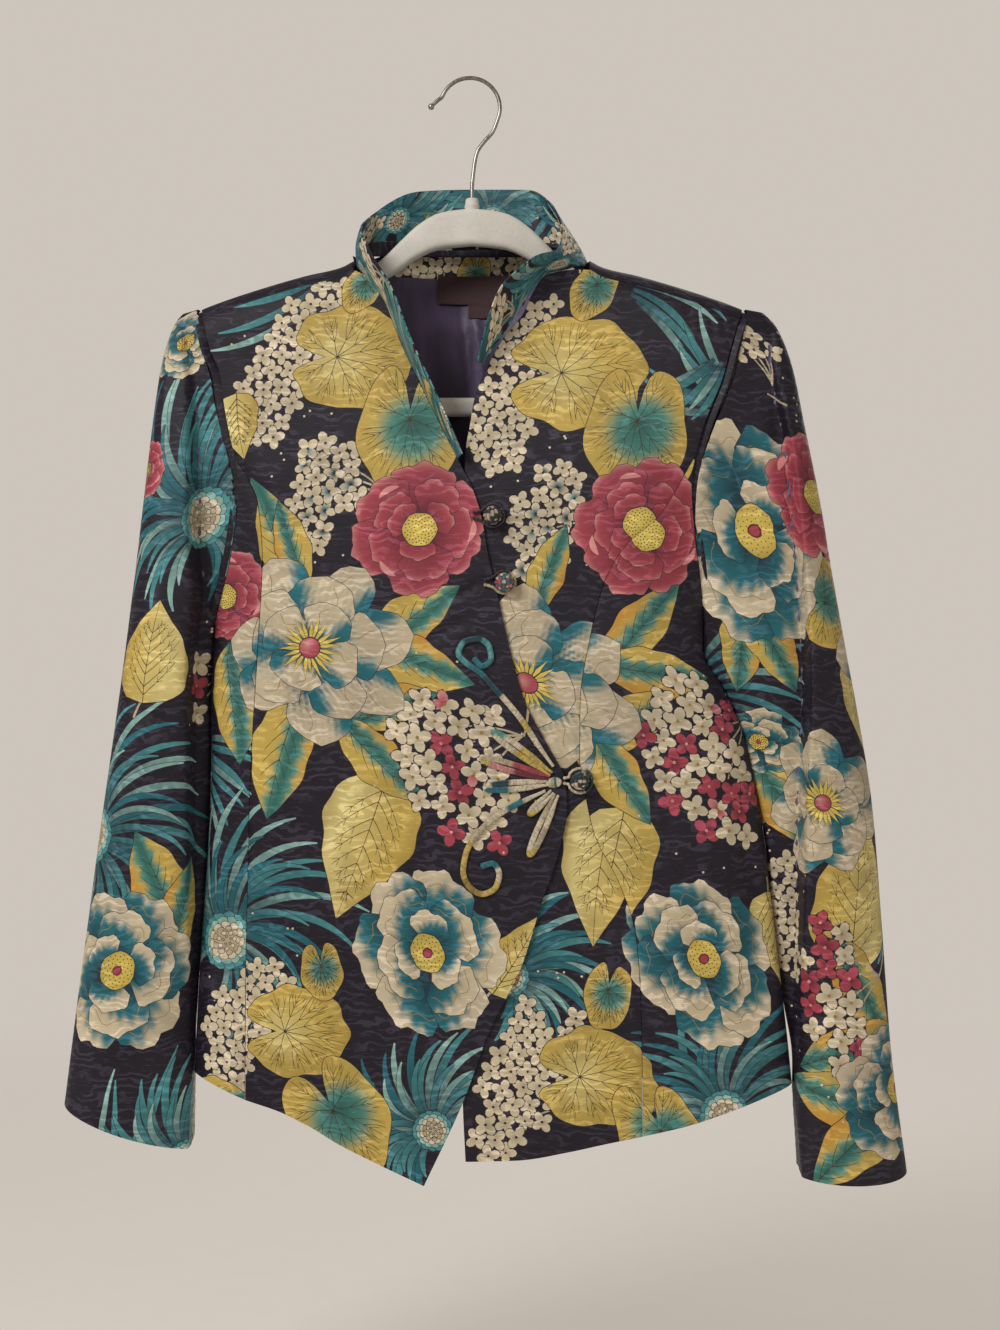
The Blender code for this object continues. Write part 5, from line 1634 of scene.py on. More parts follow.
def feed(tree, made, entries):
    """Links or sets a node's inputs, which are named or numbered."""
    for key, value in entries.items():
        if isinstance(value, bpy.types.NodeSocket):
            tree.links.new(value, made.inputs[key])
        else:
            made.inputs[key].default_value = value
    return made


def node(tree, kind, entries=None, **settings):
    made = tree.nodes.new(kind)
    for key, value in settings.items():
        setattr(made, key, value)
    return feed(tree, made, entries or {})


def maths(tree, operation, first, second):
    return node(tree, "ShaderNodeMath", {0: first, 1: second}, operation=operation).outputs[0]


def weighed(tree, *parts):
    """The sum of (value, weight) parts."""
    products = [maths(tree, "MULTIPLY", value, weight) for value, weight in parts]
    total = products[0]
    for product in products[1:]:
        total = maths(tree, "ADD", total, product)
    return total


def spread_out(tree, value, low, high, to_low=0.0, to_high=1.0):
    """A smooth step between two values."""
    entries = {"Value": value, "From Min": low, "From Max": high, "To Min": to_low, "To Max": to_high}
    return node(tree, "ShaderNodeMapRange", entries, interpolation_type="SMOOTHSTEP").outputs["Result"]


def cloth_coordinates(tree, scale_x, scale_y):
    """The cloth's own coordinates, across and down, scaled per millimetre."""
    places = node(tree, "ShaderNodeUVMap", uv_map="cloth").outputs[0]
    scale = (1000 * scale_x, 1000 * scale_y, 1)
    return node(tree, "ShaderNodeMapping", {"Vector": places, "Scale": scale}).outputs[0]


def noise(tree, vector, scale=1.0, detail=2.0, distortion=0.0):
    entries = {"Vector": vector, "Scale": scale, "Detail": detail, "Distortion": distortion}
    return node(tree, "ShaderNodeTexNoise", entries).outputs["Fac"]


def object_noise(tree, scale, detail=3.0, stretch=(1, 1, 1)):
    places = node(tree, "ShaderNodeTexCoord").outputs["Object"]
    places = node(tree, "ShaderNodeMapping", {"Vector": places, "Scale": stretch}).outputs[0]
    return noise(tree, places, scale, detail)


def bands(tree, direction, scale_x, scale_y, entries=None):
    """Even waves across the cloth: its threads, or broader strokes."""
    entries = {"Vector": cloth_coordinates(tree, scale_x, scale_y), **(entries or {})}
    return node(tree, "ShaderNodeTexWave", entries, bands_direction=direction).outputs["Fac"]


def blended(tree, kind, share, first, second):
    entries = {0: share, 6: first, 7: (*second, 1)}
    return node(tree, "ShaderNodeMix", entries, data_type="RGBA", blend_type=kind).outputs[2]


def two_tone(tree, share, colour, dark, light):
    return blended(tree, "MIX", share, (*colour * dark, 1), colour * light)


def bumped(tree, shader, height, strength, distance):
    entries = {"Strength": strength, "Distance": distance, "Height": height}
    feed(tree, shader, {"Normal": node(tree, "ShaderNodeBump", entries).outputs[0]})


def jacquard(tree, sizes):
    """1 where the satin's woven strokes and dashes catch the light."""
    wave = {"Scale": 1.0, "Distortion": 13.0, "Detail": 2.5, "Detail Scale": 1.6}
    swirl = bands(tree, "Y", 0.15 / sizes.swirl, 0.24 / sizes.swirl, wave)
    patches = noise(tree, cloth_coordinates(tree, 1 / 60, 1 / 60), 2.6, 3.0)
    streaks = noise(tree, cloth_coordinates(tree, 0.25 / sizes.dash, 1.4))
    dashes = noise(tree, cloth_coordinates(tree, 1.0 / sizes.dash, 0.85), 1.0, 1.0)
    patches = spread_out(tree, patches, 0.40, 0.56)
    strokes = maths(tree, "MULTIPLY", spread_out(tree, swirl, 0.63, 0.84), patches)
    strokes = maths(tree, "MULTIPLY", strokes, spread_out(tree, streaks, 0.30, 0.62, 0.35, 1))
    dashes = maths(tree, "MULTIPLY", spread_out(tree, dashes, 0.655, 0.70), 0.8)
    return maths(tree, "MAXIMUM", strokes, dashes)


def printed_satin(sizes, tones):
    """Jacquard satin with the print's colours: its strokes are glossier than the rest, and carry a painted
    sheen highlight that makes them lighter.
    """
    look, tree, shader = new_look("printed_jacquard_satin")
    colour = node(tree, "ShaderNodeVertexColor", layer_name="print").outputs["Color"]
    woven = jacquard(tree, sizes)
    # Painted sheen highlight: where the woven strokes lie, the print's colour is made lighter and a pale
    # purple-grey is added to it.
    colour = blended(tree, "MULTIPLY", woven, colour, (1.46, 1.48, 1.60))
    colour = blended(tree, "ADD", maths(tree, "MULTIPLY", woven, 0.55), colour, (0.055, 0.046, 0.066))
    shade = noise(tree, cloth_coordinates(tree, 1 / 45, 1 / 45), 1.0, 3.0)
    colour = blended(tree, "MULTIPLY", spread_out(tree, shade, 0.42, 0.66), colour, (0.80, 0.80, 0.82))
    finish = {
        "Base Color": colour, "Roughness": spread_out(tree, woven, 0, 1, 0.50, 0.33),
        "Specular IOR Level": 0.32, "Sheen Weight": 0.05, "Sheen Roughness": 0.4,
        "Sheen Tint": (0.75, 0.7, 0.85, 1),
    }
    feed(tree, shader, finish)
    threads = bands(tree, "Y", 0.02, 0.31 / sizes.weft)
    crepe = noise(tree, cloth_coordinates(tree, 0.16, 0.42), 1.0, 3.0)
    bumped(tree, shader, weighed(tree, (woven, 0.55), (crepe, 0.8), (threads, 0.10)), 0.55, 0.00042)
    return look


def bias_satin():
    """Satin cut on the bias for rolled trimming: printed like the jacket, glossier, with slanting threads."""
    look, tree, shader = new_look("rolled_bias_satin")
    colour = node(tree, "ShaderNodeVertexColor", layer_name="print").outputs["Color"]
    blotch = noise(tree, cloth_coordinates(tree, 0.22, 0.5))
    colour = blended(tree, "MULTIPLY", spread_out(tree, blotch, 0.42, 0.6), colour, (0.62, 0.62, 0.66))
    feed(tree, shader, {"Base Color": colour, "Roughness": 0.34, "Sheen Weight": 0.2})
    bumped(tree, shader, bands(tree, "DIAGONAL", 0.55, 0.55), 0.35, 0.00012)
    return look


def lining_satin(tones):
    look, tree, shader = new_look("lining_satin")
    streaks = noise(tree, cloth_coordinates(tree, 1 / 26, 1 / 120), 1.0, 3.0, 0.6)
    # Painted sheen and shade: lengthwise streaks make the lining's colour lighter and darker, standing in for
    # light on its folds.
    colour = two_tone(tree, spread_out(tree, streaks, 0.36, 0.66), tones["lining"], 0.72, 1.5)
    feed(tree, shader, {"Base Color": colour, "Roughness": 0.30, "Anisotropic": 0.4, "Sheen Weight": 0.3})
    ripple = noise(tree, cloth_coordinates(tree, 1 / 9, 1 / 34))
    height = weighed(tree, (ripple, 1.0), (bands(tree, "DIAGONAL", 0.7, 0.7), 0.08))
    bumped(tree, shader, height, 0.6, 0.0006)
    return look


def label_tape(tones):
    look, tree, shader = new_look("label_tape")
    threads = bands(tree, "Y", 0.05, 0.8)
    colour = two_tone(tree, threads, tones["label"], 0.75, 1.25)
    feed(tree, shader, {"Base Color": colour, "Roughness": 0.55, "Sheen Weight": 0.08})
    bumped(tree, shader, threads, 0.5, 0.0001)
    return look


def thread_look(tones):
    look, tree, shader = new_look("label_thread")
    colour = two_tone(tree, object_noise(tree, 2500, 1.0), tones["label_thread"], 0.7, 1.2)
    feed(tree, shader, {"Base Color": colour, "Roughness": 0.5})
    return look


def flock(tones):
    """Short flock on a moulded hanger: matt, with a soft nap and slight wear."""
    look, tree, shader = new_look("flocked_hanger")
    nap = object_noise(tree, 900, 2.0)
    share = weighed(tree, (nap, 0.45), (object_noise(tree, 35), 0.6))
    colour = two_tone(tree, spread_out(tree, share, 0.3, 0.75), tones["hanger"], 0.84, 1.03)
    feed(tree, shader, {
        "Base Color": colour, "Roughness": 0.85, "Sheen Weight": 0.45, "Sheen Roughness": 0.6
    })
    bumped(tree, shader, nap, 0.5, 0.0003)
    return look


def brushed_wire(tones):
    look, tree, shader = new_look("brushed_wire")
    scratches = object_noise(tree, 700, 4.0, (1, 1, 0.18))
    share = weighed(tree, (scratches, 0.5), (object_noise(tree, 60), 0.5))
    colour = two_tone(tree, spread_out(tree, share, 0.35, 0.65), tones["hook"], 0.7, 1.1)
    roughness = spread_out(tree, scratches, 0.3, 0.7, 0.24, 0.42)
    feed(tree, shader, {"Base Color": colour, "Metallic": 1.0, "Roughness": roughness})
    bumped(tree, shader, scratches, 0.2, 0.00006)
    return look


# Geometry Nodes


def new_tree(name, sizes):
    """A tree that takes a shape, named sizes and a material. It gives back a shape."""
    found = bpy.data.node_groups.get(name)
    if found:
        bpy.data.node_groups.remove(found)
    tree = bpy.data.node_groups.new(name, "GeometryNodeTree")
    tree.interface.new_socket("Line", in_out="INPUT", socket_type="NodeSocketGeometry")
    for label in sizes:
        kind = "NodeSocketInt" if label == "Seed" else "NodeSocketFloat"
        tree.interface.new_socket(label, in_out="INPUT", socket_type=kind)
    tree.interface.new_socket("Material", in_out="INPUT", socket_type="NodeSocketMaterial")
    tree.interface.new_socket("Shape", in_out="OUTPUT", socket_type="NodeSocketGeometry")
    return tree, tree.nodes.new("NodeGroupInput"), tree.nodes.new("NodeGroupOutput")


def dressed(tree, given, made, shape):
    """The tree's end: the shape smooth, real and in its material."""
    smooth = node(tree, "GeometryNodeSetShadeSmooth", {"Geometry": shape})
    real = node(tree, "GeometryNodeRealizeInstances", {"Geometry": smooth.outputs[0]})
    worn = {"Geometry": real.outputs[0], "Material": given.outputs["Material"]}
    feed(tree, made, {"Shape": node(tree, "GeometryNodeSetMaterial", worn).outputs[0]})
    return tree


def wire_tree():
    """A round wire along a line, with closed ends."""
    tree, given, made = new_tree("round_wire", ("Radius",))
    curve = node(tree, "GeometryNodeMeshToCurve", {"Mesh": given.outputs["Line"]}).outputs[0]
    circle = {"Resolution": 18, "Radius": given.outputs["Radius"]}
    circle = node(tree, "GeometryNodeCurvePrimitiveCircle", circle).outputs[0]
    tube = {"Curve": curve, "Profile Curve": circle, "Fill Caps": True}
    return dressed(tree, given, made, node(tree, "GeometryNodeCurveToMesh", tube).outputs[0])


def stitch_tree():
    """Short rounded stitches along a line, each turned a little off its neighbours."""
    tree, given, made = new_tree("running_stitches", ("Stitch", "Thread", "Seed"))
    curve = node(tree, "GeometryNodeMeshToCurve", {"Mesh": given.outputs["Line"]}).outputs[0]
    spaced = {"Curve": curve, "Length": given.outputs["Stitch"]}
    spaced = node(tree, "GeometryNodeCurveToPoints", spaced, mode="LENGTH")
    bead = node(tree, "GeometryNodeMeshIcoSphere", {"Subdivisions": 1, "Radius": 1.0}).outputs[0]
    half = maths(tree, "MULTIPLY", given.outputs["Stitch"], 0.36)
    size = {"X": given.outputs["Thread"], "Y": given.outputs["Thread"], "Z": half}
    size = node(tree, "ShaderNodeCombineXYZ", size).outputs[0]
    wobble = {0: (-0.1, -0.1, -0.12), 1: (0.1, 0.1, 0.12), "Seed": given.outputs["Seed"]}
    wobble = node(tree, "FunctionNodeRandomValue", wobble, data_type="FLOAT_VECTOR").outputs[0]
    placed = {
        "Points": spaced.outputs["Points"], "Instance": bead, "Rotation": spaced.outputs["Rotation"],
        "Scale": size,
    }
    placed = node(tree, "GeometryNodeInstanceOnPoints", placed).outputs[0]
    turn = node(tree, "GeometryNodeRotateInstances", {"Instances": placed, "Rotation": wobble})
    return dressed(tree, given, made, turn.outputs[0])


def finished_mesh(obj):
    """The mesh that an object comes to after its modifiers."""
    bpy.context.view_layer.update()
    graph = bpy.context.evaluated_depsgraph_get()
    return bpy.data.meshes.new_from_object(obj.evaluated_get(graph), depsgraph=graph)


def grown_along(name, tree, lines, values):
    """A plain mesh from a tree whose line is the given lines of points in millimetres."""
    guide = bpy.data.meshes.new(name + "_line")
    points, edges = [], []
    for line in lines:
        start = len(points)
        points += [tuple(point) for point in np.asarray(line) * MM]
        edges += [(start + i, start + i + 1) for i in range(len(line) - 1)]
    guide.from_pydata(points, edges, [])
    obj = in_scene(name, guide)
    modifier = obj.modifiers.new("tree", "NODES")
    modifier.node_group = tree
    sockets = {item.name: item.identifier for item in tree.interface.items_tree if item.in_out == "INPUT"}
    for label, value in values.items():
        modifier[sockets[label]] = value
    mesh = finished_mesh(obj)
    mesh.name = name
    obj.modifiers.remove(modifier)
    obj.data = mesh
    bpy.data.meshes.remove(guide)
    return obj


# Shapes of the small pieces


def sweep(name, points, normals, widths, thick, look, shades, sides=14):
    """A closed oval section swept along points, flattened against the surface whose normals are given."""
    count = len(points)
    ahead = unit(np.gradient(points, axis=0))
    aside = unit(np.cross(ahead, normals))
    up = np.cross(aside, ahead)
    turns = round_line(sides)
    across = np.sign(np.cos(turns)) * np.abs(np.cos(turns)) ** 0.8
    rise = np.sign(np.sin(turns)) * np.abs(np.sin(turns)) ** 0.9
    widths, thick = np.broadcast_to(widths, count), np.broadcast_to(thick, count)
    rings = points[:, None] + aside[:, None] * (across[None, :, None] * widths[:, None, None] / 2)
    rings = rings + up[:, None] * (rise[None, :, None] * thick[:, None, None] / 2)
    ends = np.array([points[0] - ahead[0] * 0.25 * widths[0], points[-1] + ahead[-1] * 0.25 * widths[-1]])
    places = np.concatenate([rings.reshape(-1, 3), ends])
    start, after = np.arange(sides), (np.arange(sides) + 1) % sides
    base = (np.arange(count - 1) * sides)[:, None]
    quads = stacked(base + start, base + after, base + sides + after, base + sides + start).reshape(-1, 4)
    first = stacked(np.full(sides, count * sides), after, start)
    last = (count - 1) * sides
    final = stacked(np.full(sides, count * sides + 1), last + start, last + after)
    triangles = np.concatenate([quads[:, [0, 1, 2]], quads[:, [0, 2, 3]], first, final])
    around = chords(np.concatenate([rings[count // 2], rings[count // 2][:1]]))[:-1]
    flat = stacked(np.tile(around, count), np.repeat(chords(points), sides))
    flat = np.concatenate([flat, [flat[0], flat[-1]]])
    tint_at = np.concatenate([np.repeat(shades, sides, axis=0), shades[[0, -1]]])
    return outward_piece(name, places, triangles, look, tint_at, flat)


def outward_piece(name, places, triangles, look, shades, flat):
    """A closed smooth mesh whose faces all look outwards."""
    corners = places[triangles]
    if np.linalg.det(corners).sum() < 0:
        triangles = triangles[:, ::-1]
        corners = places[triangles]
    faces = np.cross(corners[:, 1] - corners[:, 0], corners[:, 2] - corners[:, 0])
    normals = np.zeros_like(places)
    for k in range(3):
        np.add.at(normals, triangles[:, k], faces)
    slots = np.zeros(len(triangles), int)
    return mesh_piece(name, places, triangles, [look], slots, unit(normals, 1e-12), shades[triangles], flat)


def shades_along(names, tones, count, seed, soft=0.12):
    """Colours of a printed strip: patches of the named tones, unequal in length, that run into each other."""
    random = np.random.default_rng(seed)
    lengths = random.uniform(0.6, 1.5, len(names))
    ends = np.cumsum(lengths) / lengths.sum()
    at = np.linspace(0, 1, count)
    shade = np.repeat(tones[names[0]][None], count, axis=0)
    for end, name in zip(ends[:-1], names[1:]):
        shade = mixed(shade, tones[name], smoothstep((at - end) / (soft / len(names)) + 0.5))
    return shade


def knot_ball(name, centre, radius, look, shades, seed):
    """A ball knotted from cord: three crossing bands of three strands each."""
    steps = np.linspace(-1, 1, 25)
    p, q = np.meshgrid(np.tan(steps * math.pi / 4), np.tan(steps * math.pi / 4))
    places, colours, faces, flat = [], [], [], []
    random = np.random.default_rng(seed)
    for axis in range(3):
        for side in (-1, 1):
            cube = stacked(np.ones_like(p) * side, p, q)
            cube = np.roll(cube, axis, axis=-1)
            unit = cube / np.linalg.norm(cube, axis=-1)[..., None]
            lane = (steps + 1) * 1.5
            strand = np.minimum(lane.astype(int), 2)
            bulge = np.sqrt(np.clip(1 - (2 * (lane - strand) - 1) ** 2, 0, 1))
            dive = np.clip(1 - np.abs(steps) ** 6, 0, 1) ** 0.5
            height = 0.86 + 0.14 * bulge[:, None] * (0.55 + 0.45 * dive[None, :])
            place = unit * radius * height[..., None]
            base = 0 if not places else sum(len(block) for block in places)
            index = base + np.arange(625).reshape(25, 25)
            quad = stacked(index[:-1, :-1], index[:-1, 1:], index[1:, 1:], index[1:, :-1]).reshape(-1, 4)
            quad = quad if side > 0 else quad[:, ::-1]
            picks = random.integers(0, len(shades), (3, 5))
            along_it = np.minimum(((steps + 1) * 2.5).astype(int), 4)
            colour = np.asarray(shades)[picks[strand[:, None], along_it[None, :]]]
            # Painted shade: each strand's colour darkens towards its edges, in the grooves between strands.
            colour = colour * (0.35 + 0.65 * bulge[:, None, None])
            places.append(place.reshape(-1, 3))
            colours.append(colour.reshape(-1, 3))
            faces.append(np.concatenate([quad[:, [0, 1, 2]], quad[:, [0, 2, 3]]]))
            flat.append(stacked(p, q).reshape(-1, 2) * radius)
    places, triangles = np.concatenate(places), np.concatenate(faces)
    rounded = np.round(places, 3)
    _, first, index = np.unique(rounded, axis=0, return_index=True, return_inverse=True)
    index = index.reshape(-1)
    colours, flat = np.concatenate(colours)[first], np.concatenate(flat)[first]
    return outward_piece(name, places[first] + centre, index[triangles], look, colours, flat)


def on_front(line, lift):
    """Points over the wearer's right front, lifted off its cloth, and the front's normals there."""
    step = 0.5
    x, z = line[:, 0], line[:, 1]
    slope_x = (right_front_y(x + step, z) - right_front_y(x - step, z)) / (2 * step)
    slope_z = (right_front_y(x, z + step) - right_front_y(x, z - step)) / (2 * step)
    normals = unit(stacked(slope_x, -np.ones_like(x), slope_z))
    return stacked(x, right_front_y(x, z), z) + normals * lift, normals


def welded(name, mesh, look):
    """A curve's mesh as a piece, its caps joined to its walls and its faces outwards."""
    made = bmesh.new()
    made.from_mesh(mesh)
    bmesh.ops.remove_doubles(made, verts=made.verts, dist=1e-5)
    bmesh.ops.recalc_face_normals(made, faces=made.faces)
    made.to_mesh(mesh)
    made.free()
    mesh.materials.clear()
    mesh.materials.append(look)
    return in_scene(name, mesh)


# Attaching the pieces to the body


def belongs(obj, slot, *nodes):
    """The piece stands for CAD nodes, which it hides, and moves with the body. Its slot is not used."""
    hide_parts(*nodes)
    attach(obj, "root")
    return obj


def cloth_belongs(cut_piece, slot, held, rests_on, *nodes):
    """The same for a sheet of cloth; it prints the size that it was cut to and its area."""
    obj, size, area = cut_piece
    width, length = (float(value) for value in size)
    belongs(obj, slot, *nodes)
    area_in_metres = min(area, width * length) * MM * MM
    print(f"{obj.name}: {width:.0f} by {length:.0f} mm, {area / 100:.0f} cm2")


def seam_tape(name, points, normals, look, ground):
    """The bound seam allowance behind a seam whose edges meet."""
    shades = np.repeat(ground[None], len(points), axis=0)
    obj = sweep(name, points, normals, TAPE_WIDTH, TAPE_THICK, look, shades, 10)
    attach(obj, "root")
    length = float(chords(points)[-1])


# Pieces


class MakeHanger(bpy.types.Operator):
    """The flocked hanger with its trouser bar, and the wire hook"""

    bl_idname = "jacket.make_hanger"
    bl_label = "Hanger and hook"

    def execute(self, context):
        tones = tones_of(context)
        self.body(flock(tones))
        self.hook(brushed_wire(tones), context.scene.jacket_sizes)
        return {"FINISHED"}

    def body(self, look):
        top = [(0, -96.5), (24, -100), (39, -108), (53, -120.5), (66, -133.5), (78, -142.5), (92, -147.5)]
        top += [(x, float(shoulder(x)) - CLOTH / 2 - HANGER_SEAT) for x in (124, 157, 186, 203)]
        end = [(HANGER_HALF_WIDTH, -183), (211, -194), (203, -217), (192, -242), (174, -252.5)]
        outer = np.concatenate([path([top[-1]] + end, 26)[1:]])
        outer = np.concatenate([path(top, 40), outer])
        gap = [(0, -124.5), (24, -127), (39, -133), (58, -146), (80, -156.5), (120, -170)]
        gap = path(gap + [(160, -184), (184, -195), (188, -205), (180, -226), (168, -238.5)], 48)
        curve = bpy.data.curves.new("hanger_outline", "CURVE")
        for half in (outer, gap):
            line = np.concatenate([half, half[:0:-1] * (-1, 1)])
            spline = curve.splines.new("POLY")
            spline.points.add(len(line) - 1)
            for point, place in zip(spline.points, line * MM):
                point.co = (*place, 0, 1)
            spline.use_cyclic_u = True
        curve.dimensions = "2D"
        curve.fill_mode = "BOTH"
        curve.extrude = (HANGER_HALF_THICK - HANGER_EDGE) * MM
        curve.bevel_depth = HANGER_EDGE * MM
        curve.bevel_resolution = 4
        curve.offset = -HANGER_EDGE * MM
        drawn = in_scene("hanger_outline", curve)
        drawn.rotation_euler = (math.pi / 2, 0, 0)
        mesh = finished_mesh(drawn)
        mesh.transform(drawn.matrix_world)
        bpy.data.objects.remove(drawn)
        obj = welded("hanger_moulding", mesh, look)
        self.add_neck(obj.data)
        obj.data.shade_smooth()
        obj.data.set_sharp_from_angle(angle=math.radians(38))
        belongs(obj, "hanger", "hanger_body")

    def add_neck(self, mesh):
        """The turned boss that grips the hook's stem, with two rings and a hollow top."""
        profile = (
            (0.0, -101), (5.6, -101.3), (5.6, -99.6), (5.1, -98.9), (5.1, -96.4), (5.5, -95.8), (5.5, -94.4),
            (5.0, -93.8), (4.9, -91.2), (4.6, -89.7), (3.9, -89.1), (2.2, -89.3), (1.7, -90.6), (0.0, -90.8),
        )
        sides = 40
        made = bmesh.new()
        made.from_mesh(mesh)
        rings = []
        for radius, z in profile:
            turns = round_line(sides if radius else 1)
            places = [(radius * MM * math.cos(t), radius * MM * math.sin(t), z * MM) for t in turns]
            rings.append([made.verts.new(place) for place in places])
        for low, high in zip(rings[:-1], rings[1:]):
            for k in range(sides):
                ring = [low[k % len(low)], low[(k + 1) % len(low)]]
                ring += [high[(k + 1) % len(high)], high[k % len(high)]]
                made.faces.new(list(dict.fromkeys(ring)))
        made.to_mesh(mesh)
        made.free()

    def hook(self, look, sizes):
        centre_x, centre_z = -1.5, WIRE_RADIUS - HOOK_RADIUS
        stem = [(0, -108), (0, -100), (0, -84), (1.5, -66), (4, -54), (9, -46.5), (15.5, -39)]
        arc = [
            (centre_x + HOOK_RADIUS * math.cos(a), centre_z + HOOK_RADIUS * math.sin(a))
            for a in np.radians(np.linspace(-22, 158, 19))
        ]
        tip = [(-26.5, -16), (-30.5, -20)]
        line = path(stem + arc + tip, 150)
        line = stacked(line[:, 0], 0 * line[:, 0], line[:, 1])
        values = {"Radius": sizes.wire, "Material": look}
        obj = grown_along("hook_wire", wire_tree(), [line], values)
        made = bmesh.new()
        made.from_mesh(obj.data)
        placed = Matrix.Translation((tip[-1][0] * MM, 0, tip[-1][1] * MM))
        bmesh.ops.create_uvsphere(
            made, u_segments=28, v_segments=18, radius=HOOK_BALL_RADIUS * MM, matrix=placed
        )
        made.to_mesh(obj.data)
        made.free()
        obj.data.shade_smooth()
        belongs(obj, "hook_steel", "hanger_hook")


def placed_on(cut, rows, side, shift=(0.0, 0.0)):
    """Print rows on a cut: places of the hanging plane become places on the flat."""
    return [
        (name, cut.nearest(x, z, side) + shift, size, ratio, degrees, seed)
        for name, x, z, size, ratio, degrees, seed in rows
    ]


def plain(colour):
    return [], [], colour


class MakeFronts(bpy.types.Operator):
    """The four panels of the fronts, joined at the princess seams, with the print broken at each seam"""

    bl_idname = "jacket.make_fronts"
    bl_label = "Fronts"

    def execute(self, context):
        sizes, tones = context.scene.jacket_sizes, tones_of(context)
        looks = [printed_satin(sizes, tones), lining_satin(tones)]
        gap = SEAM / 2
        seam_r = joined((PRINCESS_R, 60), (PRINCESS_R_LOW, 50))
        seam_l = joined((PRINCESS_L, 60), (PRINCESS_L_LOW, 50))
        outer_r = np.concatenate([path(ARMHOLE_R, 40), seam_r[1:]])
        outer_l = np.concatenate([path(ARMHOLE_L, 40), seam_l[1:]])
        outer_r[0, 0], outer_l[0, 0] = -SHOULDER_TIP, SHOULDER_TIP
        inner_r = joined((NECK_R, 60), (EDGE_R, 60), (EDGE_R_LOW, 60))
        inner_l = joined((NECK_L, 60), (EDGE_L, 60), (EDGE_L_LOW, 60))
        puckers = tuple((x, -176, x + 3, -196, 0.9, 2.6) for x in SHOULDER_PUCKERS)

        def right_depth(x, z):
            return right_front_y(x, z) + creased(x, z, CREASES_R)

        def left_depth(x, z):
            return front_y(x, z) + creased(x, z, CREASES_L + puckers)

        cut_r = body_cut(right_depth, [seam_r[::4]])
        cut_l = body_cut(left_depth, [seam_l[::4]])
        crowd = np.sin(np.linspace(0, math.pi / 2, 60))
        side_r = self.side_line(ARMHOLE_R_LOW, side_right_x, SIDE_R_HEM)
        side_l = self.side_line(ARMHOLE_L_LOW, side_left_x, SIDE_L_HEM)
        centre_r = self.centre(shifted(outer_r, gap), inner_r, HEM_R)
        centre_l = self.centre(inner_l, shifted(outer_l, -gap), HEM_L)
        side_r = self.side(side_r, shifted(seam_r, -gap), HEM_R_SIDE, 1 - crowd[::-1])
        side_l = self.side(shifted(seam_l, gap), side_l, HEM_L_SIDE, crowd)
        panels = (
            ("front_right_centre", cut_r, centre_r, PRINT_RIGHT, (0, 0)),
            ("front_left_centre", cut_l, centre_l, PRINT_LEFT, (0, 0)),
            ("front_right_side", cut_r, side_r, PRINT_RIGHT, SEAM_SHIFT),
            ("front_left_side", cut_l, side_l, PRINT_LEFT, SEAM_SHIFT),
        )
        for name, cut, line, rows, shift in panels:
            outline = on_body(cut, line)
            outer = print_on(outline, placed_on(cut, rows, -1, shift), tones)
            obj = cloth_piece(
                name + "_cloth", cut, outline, outer, plain(tones["lining"]), CLOTH, sizes.grid, looks
            )
            cloth_belongs(obj, "printed_satin", "hung", ["hanger_body"], name)
        return {"FINISHED"}

    def side_line(self, armhole, side, hem_z):
        """The outer edge of a side panel: down the low armhole, then down the side."""
        heights = np.linspace(armhole[-1][1], hem_z, 90)
        return np.concatenate([path(armhole, 40), stacked(side(heights), heights)[1:]])

    def centre(self, left, right, hem):
        """Outline of a front from the shoulder seam to the hem, between its two long edges."""
        x = np.linspace(*sorted((left[0][0], right[0][0])), 50)
        top = stacked(x, shoulder(x) - SHOULDER_WRAP - SEAM / 2)
        left, right = left[left[:, 1] < top[0, 1] - 0.3], right[right[:, 1] < top[-1, 1] - 0.3]
        return closed_line([left[::-1], top, right, path(hem, 60)[::-1]])

    def side(self, left, right, hem, shares):
        """Outline of a side panel, which starts in a blunted point at the armhole and ends at the hem."""
        heights = np.linspace(left[0, 1], left[0, 1] - 30, 300)
        apart = [np.interp(-heights, -line[:, 1], line[:, 0]) for line in (left, right)]
        start = heights[np.argmax(apart[1] - apart[0] > 0.6)]
        left, right = left[left[:, 1] < start], right[right[:, 1] < start]
        bottom = along(hem, shares)
        bottom[0], bottom[-1] = left[-1], right[-1]
        return closed_line([left[::-1], right, bottom[::-1]])


def shifted(line, step):
    return line + (step, 0)


def neck_drop(x):
    """How far the back's neckline lies below the shoulder line, or before it outside the neck."""
    inside = BACK_NECK_DROP * (1 - np.clip(np.abs(x) / NECK_HALF, 0, 1) ** 4)
    return np.where(np.abs(x) > NECK_HALF, -SHOULDER_WRAP + SEAM / 2, inside)


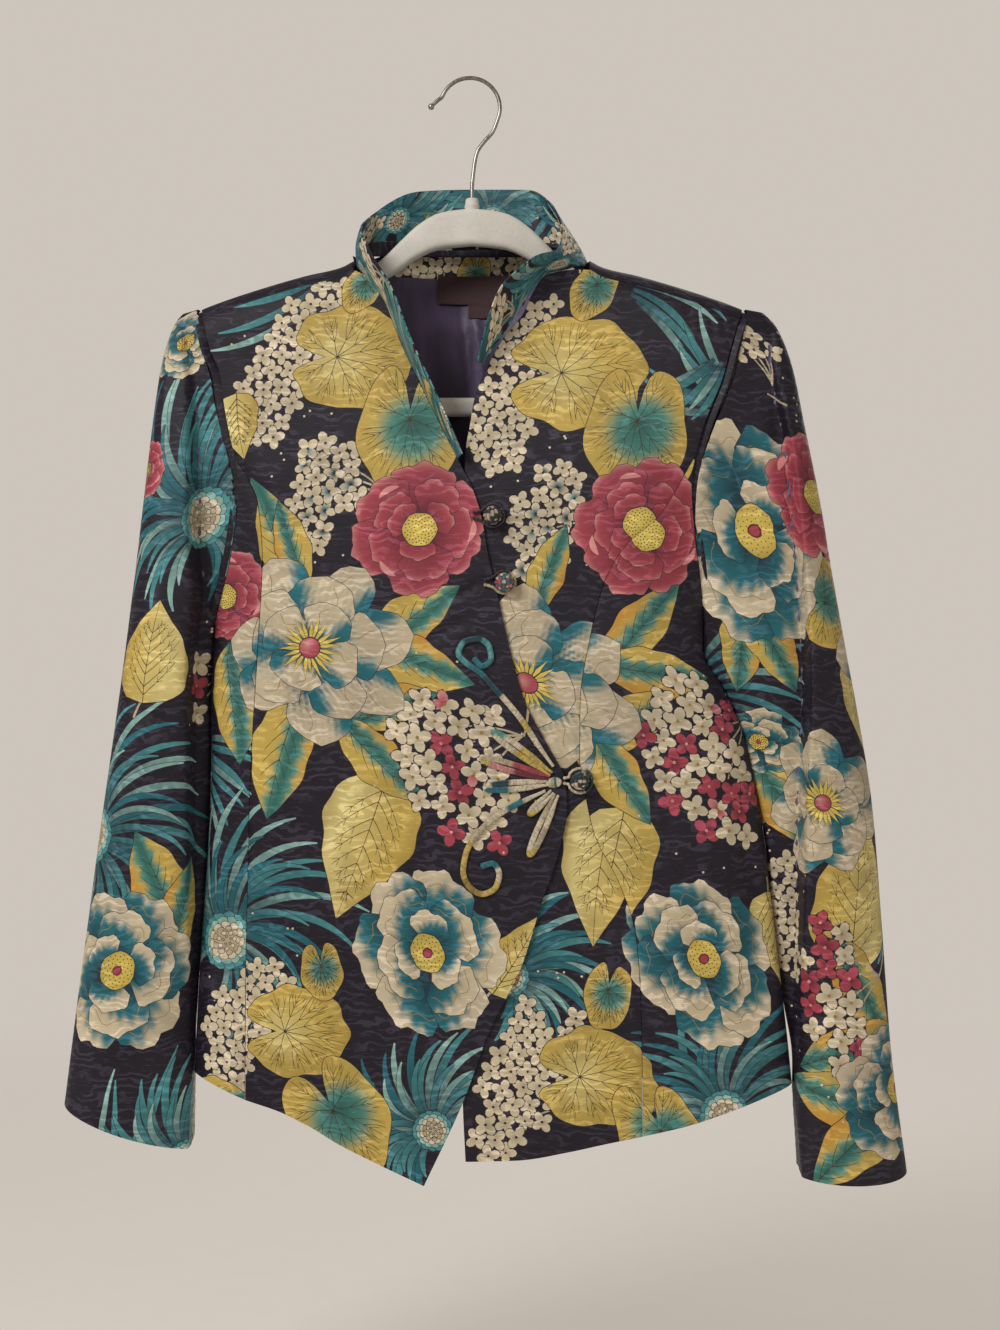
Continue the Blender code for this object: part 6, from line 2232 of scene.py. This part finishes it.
class MakeBack(bpy.types.Operator):
    """The back in one piece, brought over the shoulders to the seams before them"""

    bl_idname = "jacket.make_back"
    bl_label = "Back"

    def execute(self, context):
        sizes, tones = context.scene.jacket_sizes, tones_of(context)
        looks = [printed_satin(sizes, tones), lining_satin(tones)]
        cut, sides = back_cut([])
        right = self.edge(WHOLE_ARMHOLE_R, side_right_x, SIDE_R_HEM)
        left = self.edge(WHOLE_ARMHOLE_L, side_left_x, SIDE_L_HEM)
        across = np.linspace(left[0, 0], right[0, 0], 240)
        corners = [-NECK_HALF - 0.05, -NECK_HALF, NECK_HALF, NECK_HALF + 0.05]
        across = np.sort(np.concatenate([across, corners]))[::-1]
        top = stacked(across, neck_drop(across))
        share = np.linspace(1, 0, 140)
        hem_x = right[-1, 0] + share * (left[-1, 0] - right[-1, 0])
        hem_z = SIDE_R_HEM + share * (SIDE_L_HEM - SIDE_R_HEM) - BACK_HEM_DIP * np.sin(share * math.pi)
        hem = stacked(hem_x, shoulder(hem_x) - hem_z)
        outline = on_back(cut, sides, closed_line([top, right, hem[::-1], left[::-1]]))
        placed = repeated((-2, -1, 0, 1), (-860, -100), (4.0, 6.0))
        outer = print_on(outline, placed, tones, 0.3)
        obj = cloth_piece(
            "back_cloth", cut, outline, outer, plain(tones["lining"]), CLOTH, sizes.grid, looks
        )
        cloth_belongs(obj, "printed_satin", "hung", ["hanger_body"], "back")
        return {"FINISHED"}

    def edge(self, armhole, side, bottom):
        """One edge of the back as x and drop, from before the shoulder down the armhole and the side."""
        outline = np.asarray([row[::-1] for row in armhole[::-1]])
        at = monotone(outline[:, 0], outline[:, 1])
        top = float(shoulder(armhole[0][0]))
        low_z = armhole[-1][1]
        before = np.linspace(-SHOULDER_WRAP + SEAM / 2, -0.4, 12)
        drops = np.concatenate([before, np.linspace(0.4, top - low_z, 90)])
        z = top - np.abs(drops)
        x = at(z)
        rows = stacked(x, np.copysign(shoulder(x) - z, drops))
        rows[0, 1] = -SHOULDER_WRAP + SEAM / 2
        z = np.linspace(low_z, bottom, 90)[1:]
        x = side(z)
        return np.concatenate([rows, stacked(x, shoulder(x) - z)])


class MakeInside(bpy.types.Operator):
    """What shows inside the neck: printed facing, pleated lining, bare label and tab with their stitches"""

    bl_idname = "jacket.make_inside"
    bl_label = "Inside"

    def execute(self, context):
        sizes, tones = context.scene.jacket_sizes, tones_of(context)
        printed, satin = printed_satin(sizes, tones), lining_satin(tones)

        def behind(x, z, step=0.0):
            folds = np.minimum(creased(x, z, CREASES_LINING), PLEAT_LIMIT)
            return back_y(x, z) - creased(x, z, CREASES_BACK) - LINING_STEP + folds - step

        cut = body_cut(behind, [])
        across = np.linspace(-FACING_HALF, FACING_HALF, 60)
        top = stacked(across, shoulder(across) - neck_drop(across) + FACING_RISE)
        low = np.array([[FACING_HALF, FACING_BOTTOM], [-FACING_HALF, FACING_BOTTOM]])
        outline = on_body(cut, closed_line([top, dense(low, 3)]))
        rows = [("hydrangea", -34, -131, 30, 0.5, 8, 31), ("hydrangea", 30, -130, 34, 0.45, -6, 32),
                ("lobed", 2, -139, 18, 0.7, 80, 33), ("leaf", 62, -137, 24, 0.5, 20, 34)]
        outer = print_on(outline, placed_on(cut, rows, 1), tones)
        looks, inner = [printed, printed], plain(tones["ground"])
        obj = cloth_piece("neck_facing_cloth", cut, outline, outer, inner, CLOTH, sizes.grid, looks)
        cloth_belongs(obj, "printed_satin", "laid", ["back"], "back_neck_facing")

        share = np.linspace(-1, 1, 150)
        heights = np.linspace(float(shoulder(LINING_REACH)) - LINING_DROP, LINING_HEM, 160)
        right_x = body_edge(WHOLE_ARMHOLE_R, side_right_x, heights) + LINING_INSET
        left_x = body_edge(WHOLE_ARMHOLE_L, side_left_x, heights) - LINING_INSET
        right = stacked(right_x, heights)
        left = stacked(left_x, heights)
        x = np.where(share < 0, -share * right[0, 0], share * left[0, 0])
        top = stacked(x, np.minimum(LINING_TOP, shoulder(share * LINING_REACH) - LINING_DROP))
        bottom = dense(np.array([left[-1], right[-1]]), 4)
        outline = on_body(cut, closed_line([top, left, bottom, right[::-1]]))
        colour = plain(tones["lining"])
        obj = cloth_piece(
            "lining_back_cloth", cut, outline, colour, colour, CLOTH, sizes.grid, [satin, satin]
        )
        cloth_belongs(obj, "lining", "hung", ["back"], "lining_back")

        tape = label_tape(tones)
        smooth_cut = body_cut(lambda x, z: back_y(x, z) - LINING_STEP - LABEL_STEP, [])
        for name, left_x, right_x, high, low in LABELS:
            corners = np.array(
                [(left_x, high), (right_x, high), (right_x, low), (left_x, low), (left_x, high)], float
            )
            outline = on_body(smooth_cut, closed_line([dense(corners, 2.5)]))
            colour = plain(tones["label"])
            obj = cloth_piece(
                name + "_tape", smooth_cut, outline, colour, colour, LABEL_CLOTH, 3.0, [tape, tape]
            )
            cloth_belongs(obj, "label", "laid", ["lining_back_cloth"], name)
            inset = np.array([(1.3, -1.3), (-1.3, -1.3), (-1.3, 1.3), (1.3, 1.3), (1.3, -1.3)])
            stitched = corners + inset if name == "neck_label" else (corners + inset)[:2]
            around = on_body(smooth_cut, dense(stitched, 2.0))
            thread = smooth_cut.places(around) + smooth_cut.normals(around) * (LABEL_CLOTH / 2 + 0.12)
            values = {
                "Stitch": sizes.stitch, "Thread": sizes.thread, "Seed": 5, "Material": thread_look(tones)
            }
            stitches = grown_along(name + "_stitches", stitch_tree(), [thread], values)
            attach(stitches, "root")
        return {"FINISHED"}


class MakeCollar(bpy.types.Operator):
    """The stand collar, printed on both faces"""

    bl_idname = "jacket.make_collar"
    bl_label = "Collar"

    def execute(self, context):
        sizes, tones = context.scene.jacket_sizes, tones_of(context)
        satin = printed_satin(sizes, tones)
        cut = collar_cut()
        a, b = np.linspace(-1, 0, 240), np.linspace(0, 1, 12)
        edges = (
            (a, np.zeros(240)), (np.zeros(12), b), (a[::-1], np.ones(240)), (np.full(12, -1.0), b[::-1]),
        )
        outline = closed_line([cut.flat(side, share * COLLAR_HEIGHT) for side, share in edges])
        low, high = outline[:, 0].min(), outline[:, 0].max()
        outer = print_on(outline, self.print_rows(low, high, 0), tones)
        inner = print_on(outline, self.print_rows(low, high, 7), tones, 0.25)
        obj = cloth_piece("collar_cloth", cut, outline, outer, inner, CLOTH, 3.2, [satin, satin])
        cloth_belongs(
            obj, "printed_satin", "hung", ["front_right_centre", "front_left_centre", "back"], "collar"
        )
        self.neck_tape(cut, a, satin, tones["ground"])
        return {"FINISHED"}

    def neck_tape(self, cut, a, look, ground):
        """The bound seam allowance inside the neck, behind the edges that meet there."""
        low, high = cut.point(a, 0 * a), cut.point(a, 0 * a + 1)
        around = low[:, 2] > NECK_TAPE_LOW
        low, high = low[around], high[around]
        rise = unit(high - low)
        out = np.cross(rise, np.gradient(low, axis=0))
        out *= np.sign(out[:, :1] * low[:, :1] + out[:, 1:2] * low[:, 1:2])
        out = unit(out)
        seam_tape("neck_tape", low - out * TAPE_DEPTH - rise * NECK_TAPE_DROP, out, look, ground)

    def print_rows(self, low, high, seed):
        """Motifs along the collar, from the left front round the back to the right front."""
        rows = []
        kinds = ("mum", "hydrangea", "arcs", "mum", "hydrangea_teal", "arcs", "mum", "leaf")
        for step, x in enumerate(np.arange(low + 8, high, 34.0)):
            name = kinds[(step + seed) % len(kinds)]
            up = 22 + 12 * math.sin(step * 2.1 + seed)
            size = {"mum": 36, "hydrangea": 28, "hydrangea_teal": 26, "leaf": 22, "arcs": 24}[name]
            rows.append((name, (x, up), size, 0.7, 40 * step + seed * 15, step + seed + 60))
        return rows


class MakeSleeves(bpy.types.Operator):
    """The two sleeves, each one tube with its seam under the arm"""

    bl_idname = "jacket.make_sleeves"
    bl_label = "Sleeves"

    def execute(self, context):
        sizes, tones = context.scene.jacket_sizes, tones_of(context)
        looks = [printed_satin(sizes, tones), lining_satin(tones)]
        right = (SLEEVE_R, WHOLE_ARMHOLE_R, side_right_x, LOBE_EDGE_R, -1, CREASES_SLEEVE_R)
        left = (SLEEVE_L, WHOLE_ARMHOLE_L, side_left_x, LOBE_EDGE_L, 1, CREASES_SLEEVE_L)
        sleeves = (("sleeve_right", right, PRINT_SLEEVE_RIGHT), ("sleeve_left", left, PRINT_SLEEVE_LEFT))
        for name, facts, rows in sleeves:
            cut = sleeve_cut(*facts)
            outline = sleeve_outline(cut, len(facts[0]) - 1)
            outward = facts[4]
            behind = [
                row for row in repeated((-2, -1, 0, 1), (-870, -150), (2.0, 24.0 * outward))
                if row[1][0] * -outward < -8
            ]
            outer = print_on(outline, placed_on(cut, rows, -1) + behind, tones)
            obj = cloth_piece(
                name + "_cloth", cut, outline, outer, plain(tones["lining"]), CLOTH, sizes.grid, looks
            )
            cloth_belongs(
                obj, "printed_satin", "hung", ["back", name.replace("sleeve", "front") + "_centre"], name
            )
            x, y, z = armhole_ring(facts[1], round_line(120))
            inwards = unit(stacked(0 * x, -y, 0.35 * (z.mean() - z)))
            points = stacked(x, y, z) + inwards * TAPE_DEPTH
            seam_tape(
                name.replace("sleeve", "armhole") + "_tape", points, -inwards, looks[0], tones["ground"]
            )
        return {"FINISHED"}


class MakeButtons(bpy.types.Operator):
    """Knotted ball buttons and the cord loops that hold them"""

    bl_idname = "jacket.make_buttons"
    bl_label = "Buttons and loops"

    def execute(self, context):
        tones = tones_of(context)
        look = bias_satin()
        turns = np.radians(np.linspace(180 - LOOP_OPENING, LOOP_OPENING - 180, 61))
        for number, (name, x, z, radius, tail, ball_looks, loop_looks) in enumerate(BALLS):
            y = float(front_y(x, z)) - CLOTH / 2 - 1.3 * LAYER - BALL_RADIUS
            shades = [tones[tone] for tone in ball_looks]
            ball = knot_ball(
                "button_knot_" + name, np.array([x, y, z]), BALL_RADIUS, look, shades, number + 3
            )
            belongs(ball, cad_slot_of("button_" + name), "button_" + name)
            ring = [(x + radius * math.cos(a), z + radius * math.sin(a)) for a in turns]
            start = [(x - tail, z + 1.9), (x - tail + 3.5, z + 2.6)]
            end = [(x - tail + 3.5, z - 2.6), (x - tail, z - 1.9)]
            line = path(start + ring + end, 110)
            level = CLOTH / 2 + LAYER + LOOP_CORD_RADIUS
            depth = np.minimum(right_front_y(line[:, 0], line[:, 1]), right_front_y(x - radius, z)) - level
            points = stacked(line[:, 0], depth, line[:, 1])
            normals = np.tile((0.0, -1.0, 0.0), (len(points), 1))
            shades = shades_along(loop_looks, tones, len(points), number + 11)
            twist = 1 + 0.09 * np.sin(np.linspace(0, len(points) * 1.1, len(points)))
            thick = 2 * LOOP_CORD_RADIUS * twist
            cord = sweep("loop_cord_" + name, points, normals, thick, thick, look, shades)
            belongs(cord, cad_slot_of("loop_" + name), "loop_" + name)
        return {"FINISHED"}


class MakeFrog(bpy.types.Operator):
    """The frog beside the waist button: rolled bias strips in five flat loops and two long curls"""

    bl_idname = "jacket.make_frog"
    bl_label = "Frog"

    def execute(self, context):
        tones = tones_of(context)
        look = bias_satin()
        for index, ((degrees, length, half_width), names) in enumerate(zip(FROG_LOOPS, FROG_LOOKS)):
            first = math.acos(1 - 2 * (FROG_ROOT_REACH + 1.6) / length) / (2 * math.pi)
            share = np.linspace(first, 1 - first, 90)
            out = (1 - np.cos(2 * math.pi * share)) / 2
            aside = half_width * np.sin(2 * math.pi * share) * out**0.6
            aside = np.sign(aside) * np.maximum(np.abs(aside), 1.35 * np.minimum(1, (1 - out) * 8))
            angle = math.radians(degrees)
            x = FROG_CENTRE[0] + length * out * math.cos(angle) - aside * math.sin(angle)
            z = FROG_CENTRE[1] + length * out * math.sin(angle) + aside * math.cos(angle)
            widths = 2.0 + (STRAND_WIDTH - 2.0) * smoothstep((out * length - FROG_ROOT_REACH) / 20)
            shades = shades_along(names, tones, len(x), index + 21)
            self.strand(f"frog_loop_{index + 1}", stacked(x, z), widths, look, shades)
        for name, route, names in (
            ("frog_curl_upper", CURL_UPPER, CURL_LOOKS[0]), ("frog_curl_lower", CURL_LOWER, CURL_LOOKS[1])
        ):
            line = path(route, 130)
            widths = 2.4 + (STRAND_WIDTH - 2.4) * smoothstep(np.linspace(0, 6, len(line)))
            self.strand(name, line, widths, look, shades_along(names, tones, len(line), len(route) + 30))
        line = path(FROG_ROOT, 24)
        widths = np.interp(
            np.linspace(0, 1, 25), np.linspace(0, 1, len(FROG_ROOT_WIDTHS)), FROG_ROOT_WIDTHS
        )
        self.strand("frog_root", line, widths, look, shades_along(
            ("cream", "teal", "cream_shade", "cream"), tones, 25, 9
        ))
        return {"FINISHED"}

    def strand(self, name, line, widths, look, shades):
        """A padded bias strip laid on the wearer's right front."""
        points, normals = on_front(line, CLOTH / 2 + LAYER + STRAND_THICK / 2)
        obj = sweep(name + "_strip", points, normals, widths, STRAND_THICK, look, shades, 16)
        belongs(obj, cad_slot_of(name), name)


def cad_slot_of(node_name):
    """The slot that the CAD node already has."""
    return bpy.data.objects[node_name].material_slots[0].material.name


# Stage


class MakeStage(bpy.types.Operator):
    """Pale floor, soft light and the camera straight before the jacket"""

    bl_idname = "jacket.make_stage"
    bl_label = "Studio"

    def execute(self, context):
        studio, colours = context.scene.jacket_studio, context.scene.jacket_colours
        floor = self.floor(studio.floor_drop, linear(colours.floor))
        key = self.light("key_light", (-1.25, -1.45, 0.75), -0.45, 0.9, studio.key)
        fill = self.light("fill_light", (1.7, -1.5, -0.2), -0.45, 1.8, studio.fill)
        rear = self.light("rear_light", (0.7, 1.8, 0.45), -0.5, 1.6, studio.rear)
        world = bpy.data.worlds.new("studio_air")
        world.use_nodes = True
        tree = world.node_tree
        seen = node(tree, "ShaderNodeLightPath").outputs["Is Camera Ray"]
        strength = {"Value": seen, "To Min": studio.air, "To Max": 1.0}
        strength = node(tree, "ShaderNodeMapRange", strength).outputs["Result"]
        feed(tree, tree.nodes["Background"], {"Color": (*linear(colours.air), 1), "Strength": strength})
        context.scene.world = world
        lens = bpy.data.cameras.new("camera")
        lens.sensor_fit = "VERTICAL"
        lens.sensor_height = SENSOR
        lens.lens = SENSOR * studio.distance / studio.height
        camera = in_scene("camera", lens)
        camera.location = (studio.centre[0], studio.centre[1] - studio.distance, studio.centre[2])
        camera.rotation_euler = (math.pi / 2, 0, 0)
        context.scene.camera = camera
        context.scene.view_settings.view_transform = "Standard"
        return {"FINISHED"}

    def floor(self, drop, colour):
        """A wide disc whose rim fades away."""
        made = bmesh.new()
        bmesh.ops.create_circle(made, cap_ends=True, cap_tris=True, segments=96, radius=FLOOR_RADIUS)
        mesh = bpy.data.meshes.new("floor")
        made.to_mesh(mesh)
        made.free()
        look, tree, shader = new_look("matt_floor")
        grain = object_noise(tree, 30, 4.0)
        places = node(tree, "ShaderNodeTexCoord").outputs["Object"]
        away = node(tree, "ShaderNodeVectorMath", {0: places}, operation="LENGTH").outputs["Value"]
        finish = {
            "Base Color": two_tone(tree, grain, colour, 0.97, 1.03), "Roughness": 0.8,
            "Emission Color": (*colour, 1), "Emission Strength": FLOOR_GLOW,
            "Alpha": spread_out(tree, away, 0.7, 2.2, 1.0, 0.0),
        }
        feed(tree, shader, finish)
        mesh.materials.append(look)
        obj = in_scene("floor", mesh)
        obj.location = (0, 0, -drop)
        return obj

    def light(self, name, place, height, size, power):
        """A round soft light that looks at a height on the jacket's middle."""
        lamp = bpy.data.lights.new(name, "AREA")
        lamp.shape = "DISK"
        lamp.size = size
        lamp.energy = power
        obj = in_scene(name, lamp)
        obj.location = place
        obj.rotation_euler = (Vector((0, 0, height)) - Vector(place)).to_track_quat("-Z", "Y").to_euler()
        return obj


# Panel


STEPS = (
    MakeHanger, MakeInside, MakeBack, MakeFronts, MakeCollar, MakeSleeves, MakeButtons, MakeFrog, MakeStage
)


class JacketPanel(bpy.types.Panel):
    """Sizes, colours and steps of the jacket"""

    bl_idname = "VIEW3D_PT_tang_jacket"
    bl_label = "Tang jacket"
    bl_space_type = "VIEW_3D"
    bl_region_type = "UI"
    bl_category = "Tang jacket"

    def draw(self, context):
        groups = (
            ("Sizes", context.scene.jacket_sizes), ("Colours", context.scene.jacket_colours),
            ("Studio", context.scene.jacket_studio),
        )
        for title, group in groups:
            box = self.layout.box()
            box.label(text=title)
            for name in type(group).__annotations__:
                box.prop(group, name)
        for step in STEPS:
            self.layout.operator(step.bl_idname)


CLASSES = (JacketColours, JacketSizes, JacketStudio, *STEPS, JacketPanel)


def register():
    for item in CLASSES:
        bpy.utils.register_class(item)
    bpy.types.Scene.jacket_colours = bpy.props.PointerProperty(type=JacketColours)
    bpy.types.Scene.jacket_sizes = bpy.props.PointerProperty(type=JacketSizes)
    bpy.types.Scene.jacket_studio = bpy.props.PointerProperty(type=JacketStudio)


def unregister():
    del bpy.types.Scene.jacket_studio
    del bpy.types.Scene.jacket_sizes
    del bpy.types.Scene.jacket_colours
    for item in reversed(CLASSES):
        bpy.utils.unregister_class(item)


def main():
    register()
    for step in STEPS:
        family, name = step.bl_idname.split(".")
        getattr(getattr(bpy.ops, family), name)()


if __name__ == "__main__":
    main()
